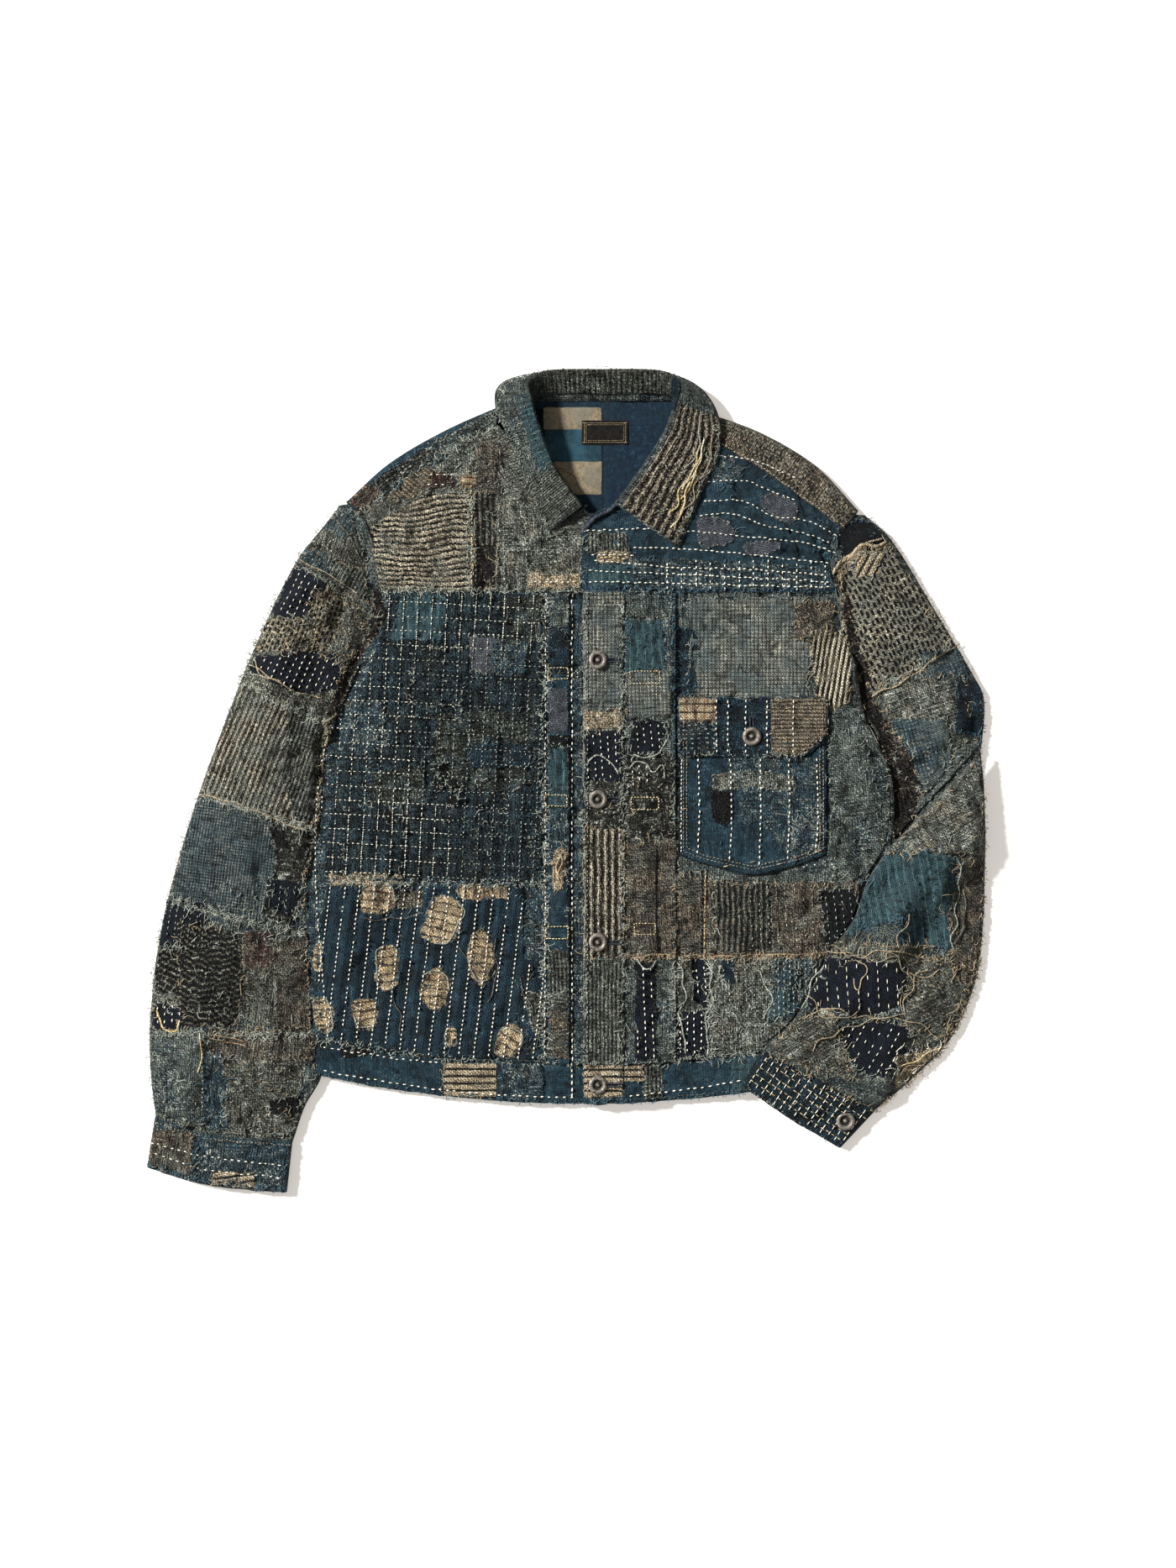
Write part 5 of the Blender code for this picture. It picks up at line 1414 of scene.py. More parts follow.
def left_front():
    patch("sashiko_chest", BODY, CHEST, "nap", -3, (), replaces=["patch_sashiko_chest"], thread="blue", rate=0.5)
    patch("kasuri_waist", BODY, WAIST, "kasuri_ground", -7, (), replaces=["patch_kasuri_waist"], thread="blue")
    figures = spots(
        "-187,-155,-89,-118,-4 -130,-96,-104,-145,-14 -90,-65,-134,-181,-6 -175,-152,-149,-185,8 "
        "-133,-106,-169,-203,-4 -231,-210,-194,-226,3 -193,-171,-197,-222,12 -112,-98,-223,-240,0 "
        "-65,-40,-221,-247,-24 -229,-220,-143,-169,0"
    )
    for k, (x0, x1, y1, y0, turn) in enumerate(figures):
        outline = pillow(x0 + 1, x1 - 1, y0 - 1, y1 + 1, turn + 7 * math.sin(4 * k), 2.7 + 0.6 * math.sin(2.4 * k))
        thread = ("grey", "blue")[k % 2]
        patch(f"kasuri_figure_{k + 1}", BODY, outline, "kasuri", turn, lift=0.2, rough=2.6, rate=1.0, thread=thread,
            long=(2, 7))
        ring = np.roll(np.array(outline), 7 * k, 0)
        cord(BODY, [tuple(p) for p in ring[:14:3]], "pale", 0.42, 0.8, sway=3.0)
    table = (
        (bar(-87, 101, -56, 131), "smoke", 0),
        (bar(-66, 100, -38, 126), "slate", 0),
        ("-120,60 -30,66 -27,4 -60,-8 -116,2", "moss", 8),
        ("-196,70 -168,76 -164,36 -190,24", "slate", -4),
        (bar(-86, 14, -30, 34), "blue", -3),
        ("-80,-40 -26,-36 -24,-88 -86,-86", "nap", 4),
        (bar(-200, -84, -150, -20), "nap", -3),
        ("-150,168 -110,169 -112,128 -158,130", "teal", 3),
        (bar(-56, 128, -24, 168), "moss", -6),
        (bar(-140, 70, -96, 120), "nap", -3),
        ("-180,10 -130,14 -128,-18 -182,-20", "moss", 2),
        (bar(-214, -93, -150, -83), "beige", 90),
        (bar(-152, -113, -131, -98), "brown", 88),
        (bar(-99, -104, -54, -92), "kasuri", 88),
    )
    mends("left_front_mend", BODY, table, ("pale", "blue", "grey"), lift=0.3, rough=2.2, rate=0.6)
    # The holes in the chest are near-black patches, as painted shade
    holes = spots("-114,11 -115,0 -102,-2 -103,-16 -160,-30")
    holes = [(blob(x, y, 10, 11, 10 * k, k), "void", 0) for k, (x, y) in enumerate(holes)]
    mends("chest_hole", BODY, holes, ["pale"], lift=0.2, rough=0.8, rate=0.8)
    patch("ribbed_end", BODY, "-40,-190 2,-192 3,-228 -30,-226", "fine_ribs", 84, lift=0.6, rate=0.8)
    bright = (
        "-213,112 -150,126 -138,60 -140,-20 -222,-12",
        "-222,-12 -110,-16 -104,-84 -224,-84",
        "-166,170 -24,170 -26,122 -160,120",
    )
    for turn, pitch in GRID:
        sew(BODY, CHEST, turn, pitch, "pale", 4.4, 0.42, 0.56, skip=0.12)
        for outline in bright:
            sew(BODY, outline, turn, pitch, "cream", 4.4, 0.42, 0.6, skip=0.24)
    sew(BODY, WAIST, -7, 13.4, "cream", 4.2, 0.5, 0.8)
    seam(BODY, "-196,118 -213,60 -225,0 -228,-60 -226,-120 -222,-165 -217,-225", "cream", 5.0, 0.46, 0.86,
        straight=False)
    seam(BODY, "-19,172 -19.5,0 -20,-250", "cream", 5.0)
    for outline, colour, rate, turn, long in (
        ("-120,66 -26,66 -26,-60 -116,-40", "pale", 3.0, 90, (3, 9)),
        ("-150,150 -26,170 -26,66 -120,60", "olive", 1.6, 90, (3, 9)),
        ("-200,80 -130,100 -126,-20 -196,-10", "olive", 1.4, 90, (3, 9)),
        ("-60,-40 -22,-40 -20,-92 -90,-90", "pale", 2.4, 90, (3, 9)),
        ("-210,0 -150,20 -150,60 -196,60", "blue", 2.0, 0, (3, 9)),
        ("-45,-110 -20,-110 -18,-250 -50,-250", "grey", 4.0, 70, (4, 12)),
        ("-214,-92 -40,-92 -40,-104 -214,-104", "pale", 3.0, 90, (3, 9)),
    ):
        shag(BODY, outline, colour, rate, turn, long, bend=3.0)
    knots = spots("-186,-119,-130,-117 -97,-146,-64,-178 -156,-184,-150,-228 -40,-176,-24,-240 -62,-140,-70,-200")
    for x0, y0, x1, y1 in knots:
        cord(BODY, [(x0, y0), ((x0 + x1) / 2 + 3, (y0 + y1) / 2 - 4), (x1, y1)], "grey", 0.4, 0.8, sway=4)
    edge_line(BODY, "-214,-88 -120,-91 -24,-92", "pale", 1.0, (3, 9))
    edge_line(BODY, "-20,171 -20,-250", "pale", 1.3, (3, 12))


def pleats_and_placket():
    sections = (
        (173, 142, "ash"),
        (138, 100, "blue"),
        (86, 46, "smoke"),
        (43, 33, "navy"),
        (32, -22, "teal"),
        (-25, -53, "slate"),
        (-55, -150, "denim"),
        (-152, -190, "fine_ribs"),
        (-206, -249, "brown"),
    )
    table = [(bar(-16, low, 1, high), material, 3) for high, low, material in sections]
    mends("left_pleat_mend", BODY, table, ("pale", "grey", "blue"), lift=0.5, rate=0.6, rough=1.2)
    patch("left_pleat_tear", BODY, pillow(-12, -2, -96, -60, -6), "beige", 0, lift=0.5, rate=1.6, rough=1.6,
        thread="tan")
    seam(BODY, "4.6,172 4.6,-288", "cream", 5.6, 0.62, 0.9)
    boxes = spots("-17,94,1,104 -20,-21,0,-11 -19,-141,1,-130 57,90,84,101 58,-24,83,-13 61,-137,80,-127")
    for x0, y0, x1, y1 in boxes:
        seam(BODY, bar(x0, y0, x1, y1) + [(x0, y0)], "gold", 2.8, 0.74, 0.56, wander=0.1)
    sections = (
        (161, 66, "grey_check", 0),
        (65, 49, "beige", 90),
        (47, 1, "navy_dots", 0),
        (1, -41, "dark_knots", 0),
        (-41, -158, "cream_ribs", 0),
        (-161, -251, "fine_ribs", 0),
    )
    table = [(bar(16, low, 50, high), material, turn) for high, low, material, turn in sections]
    mends("placket_mend", BODY, table, ("pale", "tan", "grey"), lift=0.4, rough=1.2, rate=0.4)
    patch("placket_foot", BODY, bar(16, -284, 50, -255), "bold_stripes", 0, lift=0.4, rate=0.3, thread="tan")
    seam(BODY, "18.5,172 18.5,-284", "pale", 4.4, thick=0.5)
    seam(BODY, "47.5,172 47.5,-284", "grey", 4.4, thick=0.5)
    for outline in (bar(18, 4, 45, 45), bar(58, 22, 86, 54), bar(58, -2, 76, 15)):
        sew(BODY, outline, 4, 6.6, "cream", 6.0, 0.42, 0.56)
    seam(BODY, "103.4,22 103.4,-64", "cream", 3.6, 0.62, 0.62)
    edge_line(BODY, "16,172 15,-250", "pale", 0.5, (2, 8))
    edge_line(BODY, "51,160 51,-250", "pale", 0.9, (3, 11))
    edge_line(BODY, "97,172 98,20", "blue", 1.2, (3, 12))
    table = (
        ("52,146 86,148 88,104 53,102", "teal", 2),
        ("53,172 96,171 95,149 53,150", "ash", 2),
        ("54,100 95,98 94,62 54,58", "grey_check", 2),
        ("60,57 88,55 86,24 58,26", "navy_dots", 2),
        ("53,24 97,26 96,-50 54,-54", "dark_knots", 2),
        ("53,-56 100,-52 100,-158 53,-158", "brown", 2),
        ("62,-164 80,-164 80,-249 63,-250", "navy_dots", 2),
    )
    threads = ("blue", "pale", "grey", "pale", "pale", "tan", "grey")
    mends("right_pleat_mend", BODY, table, threads, lift=0.5, rough=2.0, rate=0.6, long=(3, 12))
    sew(BODY, bar(64, -248, 80, -165), 2, 7, "cream", 6.0, 0.45, 0.66)
    shag(BODY, "54,0 97,20 97,-60 54,-60", "tan", 5.0, 90, (3, 9))
    shag(BODY, "17,0 49,0 49,-40 17,-40", "tan", 5.0, 90, (3, 9))
    shag(BODY, "54,172 97,172 97,100 54,100", "blue", 2.0, 90, (4, 14))
    for points, colour in (
        ("56,14 62,20 72,18 78,10 86,16 88,4", "pale"),
        ("60,26 70,22 84,26 90,40 88,52", "pale"),
        ("18,20 28,24 40,20 46,8", "pale"),
        ("-8,-60 -5,-72 -7,-86 -4,-96", "tan"),
        ("-4,-64 -8,-78 -3,-90", "tan"),
    ):
        cord(BODY, points, colour, 0.5, 1.0, sway=2)


def outer_edges():
    """Short frayed ends that stand out from the jacket all round."""
    hems = level_line(hem, -222, 262, 9)
    for group, points, colour, rate, long, side in (
        (LEFT_SLEEVE, LEFT_OUTER, "grey", 0.5, (1.5, 6), 1),
        (LEFT_SLEEVE, "-262,172 -281,128 -296,92 -300,82", "pale", 1.0, (3, 8), 1),
        (LEFT_SLEEVE, "-340,-28 -360,-100 -374,-160 -378,-230", "pale", 0.7, (2, 7), 1),
        (LEFT_SLEEVE, "-378,-345 -325,-361 -255,-368", "blue", 0.7, (1.5, 6), 1),
        (BODY, hems, "blue", 0.4, (1.5, 5), 1),
        (BODY, "-204,252 -150,287 -104,312 -62,334", "grey", 0.5, (1.5, 5), -1),
        (BODY, "120,331 174,311 222,282 258,244", "tan", 0.5, (1.5, 5), -1),
        (UPPER_ARM, UPPER_OUTER, "grey", 0.5, (1.5, 5), -1),
        (FOREARM, LOWER_OUTER, "tan", 0.5, (1.5, 6), -1),
        (FOREARM, LOWER_OUTER[3:], "tan", 0.8, (3, 9), -1),
        (FOREARM, "162,-273 205,-305 246,-330", "pale", 0.4, (1.5, 5), 1),
    ):
        edge_line(group, points, colour, rate, long, fan=0.6, side=side, thick=0.3, out=1.0)


def dark_gaps():
    """Painted shade: black stitches between the layers, beside the forearm and at the elbow, and dark brown patches
    down both armholes.
    """
    for x, wide in ((-18.2, 1.2), (1.6, 0.8), (14.6, 0.9), (52.0, 1.1), (98.6, 1.2)):
        shade(BODY, [(x, 171), (x - 0.6, 60), (x + 0.5, -60), (x, -150), (x, -249)], wide, False)
    shade(BODY, "-168,172.6 -80,172.2 12,172.6", 0.8)
    shade(BODY, "56,172.2 150,172 244,172.4", 0.8)
    shade(BODY, "102,24 213,23.4 235.6,44", 1.0)
    shade(BODY, "236.4,46 236.6,76", 0.8)
    shade(BODY, "102.6,22 102.4,-65 124,-73 168,-83.6 213,-73 234.6,-64", 0.9)
    shade(BODY, "235.4,22 235.2,-62", 1.2)
    for x0, x1 in ((-226, 14), (16, 264)):
        shade(BODY, level_line(waist_seam, x0, x1, 9, 0.6), 0.8, False)
    shade(BODY, "81,-56 80,-100 82,-155", 1.0)
    # Painted shade: dark brown patches down the left armhole, in the hollow beside the body
    for low, high, deep in ((176, 62, 11.0), (62, -40, 5.0), (-40, -262, 3.4)):
        ys = np.linspace(low, high, 7)
        outline = beside(left_inner, ys, -0.6) + beside(left_inner, ys[::-1], -deep)
        lean = -math.degrees(math.atan2(left_inner(high) - left_inner(low), high - low))
        patch(f"armhole_left_{int(176 - low)}", LEFT_SLEEVE, outline, "shadow_brown", lean, lift=0.3, rough=1.4,
            rate=0.5, thread="tan", long=(2, 6))
    # Painted shade: a dark brown patch in the hollow between the body and the upper arm
    ys = np.linspace(192, -52, 12)
    outline = beside(side_right, ys, 0.4)
    outline += spots("312,-40 322,-6 312,20 298,44 279,74 272,101 262,136 255,171 246,192")
    patch("armhole_right", UPPER_ARM, outline, "shadow_brown", 20, lift=0.3, rough=2.0, rate=0.5, thread="tan",
        long=(2, 7))
    shade(BODY, "287,-60 270,-86 257,-122 238,-148 220,-184 203,-214 176,-240", 1.3, False)
    shade(UPPER_ARM, "372,32 334,-10 296,-50", 1.3, False)


def right_front():
    table = (
        ("right_front_check", "112,166 216,168 222,120 214,78 110,78", "grey_check", 0, "pale", "patch_check_chest"),
        ("right_front_blue", "99,140 115,138 114,80 99,81", "blue", 0, "blue"),
        ("right_front_frayed", "205,162 240,164 244,134 206,128", "brown", 20, "tan"),
        ("right_front_stripes", "219,138 250,136 258,112 256,74 238,68 226,82", "ticking", -10, "tan",
            "patch_striped_side"),
        ("right_front_side", "238,64 272,58 290,18 292,-30 282,-80 244,-92 237,-30", "ash", 6, "pale",
            "patch_slub_side"),
        ("right_front_low", "99,-84 150,-92 216,-90 262,-92 272,-130 250,-156 99,-158", "brown", 3, "tan",
            "patch_brown_front"),
        ("right_front_grey", "134,-88 182,-92 186,-150 134,-152", "knotted_ribs", 0, "pale"),
        ("right_hem_navy", "97,-160 129,-159 129,-246 98,-249", "navy_dots", 0, "pale", "patch_navy_front"),
        ("right_hem_olive", "97,-161 112,-161 114,-196 124,-206 96,-207", "olive", 0, "pale"),
        ("right_hem_grey", "130,-160 182,-160 182,-244 129,-246", "grey", 0, "pale"),
        ("right_hem_dots", "183,-188 207,-188 208,-212 184,-212", "teal", 0, "blue"),
        ("right_hem_slate", "188,-160 222,-160 216,-186 190,-187", "slate", 0, "pale"),
        ("right_hem_blue", "140,-161 152,-161 151,-181 141,-181", "blue", 0, "pale"),
        ("right_hem_end", "182,-218 262,-214 266,-230 182,-243", "olive", 0, "blue"),
        ("right_side_navy", "231,-98 262,-96 268,-140 234,-146", "navy", 8, "pale"),
    )
    patches(BODY, table, rate=0.6, rough=1.8)
    sew(BODY, bar(98, -246, 127, -208), 0, 6.4, "cream", 6.0, 0.36, 0.8)
    sew(BODY, bar(114, -192, 127, -163), 4, 7.0, "cream", 6.0, 0.42, 0.66)
    sew(BODY, "232,-99 261,-97 267,-139 235,-145", 6, 7.4, "pale", 6.2, 0.4, 0.46)
    sew(BODY, "184,-189 206,-189 207,-211 185,-211", 2, 4.4, "pale", 5.4, 0.5, 0.55)
    sew(BODY, "189,-161 221,-161 215,-186 191,-186", 2, 5.0, "pale", 5.4, 0.5, 0.55)
    for outline, pitch in ((bar(134, -244, 182, -162), 7.6), (bar(160, -150, 226, -92), 8.0)):
        sew(BODY, outline, 3, pitch, "pale", 5.6, 0.4, 0.5, skip=0.35)
    cord(BODY, "58,-158 84,-156 130,-157 180,-155 236,-154", "rust", 0.5, 0.5)
    seam(BODY, "125.4,-79 124.6,-157", "rust", 4.0, 0.9, 0.8)
    seam(BODY, "122.6,-79 121.8,-157", "dark", 4.0, 0.9, 0.7)
    edge_line(BODY, "58,-158 130,-158 238,-156", "tan", 1.2, (2, 7))
    edge_line(BODY, "84,-157 160,-158 236,-157", "rust", 0.3, (2, 7))
    for points in (
        "100,-160 108,-190 101,-215 110,-244",
        "128,-162 132,-196 124,-220 130,-246",
        "64,-158 72,-166 80,-160",
        "176,-170 186,-196 178,-214",
    ):
        cord(BODY, points, "pale", 0.5, 1.0, sway=3)
    shag(BODY, "238,62 288,50 290,-70 240,-90", "pale", 2.0, 80, (4, 13))
    shag(BODY, "100,-84 262,-92 262,-156 100,-156", "grey", 3.6, 90, (4, 12))
    shag(BODY, "130,-160 222,-160 222,-244 100,-248", "pale", 3.4, 90, (4, 14))
    shag(BODY, "205,164 252,164 252,136 212,130", "tan", 4.0, 80, (4, 13))
    edge_line(BODY, "99,-158 100,-248", "pale", 1.0, (3, 13))
    edge_line(BODY, "130,-160 131,-246", "pale", 1.2, (3, 13))


def pocket_and_flap():
    # The pocket's hole is a near-black patch, as painted shade
    patch("pocket_square", BODY, "131,-8 149,-9 150,-30 144,-39 134,-36 130,-24", "void", 3, lift=0.3, rough=1.6,
        rate=1.0, thread="slate", long=(1, 4))
    # Painted shade under the torn edge
    shade(BODY, "131,-7 165,-5 205,-7", 0.7)
    patch("pocket_cross", BODY, "146,30 200,32 202,16 182,10 176,-34 156,-36 158,6 146,8", "slate", 0, lift=0.4,
        rough=2.6, rate=0.8, thread="blue")
    patch("pocket_end", BODY, "176,26 232,22 232,-60 206,-70 178,-40", "slate", -3, lift=0.4, rough=1.6, rate=0.3,
        thread="blue")
    patch("pocket_tear", BODY, "131,8 168,10 206,6 207,-6 170,-4 132,-6", "grey", 2, lift=0.3, rough=1.6, rate=0.8,
        long=(2, 6))
    for x in (119, 148, 174.5, 200.5, 226):
        seam(BODY, [(x, 22), (x + 1, -30), (x - 1, -66 - 10 * (1 - abs(x - 168) / 66))], "cream", 5.2, 0.5, 0.86)
    for inset in (2.2, 5.4):
        west, east = 103 + inset, 234 - inset
        around = [(west, 62), (west, -64 + inset), (124, -71 + inset), (168, -81 + inset), (212, -71 + inset)]
        seam(BODY, around + [(east, -62 + inset), (east, 40)], "tan", 3.4, 0.72, 0.32, wander=0.1)
    for x, y in ((144, -76), (168, -72), (192, -74), (228, -62), (106, -24)):
        stitches(BODY, "rust", [(x - 2.5, y)], [(x + 2.5, y + 1)], 0.7)
    shag(BODY, "150,24 206,24 206,10 150,10", "pale", 3.0, 10, (4, 10), bend=2.6)
    shag(BODY, "202,-22 234,-22 234,-46 202,-46", "pale", 9.0, -20, (5, 14), bend=1.0, both=False)
    shag(BODY, "106,20 140,20 140,-60 108,-58", "blue", 2.0, 90, (4, 10))
    table = (
        ("flap_plaid", bar(102, 55, 134, 76), "plaid", 0, "tan"),
        ("flap_grey", bar(102, 25, 133, 54), "blue_dots", 90, "pale"),
        ("flap_blue", bar(135, 25, 183, 76), "indigo", 0, "blue"),
        ("flap_ribs", "185,25 213,25 234,45 234,76 185,76", "dark_ribs", 90, "tan"),
    )
    patches(BODY, table, rough=0.9, rate=0.35, long=(2, 7))
    for x in (135, 145.5, 161.5, 181, 204.7):
        seam(BODY, [(x, 75), (x, 26)], "cream", 5.0, 0.5, 0.8)
    seam(BODY, "188,29 212,28 231,47 231,74", "tan", 3.2, 0.7, 0.32, wander=0.1)
    edge_line(BODY, "102,25 213,24 235,44", "pale", 0.5, (2, 7))


def waistbands():
    table = (
        ("band_stripes_left", bar(-111, -286, -64, -254), "bold_stripes", 0, "tan"),
        ("band_hole", blob(-192, -243, 25, 12, 4), "navy", 0, "pale"),
        ("band_blue", bar(-60, -287, -22, -256), "slate", 4, "blue"),
        ("band_stripes_right", bar(52, -270, 70, -256), "bold_stripes", 0, "tan"),
        ("band_ribs", bar(70, -287, 86, -256), "fine_ribs", 0, "pale"),
        ("band_teal", "150,-281 205,-273 206,-245 150,-250", "teal", 0, "blue"),
    )
    patches(BODY, table, lift=0.4, rate=0.5, long=(2, 8))
    seam(BODY, level_line(hem, -220, 12, 12, 5), "cream", 6.6, straight=False)
    seam(BODY, level_line(waist_seam, -220, -112, 6, -5), "cream", 6.0, straight=False)
    seam(BODY, [(x, hem(x) + 6 + 10 * (x - 60) / 200) for x in np.linspace(56, 260, 12)], "cream", 6.6,
        straight=False)
    seam(BODY, level_line(hem, 16, 260, 12, 3), "grey", 4.0, 0.7, 0.3, straight=False)
    for x0, x1 in ((-226, 56), (56, 264)):
        edge_line(BODY, level_line(waist_seam, x0, x1, 12), "pale", 0.7, (2, 9))
        edge_line(BODY, level_line(hem, x0, x1, 12, 1.5), "blue", 0.35, (2, 7), high=0.5)


def left_yoke():
    table = (
        ("yoke_wavy", "-179,176 -88,176 -88,262 -124,262 -150,248 -178,232", "wavy", 4, "pale", "patch_striped_yoke"),
        ("yoke_dark_slub", bar(-85, 176, -62, 264), "knotted_ribs", 0, "tan"),
        ("yoke_brown", "-85,176 -68,176 -64,214 -84,216", "shadow_brown", 0, "tan"),
        ("yoke_crosshatch", "-64,176 12,176 14,222 -10,236 -30,250 -62,262", "grey", 4, "pale"),
        ("yoke_beige_bits", bar(-34, 177, 12, 189), "beige", 90, "tan"),
        ("yoke_beige_top", bar(-96, 268, -83, 278), "kasuri", 0, "tan"),
        ("yoke_maroon", "-133,283 -100,284 -99,269 -131,266", "maroon", 0, "pale", (90, 9)),
        ("yoke_blue_corner", "-128,292 -100,308 -96,302 -124,286", "teal_check", 30, "blue"),
        ("yoke_slate_top", "-124,284 -96,303 -84,300 -85,280 -96,278", "grey", 0, "pale"),
        ("yoke_knots_top", "-82,306 -66,316 -58,300 -62,262 -82,262", "brown", 0, "pale"),
        ("yoke_ribs_top", "-162,258 -150,270 -126,290 -118,284 -140,258", "dark_ribs", 52, "tan"),
    )
    patches(BODY, table, rate=0.5, rough=1.4)
    shag(BODY, "-178,176 -90,176 -90,262 -170,236", "pale", 2.6, 0, (3, 10))
    shag(BODY, "-90,176 -20,176 -30,262 -90,300", "pale", 4.0, 90, (3, 10), bend=2.4)
    shag(BODY, "-80,176 -50,176 -50,262 -80,262", "grey", 5.0, 90, (3, 12))
    shag(BODY, "-160,262 -60,262 -60,320 -120,290", "pale", 2.6, 30, (3, 11))
    seam(BODY, "-30,182 10,182", "cream", 5.0)
    for y in (188, 198, 210, 222):
        seam(BODY, [(-58, y), (10, y + 1)], "pale", 4.4, 0.5, 0.5)
    edge_line(BODY, "-182,174 -120,175 12,174", "pale", 1.2, (3, 10))
    edge_line(BODY, "-88,176 -88,262", "pale", 1.4, (3, 10))
    edge_line(BODY, "-189,244 -130,288 -64,324", "pale", 1.0, (3, 10))
    for t in (0.3, 0.75):
        p, q = line("-196,252 -150,283 -62,330"), line("-193,248 -130,288 -64,325")
        points = np.linspace(0.05, 0.95, 8)
        seam(BODY, [tuple(v) for v in p(points) * t + q(points) * (1 - t)], "grey", 4.4, thick=0.5)
    patch("shoulder_grey_left", BODY, "-124,306 -64,338 -64,326 -116,298", "ash", 30, lift=0.4, rate=0.8)
    patch("shoulder_brown_left", BODY, "-198,254 -178,272 -168,262 -188,245", "maroon", 40, lift=0.4, rate=0.8,
        thread="tan")
    patch("shoulder_slub_left", BODY, "-176,274 -126,304 -118,296 -166,262", "dark_knots", 34, lift=0.4, rate=0.8,
        thread="blue")
    seam(BODY, "-86.5,270 -86,230 -86.5,178", "gold", 3.4, 0.7, 0.7)
    for x in (-84, -58, -38, -16):
        seam(BODY, [(x, 258 - 0.3 * (x + 84)), (x + 2, 178)], "pale", 4.6, 0.5, 0.5)


def right_yoke():
    holes = spots("139,285,25,18,10 193,249,32,22,-25 134,227,37,25,5 176,213,31,12,0 100,240,18,12,-8")
    # Painted shade: a dark blue patch and black stitches along the fold by the armhole
    patch("yoke_armhole_dark", BODY, "232,238 246,226 248,206 238,198 230,214", "indigo", -50, lift=0.3, rough=2.0,
        rate=0.8, thread="blue")
    for points in ("207,268 214,244 226,212 238,192", "196,236 205,220 210,204"):
        shade(BODY, points, 0.8, False)
    table = [(blob(*hole, k * 2.1), "smoke", 10 * k) for k, hole in enumerate(holes)]
    mends("yoke_hole", BODY, table, ["pale"], lift=0.3, rough=1.6, rate=0.7, long=(1, 4))
    patch("yoke_brown_ribs", BODY, bar(19, 208, 54, 226), "fine_ribs", 0, lift=0.4, rate=0.5)
    patch("yoke_gold_dashes", BODY, bar(27, 199, 58, 209), "beige", 90, lift=0.4, rate=0.3, thread="tan")
    patch("yoke_low", BODY, "62,176 244,176 240,196 60,204", "slate", 0, lift=0.5, rate=0.3, thread="blue")
    patch("yoke_teal", BODY, "20,178 60,178 60,196 20,197", "teal", 0, lift=0.4, rate=0.3, thread="blue")
    patch("yoke_shoulder_blue", BODY, "112,300 126,304 160,284 150,270 116,280", "slate", 40, lift=0.4, rate=0.4,
        thread="blue")
    for points in (
        "137,296 168,292 207,276",
        "127,273 162,273 182,265 207,256",
        "123,255 160,255 185,242 211,239 228,233 245,223",
        "120,242 150,244 176,234 214,226 248,214",
        "18,228 81,230 120,227 160,223 217,217 244,208",
        "25,201 96,195 137,194 186,192 236,188",
        "22,206 60,206",
        "20,192 120,188 240,182",
        "20,182 120,180 240,177",
        "60,213 120,211 180,205 240,199",
    ):
        seam(BODY, points, "cream", 5.0, 0.6, 0.7, straight=False)
    sew(BODY, bar(82, 175, 238, 202), 0, 13, "cream", 5.4)
    seam(BODY, "29,204 56,203", "gold", 4.2, 0.7, 0.6)
    shag(BODY, "110,300 150,300 250,226 250,200 110,210", "blue", 1.0, 0, (4, 13))
    edge_line(BODY, "20,174 120,174 246,173", "blue", 0.6, (2, 6))
    seam(BODY, "113,322 174,288 251,232", "tan", 3.4, 0.8, 0.7)
    seam(BODY, "116,326 176,293 254,236", "rust", 4.4, 0.5, 0.5)
    rim = line("118,332 174,310 222,281 259,243")(np.linspace(0.03, 0.97, 12))
    mid = line("114,324 173,290 251,233")(np.linspace(0.03, 0.97, 12))
    for t in (0.35, 0.7):
        seam(BODY, [tuple(p) for p in rim * t + mid * (1 - t)], "tan", 4.6, 0.5, 0.5)


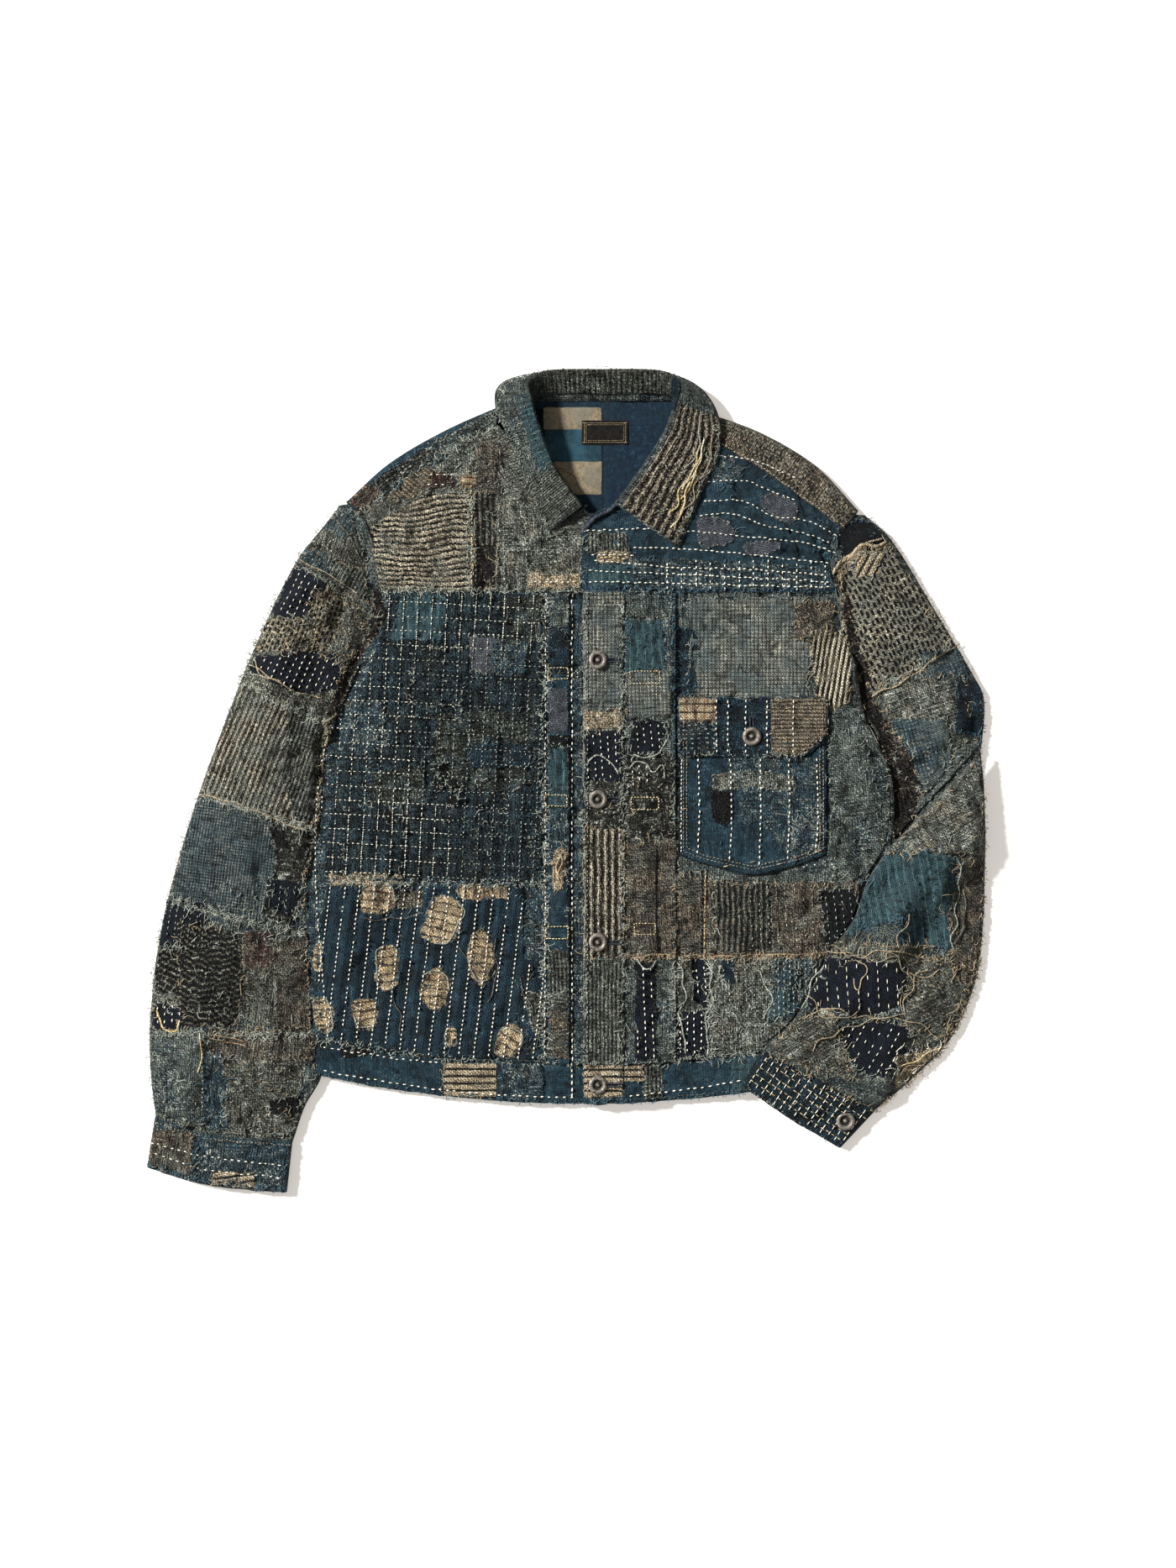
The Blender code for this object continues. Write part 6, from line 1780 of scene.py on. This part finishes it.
def left_sleeve():
    g = LEFT_SLEEVE
    table = (
        ("sleeve_cap", "-208,248 -222,229 -246,198 -216,178 -180,160 -182,200 -196,236", "olive", -20, "pale",
            "patch_sleeve_cap"),
        ("sleeve_cap_stripes", "-212,246 -196,242 -190,226 -206,220 -222,231", "teal_check", -30, "pale"),
        ("sleeve_cap_check", "-243,208 -214,204 -184,190 -180,164 -206,176 -244,200", "fine_ribs", -28, "tan"),
        ("sleeve_cap_blue", "-243,209 -222,212 -216,190 -242,202", "slate", -28, "blue"),
        ("sleeve_slub", strip((200, 146), (92, 50)), "olive", -16, "pale", "patch_sleeve_slub"),
        ("sleeve_navy_top", "-246,196 -217,180 -228,168 -240,147 -268,152 -258,175", "navy_dots", -34, "pale"),
        ("sleeve_dark_inner", "-226,172 -192,160 -182,130 -200,108 -226,118", "olive", -14, "tan"),
        ("sleeve_sand_inner", "-232,164 -216,176 -204,164 -208,128 -226,124", "sand", -20, "tan"),
        ("sleeve_beige_low", "-274,148 -240,150 -226,122 -280,118", "sand", -24, "tan"),
        ("sleeve_navy_band", "-280,114 -250,118 -210,116 -204,86 -244,80 -286,104", "navy_dots", -26, "pale"),
        ("sleeve_stripe", strip((92, 50), (-8, -42)), "long_stripes", -22, "tan", "patch_sleeve_stripe"),
        ("sleeve_stripe_worn", "-250,70 -222,62 -229,-34 -246,-34 -258,10", "fine_ribs", -18, "grey"),
        ("sleeve_teal", strip((-12, -44), (-106, -140)), "grey_teal", -8, "pale", "patch_sleeve_teal"),
        ("sleeve_knots", "-270,-30 -232,-44 -240,-96 -250,-138 -276,-118 -262,-70", "dark_knots", -10, "pale"),
        ("sleeve_navy_mid", "-271,-88 -242,-92 -244,-120 -268,-116", "navy_dots", -8, "pale"),
        ("sleeve_black", strip((-148, -142), (-196, -226)), "olive", -6, "pale"),
        ("sleeve_navy_low", "-366,-106 -328,-110 -326,-146 -346,-154 -369,-150", "navy_dots", -8, "pale"),
        ("sleeve_black_low", "-371,-150 -342,-150 -340,-190 -374,-190", "knotted", -6, "pale"),
        ("sleeve_knotted", "-352,-128 -300,-134 -292,-176 -300,-216 -350,-222", "knotted", -10, "tan"),
        ("sleeve_maroon", "-293,-136 -266,-134 -264,-165 -290,-168", "maroon", 0, "grey"),
        ("sleeve_brown_low", "-266,-140 -234,-142 -232,-222 -262,-222", "brown", -6, "pale"),
        ("sleeve_navy_bit", "-374,-200 -350,-201 -346,-222 -374,-224", "navy_dots", 0, "tan", (0, 7)),
        ("sleeve_end", strip((-228, -228), (-300, -320)), "ash", -4, "pale", "patch_sleeve_end"),
        ("sleeve_brown_band", "-325,-224 -234,-222 -232,-248 -322,-254", "brown", 84, "tan"),
        ("sleeve_end_grey", "-312,-250 -240,-254 -246,-318 -308,-316", "olive", -2, "pale"),
        ("sleeve_end_blue", "-328,-246 -312,-248 -308,-314 -328,-312", "slate", 0, "blue"),
        # the hole is a near-black patch, as painted shade
        ("sleeve_hole", "-270,-288 -243,-284 -242,-297 -268,-300", "void", 0, "pale"),
        ("cuff_left_brown", "-377,-312 -338,-320 -342,-354 -378,-346", "brown", 80, "tan"),
        ("cuff_left_teal", "-334,-322 -254,-332 -256,-366 -322,-360 -338,-354", "slate", 84, "blue"),
        ("cuff_left_stripes", "-321,-351 -283,-355 -282,-367 -320,-363", "bold_stripes", 8, "tan"),
    )
    patches(g, table, rate=0.6, rough=1.8, long=(3, 12))
    sew(g, "-246,193 -219,178 -229,167 -241,150 -265,154 -257,175", -26, 6.4, "cream", 6.0, 0.46, 0.6)
    sew(g, "-276,112 -250,115 -212,113 -207,89 -244,83 -280,103", -26, 6.4, "cream", 6.0, 0.46, 0.6)
    for outline in ("-269,-89 -244,-93 -246,-118 -266,-115", "-364,-108 -330,-112 -328,-144 -346,-152 -367,-148"):
        sew(g, outline, -8, 6.4, "pale", 5.4, 0.46, 0.44)
    for outer, inner, rate in spots("92,52,1.6 -8,-40,1.8 -104,-134,1.6 -226,-224,1.2"):
        across = [(float(left_outer(outer)) + 4, outer - 3), (float(left_inner(inner)) - 2, inner - 3)]
        edge_line(g, across, "pale", rate, (4, 13), bend=2.6)
    for points, colour, thick in (
        ("-243,200 -222,190 -200,176 -182,162", "grey", 0.6),
        ("-242,203 -214,188 -190,172", "tan", 0.4),
        ("-288,108 -268,96 -244,82 -222,76", "tan", 0.42),
        ("-282,112 -276,98 -258,92", "tan", 0.5),
        ("-212,244 -198,226 -188,206", "grey", 0.7),
        ("-334,-10 -300,-18 -266,-32 -236,-42", "tan", 0.6),
        ("-371,-206 -366,-221 -354,-224 -350,-216", "gold", 0.7),
        ("-331,-226 -329,-244 -333,-262", "gold", 0.4),
        ("-324,-226 -308,-229 -292,-234", "rust", 0.5),
        ("-322,-230 -306,-234 -290,-238", "rust", 0.4),
    ):
        cord(g, points, colour, thick, 0.8, sway=1.2)
    for outline, colour, rate, turn in (
        ("-240,146 -228,164 -200,158 -196,120 -232,120 -278,122 -266,148", "pale", 4.0, 70),
        ("-226,172 -192,160 -182,130 -200,100 -230,112", "tan", 4.0, 70),
        ("-300,86 -226,60 -229,30 -280,50", "pale", 1.6, 70),
        ("-256,40 -222,40 -226,-40 -256,-30", "grey", 2.0, 70),
        ("-330,-96 -276,-70 -276,-130 -330,-112", "grey", 2.0, 80),
        ("-320,-96 -240,-90 -240,-150 -330,-140", "pale", 3.0, 80),
        ("-276,-50 -236,-54 -240,-140 -270,-120", "grey", 3.0, 70),
        (strip((-140, -142), (-226, -232)), "pale", 3.0, 84),
        (strip((-236, -236), (-300, -318)), "pale", 3.2, 84),
        ("-300,-250 -240,-256 -244,-316 -280,-312", "tan", 3.0, 60),
    ):
        shag(g, outline, colour, rate, turn, (4, 12), bend=2.8)
    seam(g, "-329,-236 -329,-270 -331,-314", "pale", 4.0)
    seam(g, "-377,-326 -330,-338 -252,-347", "cream", 6.2)
    seam(g, "-379,-334 -330,-350 -254,-358", "cream", 6.6)
    for k in (-6, 5):
        seam(g, [(-372, -304 + k * 0.6), (-328, -318 + k * 0.6), (-250, -325 + k * 0.6)], "tan", 3.4, 0.7, 0.32)
    edge_line(g, "-378,-345 -325,-361 -255,-368", "blue", 0.5, (2, 7), high=0.5)


def right_arm():
    g = UPPER_ARM
    table = (
        ("arm_navy", "248,240 276,236 290,220 276,206 252,206 243,222", "navy", 30, "blue"),
        ("arm_dashes", "250,204 290,214 320,172 354,127 320,104 280,80 262,100 250,140 248,176", "grey_dashes", 28,
            "tan", "patch_arm_dashes"),
        ("arm_bars", "262,204 286,207 284,190 262,186", "bold_stripes", 62, "pale"),
        ("arm_teal_check", "320,116 354,124 362,98 324,92", "teal_check", 20, "blue"),
        ("arm_grey_beige", "284,98 322,92 360,98 366,40 340,20 294,48", "grey", 18, "tan"),
        ("arm_blue_stripes", "354,96 374,88 377,44 352,46", "blue", 12, "blue"),
        ("arm_hollow", "296,56 344,58 348,16 326,-10 300,8", "teal_check", 16, "pale"),
    )
    patches(g, table, rate=0.6, rough=1.8, long=(3, 12))
    cord(g, "276,79 300,90 328,108 356,128", "tan", 0.55, 0.8)
    cord(g, "289,216 270,214 254,204 240,190", "tan", 1.0, 1.4, 3, sway=3)
    cord(g, "286,220 262,210 246,198", "tan", 0.7, 1.0, sway=3)
    edge_line(g, "276,81 314,100 354,129", "pale", 0.8, (3, 8))
    edge_line(g, "290,216 262,208 244,190", "tan", 2.4, (4, 12), bend=3.0)
    shag(g, "262,100 284,82 364,98 362,44 296,44", "pale", 1.2, 28, (4, 11), bend=2.6)
    shag(g, "248,206 290,214 350,126 280,84", "pale", 1.8, 28, (3, 9))
    shag(g, "248,240 276,236 290,220 252,206", "blue", 5.0, 28, (4, 10), bend=3.0)
    shag(g, "290,44 374,44 366,-10 300,-40", "pale", 2.4, 60, (4, 11), bend=2.6)

    g = FOREARM
    table = (
        ("forearm_slub", "296,-50 334,-10 368,16 374,-10 376,-66 340,-62 300,-62 288,-66", "grey", 30, "tan",
            "patch_forearm_slub"),
        ("forearm_teal", "287,-66 318,-63 340,-64 355,-74 353,-112 346,-149 305,-149 300,-127 312,-114 283,-127 "
            "252,-137 270,-92", "teal", 8, "blue", "patch_forearm_teal"),
        ("forearm_brown", "357,-68 376,-70 376,-84 373,-146 366,-184 348,-160 346,-120", "brown", 4, "tan"),
        ("forearm_beige", "228,-160 250,-142 300,-148 330,-150 330,-160 290,-160", "olive", 80, "tan"),
        ("forearm_navy", "222,-160 249,-158 300,-162 304,-174 302,-200 285,-208 248,-206 219,-204 216,-183",
            "navy_dots", 2, "pale", "patch_forearm_navy"),
        ("forearm_olive", "306,-160 344,-156 364,-186 346,-224 318,-244 306,-214", "olive", 30, "tan"),
        ("forearm_navy_low", "242,-222 285,-214 306,-220 306,-246 286,-266 262,-260 249,-240", "navy_dots", 10,
            "pale"),
        ("forearm_beige_end", "296,-246 336,-241 322,-258 310,-268 298,-276", "beige", 60, "cream"),
        ("forearm_inner", "206,-214 238,-208 250,-240 256,-268 214,-254 186,-242", "olive", 30, "tan"),
    )
    patches(g, table, rate=0.8, rough=1.8, long=(4, 16))
    sew(g, "275,-94 345,-76 346,-144 306,-144 312,-116 260,-134", 8, 12, "slate", 6, 0.42, 0.5)
    cuff = "160,-271 205,-303 246,-328 276,-299 226,-270 177,-245"
    sew(g, cuff, -34, 7.2, "cream", 6.0, 0.72, 0.42, skip=0.06)
    sew(g, cuff, 56, 7.2, "gold", 6.0, 0.66, 0.4, skip=0.08)
    sew(g, "222,-160 249,-160 300,-163 303,-174 301,-198 285,-206 248,-204 220,-202 217,-183", 3, 9.0, "cream", 7.4,
        0.56, 0.46, skip=0.18)
    sew(g, "244,-222 285,-216 303,-222 304,-244 286,-264 263,-258 250,-240", -30, 7.6, "cream", 6.4, 0.46, 0.46,
        skip=0.18)
    for points, colour, thick in (
        ("222,-150 244,-156 272,-154 300,-152 326,-156", "tan", 0.65),
        ("232,-146 252,-152 280,-160 296,-158", "tan", 0.45),
        ("290,-150 304,-166 318,-176 336,-170", "tan", 0.55),
        ("262,-158 270,-172 262,-186 258,-176", "tan", 0.6),
        ("214,-212 236,-206 256,-208 278,-214 304,-206", "tan", 0.6),
        ("218,-190 228,-206 246,-212 262,-206", "tan", 0.5),
        ("220,-240 238,-226 262,-218 290,-212", "tan", 0.55),
        ("212,-204 222,-178 232,-164", "pale", 0.6),
        ("302,-206 308,-190 314,-176 326,-168", "tan", 0.6),
        ("296,-212 316,-216 338,-232", "tan", 0.6),
        ("300,-262 318,-254 338,-246 342,-262", "tan", 0.45),
        ("302,-256 324,-246 340,-238", "gold", 0.6),
        ("296,-148 300,-136 308,-118 304,-130", "tan", 0.5),
        ("347,-150 352,-112 356,-76 350,-70", "pale", 0.6),
        ("350,-146 360,-120 358,-96", "grey", 0.8),
    ):
        cord(g, points, colour, 0.66 * thick, 1.4, sway=4.0)
    for outline, colour, rate, turn, long in (
        ("290,-60 334,-12 372,10 376,-66", "pale", 1.0, 30, (4, 10)),
        ("214,-200 304,-200 306,-218 216,-218", "tan", 3.0, 10, (4, 10)),
        ("228,-144 346,-146 344,-160 228,-158", "tan", 5.0, 10, (4, 11)),
        ("304,-158 364,-150 364,-190 318,-250 304,-214", "tan", 2.6, 60, (4, 11)),
        ("206,-212 240,-212 256,-268 220,-262 180,-242", "tan", 2.6, 50, (4, 11)),
        ("160,-271 246,-328 276,-299 177,-245", "pale", 0.8, 50, (3, 8)),
        ("357,-70 376,-70 366,-184 346,-150", "tan", 1.6, 80, (4, 11)),
    ):
        shag(g, outline, colour, rate, turn, long, bend=3.0)
    edge_line(g, "177,-243 226,-268 262,-288 279,-297", "tan", 0.6, (3, 8), bend=2.6)
    edge_line(g, "312,-262 340,-240 364,-196", "tan", 0.6, (6, 18))


def collar_and_neck():
    table = (
        ("blue_band", "teal", (0.13, 0.3), (0.5, 0.7)),
        ("left_leaf", "fine_ribs", (0.005, 0.14), (0.5, 0.99)),
        ("left_side", "ash", (0.26, 0.42), (0.56, 0.98)),
        ("back", "fine_ribs", (0.4, 0.62), (0.1, 0.52)),
        ("right_side", "ash", (0.6, 0.72), (0.54, 0.98)),
        ("right_leaf", "leaf_ribs", (0.72, 0.995), (0.56, 0.985)),
        ("stand_left", "ash", (0.28, 0.4), (0.05, 0.5)),
        ("stand_right", "blue", (0.62, 0.74), (0.05, 0.5)),
    )
    for name, material, u, v in table:
        more = {"lift": 0.6, "depth": 0.9, "spacing": 2.2, "rough": 0.6, "held": "folded"}
        panel("collar_" + name, collar, COLLAR_SIZE, material, u, v, **more)
        top = collar(*np.meshgrid(np.linspace(*u, 300), np.linspace(*v, 60)))
        COLLAR_TOP.add(top[top[..., 2] > COLLAR_RISE] + (0, 0, 0.6))

    def along(v, low, high):
        return [tuple(p[:2]) for p in collar(np.linspace(low, high, 14), np.full(14, v))]

    for v, low, high in spots("0.95,0.01,0.99 0.62,0.02,0.4 0.75,0.01,0.3 0.85,0.02,0.28 0.64,0.62,0.98"):
        seam(COLLAR_TOP, along(v, low, high), "grey", 4.4, thick=0.5, straight=False)
    leaf = along(0.97, 0.72, 0.99) + along(0.6, 0.72, 0.99)[::-1]
    shag(COLLAR_TOP, leaf, "pale", 2.5, 60, (3, 9), bend=2.6)
    for v, low, high, colour, thick in (
        (0.84, 0.78, 0.94, "gold", 0.45),
        (0.88, 0.8, 0.9, "gold", 0.45),
        (0.93, 0.76, 0.97, "tan", 0.4),
        (0.8, 0.74, 0.84, "pale", 0.4),
        (0.9, 0.86, 0.97, "gold", 0.55),
        (0.86, 0.77, 0.88, "cream", 0.45),
    ):
        cord(COLLAR_TOP, along(v, low, high), colour, thick, 1.2, sway=8.0)
    left = along(0.97, 0.01, 0.4) + along(0.6, 0.01, 0.4)[::-1]
    shag(COLLAR_TOP, left, "pale", 4.5, 50, (3, 11))
    edge_line(COLLAR_TOP, along(0.975, 0.74, 0.99), "pale", 0.8, (4, 12), bend=2.4)
    edge_line(COLLAR_TOP, along(0.975, 0.01, 0.42), "pale", 0.6, (3, 9))
    edge_line(COLLAR_TOP, along(0.5, 0.42, 0.6), "grey", 1.0, (2, 6), high=0.6)

    table = (
        ("strip", bar(-33, 236, -21, 338), "lining_night"),
        ("beige_top", bar(-21, 321, 31, 340), "lining_beige"),
        ("mid_blue", bar(-20, 292, 31, 320), "lining_teal"),
        ("beige_low", bar(-12, 262, 31, 291), "lining_beige"),
        ("right", "33,234 80,234 98,290 102,336 33,339", "lining_blue"),
    )
    for name, outline, material in table:
        patch("lining_" + name, NECK, outline, material, lift=0.35, rough=0.3, rate=0.0, spacing=4)
    seam(NECK, "32,338 32,236", "dark", 3.0, 0.7, 0.3, wander=0.05)
    seam(NECK, "-8,286 30,266", "dark", 3.0, 0.6, 0.28, wander=0.05)
    cord(BODY, "46,252 34,244 22,236 12,226", "slate", 1.2, 2.2, 3, sway=1.0)
    cord(BODY, "30,250 22,254 16,248 24,243", "slate", 0.8, 2.0, sway=2.0)
    label = lying("14,307 55,307", "14,328 55,328", lambda x, y: 5.3 + 0 * x + 0.15 * noise(x, y, 14.0, 2))
    panel("neck_label_cloth", label, (41, 21), "label", depth=0.6, spacing=2.0, replaces=["neck_label"])
    NECK.add(sampled(label, (41, 21)))
    for inset, thick in ((1.8, 0.18), (3.4, 0.12)):
        x0, x1, y0, y1 = 14 + inset, 55 - inset, 307 + inset, 328 - inset
        seam(NECK, bar(x0, y0, x1, y1) + [(x0, y0)], "gold", 1.5, 0.92, thick, wander=0.02)
    for x in (15.5, 53.5):
        for y in (308.5, 326.5):
            stitches(NECK, "tan", [(x - 2.0, y)], [(x + 2.0, y)], 0.34)


def underside():
    """The back, pieced and mended as the front is."""
    table = (
        ("back_left_chest", "-216,-60 -80,-66 -76,140 -158,140 -176,100 -206,30", "nap", 2, "blue", *GRID),
        ("back_centre", "-74,-30 60,-34 66,146 -74,146", "ash", -3, "pale", (-3, 14)),
        ("back_right_check", "68,20 250,24 240,146 70,146", "grey_check", 3, "pale", (0, 17), (90, 17)),
        ("back_right_teal", "120,-110 284,-96 288,18 118,16", "teal_check", 6, "blue"),
        ("back_low_left", "-222,-222 -100,-238 -98,-70 -224,-66", "indigo", 4, "blue", (4, 12.5)),
        ("back_low_middle", "-96,-240 60,-250 64,-40 -94,-72", "brown", -4, "tan", (-4, 15)),
        ("back_low_right", "64,-248 254,-228 274,-112 116,-116 66,-60", "slate", 2, "pale", (2, 13)),
        ("back_beige", "-60,-80 -16,-78 -18,-36 -58,-40", "kasuri", 10, "tan", (80, 12)),
        ("back_navy", "150,-60 206,-58 202,-130 152,-126", "navy_dots", 4, "pale", (4, 11)),
        ("back_knots", "-170,60 -110,66 -104,0 -166,-8", "dark_knots", 0, "pale"),
        ("back_stripes", "76,60 132,64 134,0 80,-4", "cream_ribs", -8, "tan"),
        ("back_dashes", "-40,120 30,124 28,70 -38,66", "grey_dashes", 4, "tan", (4, 13)),
        ("back_stripes_low", "-180,-150 -130,-152 -128,-214 -176,-212", "long_stripes", 0, "tan"),
        ("back_navy_low", "200,-150 250,-146 248,-216 196,-220", "navy_dots", 0, "pale", (0, 11)),
        ("back_yoke_left", "-158,156 -10,156 -8,320 -48,326 -146,262 -172,236 -166,200", "olive", 0, "pale", (0, 14)),
        ("back_yoke_wavy", "-150,170 -70,170 -66,240 -140,236", "wavy", 6, "pale"),
        ("back_yoke_right", "40,156 242,156 236,206 240,232 170,282 118,312 42,324", "blue", 0, "blue", (0, 13),
            (90, 13)),
        ("back_yoke_hole", blob(150, 220, 34, 24, 20), "smoke", 0, "pale"),
        ("back_yoke_beige", bar(-4, 158, 36, 180), "beige", 90, "tan", (90, 10)),
        ("under_sleeve_top", strip((160, 120), (60, 20), 6), "grey_dashes", -12, "tan", (-12, 13)),
        ("under_sleeve_middle", strip((50, 10), (-60, -90), 6), "teal_check", -12, "blue"),
        ("under_sleeve_low", strip((-66, -96), (-180, -190), 6), "brown", -8, "tan", (-8, 14)),
        ("under_sleeve_end", strip((-186, -196), (-292, -312), 6), "indigo", -4, "blue", *GRID),
        ("under_sleeve_navy", "-330,-60 -290,-64 -292,-110 -334,-106", "navy_dots", -8, "pale", (-8, 11)),
        ("under_arm_top", "274,224 294,206 330,146 300,128 272,110 262,170", "slate", 30, "blue", (30, 13)),
        ("under_arm_low", "334,140 360,96 370,70 364,10 300,-40 300,60 290,110", "olive", 24, "pale", (24, 14)),
        ("under_forearm_end", "352,-50 372,-60 370,-140 350,-196 330,-216 334,-120", "ash", 8, "tan", (8, 13)),
    )
    patches(UNDER, table, rough=1.8, lift=0.4, spacing=4.6, step=7.2)
    shag(UNDER, "-210,-220 260,-230 280,0 240,150 -160,150 -220,0", "pale", 0.5, 90, (4, 12), high=0.4)
    shag(UNDER, "-160,156 240,156 240,230 118,316 -50,326 -170,240", "blue", 0.5, 90, (4, 12), high=0.4)
    shag(UNDER, strip((160, 120), (-290, -310), 8), "pale", 0.6, 80, (4, 12), high=0.4)
    for v in (5, 26):
        seam(UNDER, level_line(hem, -218, 256, 14, v), "cream", 6.6, straight=False)
    edge_line(UNDER, "-150,152 20,151 240,152", "tan", 0.8, (3, 9), high=0.4)
    edge_line(UNDER, level_line(waist_seam, -220, 260, 12), "pale", 0.7, (3, 9), high=0.4)


# ---------------------------------------------------------------- buttons and buttonholes


def pewter():
    made, shader, plan = material("pewter_metal")
    tree = made.node_tree
    place = node(tree, "TexCoord").outputs["Object"]
    worn, broad = grain(place, 700.0, 4.0), grain(place, 180.0)
    tone = blend(spread(worn, 0.35, 0.65), paint(80, 76, 71), paint(160, 152, 141))
    tone = blend(spread(broad, 0.5, 0.7, 0.0, 0.6), tone, paint(48, 44, 42))
    away = node(tree, "VectorMath", {0: plan}, operation="LENGTH").outputs[1]
    well = mul(spread(away, 0.0012, 0.0017), spread(away, 0.0042, 0.0048, 1.0, 0.0))
    tone = blend(mul(well, 0.85), tone, BLACK)
    put(shader, {"Base Color": tone, "Normal": bumped(worn, 0.0002, 0.6)})
    put(shader, {"Roughness": spread(broad, 0.3, 0.7, 0.5, 0.65), "Metallic": 0.5})
    return made


def buttons():
    metal = pewter()
    profile = spots(
        "8.2,-0.4 8.5,0.5 8.45,1.6 8.0,2.5 7.1,3.1 6.1,3.25 5.2,2.95 4.6,2.2 4.2,1.25 3.4,0.95 2.5,1.1 1.9,1.9 "
        "1.1,2.35 0.0,2.45"
    )
    n = 48
    turns = np.arange(n) / n * math.tau
    for name in [f"button_front_{k}" for k in range(1, 5)] + ["button_flap", "button_cuff_right"]:
        low, high = (np.array(v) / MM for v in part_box(name))
        x, y, _ = centre = (low + high) / 2
        level = low[2] + (1.2 if "cuff" in name else 0.6)
        points = [(x + r * math.cos(t), y + r * math.sin(t), level + z) for r, z in profile for t in turns]
        faces = [
            (k * n + i, k * n + (i + 1) % n, (k + 1) * n + (i + 1) % n, (k + 1) * n + i)
            for k in range(len(profile) - 1)
            for i in range(n)
        ]
        made = add_mesh(name + "_ring", points, faces, (np.array(points)[:, :2] - centre[:2]) * MM, metal, "pewter")
        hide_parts(name)
        if "cuff" not in name:
            buttonhole(*(((x, y + 9), (x, y + 16)) if "flap" in name else ((x + 7, y), (x + 20, y))))


def buttonhole(start, end):
    """A slit with stitches to both sides and a fan of them at its end."""
    start, end = np.array(start), np.array(end)
    long = math.hypot(*(end - start))
    way = (end - start) / long
    side = np.array((-way[1], way[0]))
    middle = start + np.arange(0, long, 0.62)[:, None] * way
    for out in (-1, 1):
        stitches(BODY, "slate", middle + side * 0.5 * out, middle + side * 2.3 * out, 0.36)
    stitches(BODY, "dark", middle[:-2:2], middle[2::2][: len(middle[:-2:2])], 0.6, 0.35)
    t = np.linspace(-1.6, 1.6, 9)[:, None]
    fan = np.cos(t) * way + np.sin(t) * side
    stitches(BODY, "slate", end + fan * 1.0, end + fan * 2.9, 0.36)


# ---------------------------------------------------------------- floor, light and camera


def added(name, data):
    made = bpy.data.objects.new(name, data)
    bpy.context.scene.collection.objects.link(made)
    return made


def stage():
    floor = bpy.data.meshes.new("floor")
    floor.from_pydata([(-4, -4, -0.0006), (4, -4, -0.0006), (4, 4, -0.0006), (-4, 4, -0.0006)], [], [(0, 1, 2, 3)])
    added("floor", floor)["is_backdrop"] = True
    paper = bpy.data.materials.new("paper")
    paper.use_nodes = True
    tree = paper.node_tree
    tree.nodes.clear()
    plain = node(tree, "BsdfDiffuse", {"Color": (0.86, 0.86, 0.86)}).outputs[0]
    bright = node(tree, "Emission", {"Color": (1.0, 0.93, 0.84), "Strength": 0.42}).outputs[0]
    both = node(tree, "AddShader", {0: plain, 1: bright}).outputs[0]
    path = node(tree, "LightPath").outputs
    seen = maths("MAXIMUM", path["Is Glossy Ray"], path["Is Transmission Ray"])
    seen = maths("MAXIMUM", path["Is Camera Ray"], seen)
    node(tree, "OutputMaterial", {0: node(tree, "MixShader", {0: seen, 1: plain, 2: both}).outputs[0]})
    floor.materials.append(paper)

    world = bpy.data.worlds.new("room")
    bpy.context.scene.world = world
    world.use_nodes = True
    seen = node(world.node_tree, "LightPath").outputs["Is Camera Ray"]
    put(
        world.node_tree.nodes["Background"].inputs,
        {"Color": (1.0, 0.99, 0.97, 1), "Strength": maths("MAXIMUM", seen, 0.27)},
    )

    lamp = bpy.data.lights.new("window", "SUN")
    lamp.energy, lamp.angle, lamp.color = 7.2, math.radians(7), (1.0, 0.985, 0.955)
    added("window", lamp).rotation_euler = Vector((0.86, -0.42, -0.62)).to_track_quat("-Z", "Y").to_euler()

    camera = bpy.data.cameras.new("above")
    camera.lens, camera.sensor_width = 65.7, 36.0
    made = added("above", camera)
    made.location = (0.019, -0.001, 2.6)
    bpy.context.scene.camera = made
    bpy.context.scene.view_settings.view_transform = "Standard"


cloths()
THREAD_KINDS = {
    name: (thread_material(name + "_thread", *tones), slot + "_cloth")
    for name, slot, *tones in (
        ("cream", "beige", paint(255, 253, 244), paint(250, 246, 230), paint(238, 230, 206)),
        ("gold", "beige", paint(250, 240, 210), paint(236, 214, 160), GOLD),
        ("tan", "beige", TAN, paint(146, 136, 118), BEIGE),
        ("rust", "beige", RUST, BEIGE, BROWN),
        ("pale", "grey", paint(158, 162, 150), GREY, PALE_GREY),
        ("grey", "grey", GREY, COAL, paint(124, 120, 108)),
        ("olive", "grey", OLIVE, GREY, PALE_GREY),
        ("blue", "slate", WORN_BLUE, BLUE, paint(108, 132, 142)),
        ("dark", "navy", BLACK, paint(6, 7, 9), NIGHT),
        ("slate", "navy", paint(58, 58, 76), paint(88, 92, 104), NAVY),
    )
}
stage()
body_panels()
other_panels()
left_front()
pleats_and_placket()
right_front()
pocket_and_flap()
waistbands()
left_yoke()
right_yoke()
left_sleeve()
right_arm()
collar_and_neck()
dark_gaps()
outer_edges()
underside()
buttons()
build_threads()

plain_box = lambda box: [[float(v) for v in corner] for corner in box]
{"cad": plain_box(cad_box), "visual": plain_box(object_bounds())}
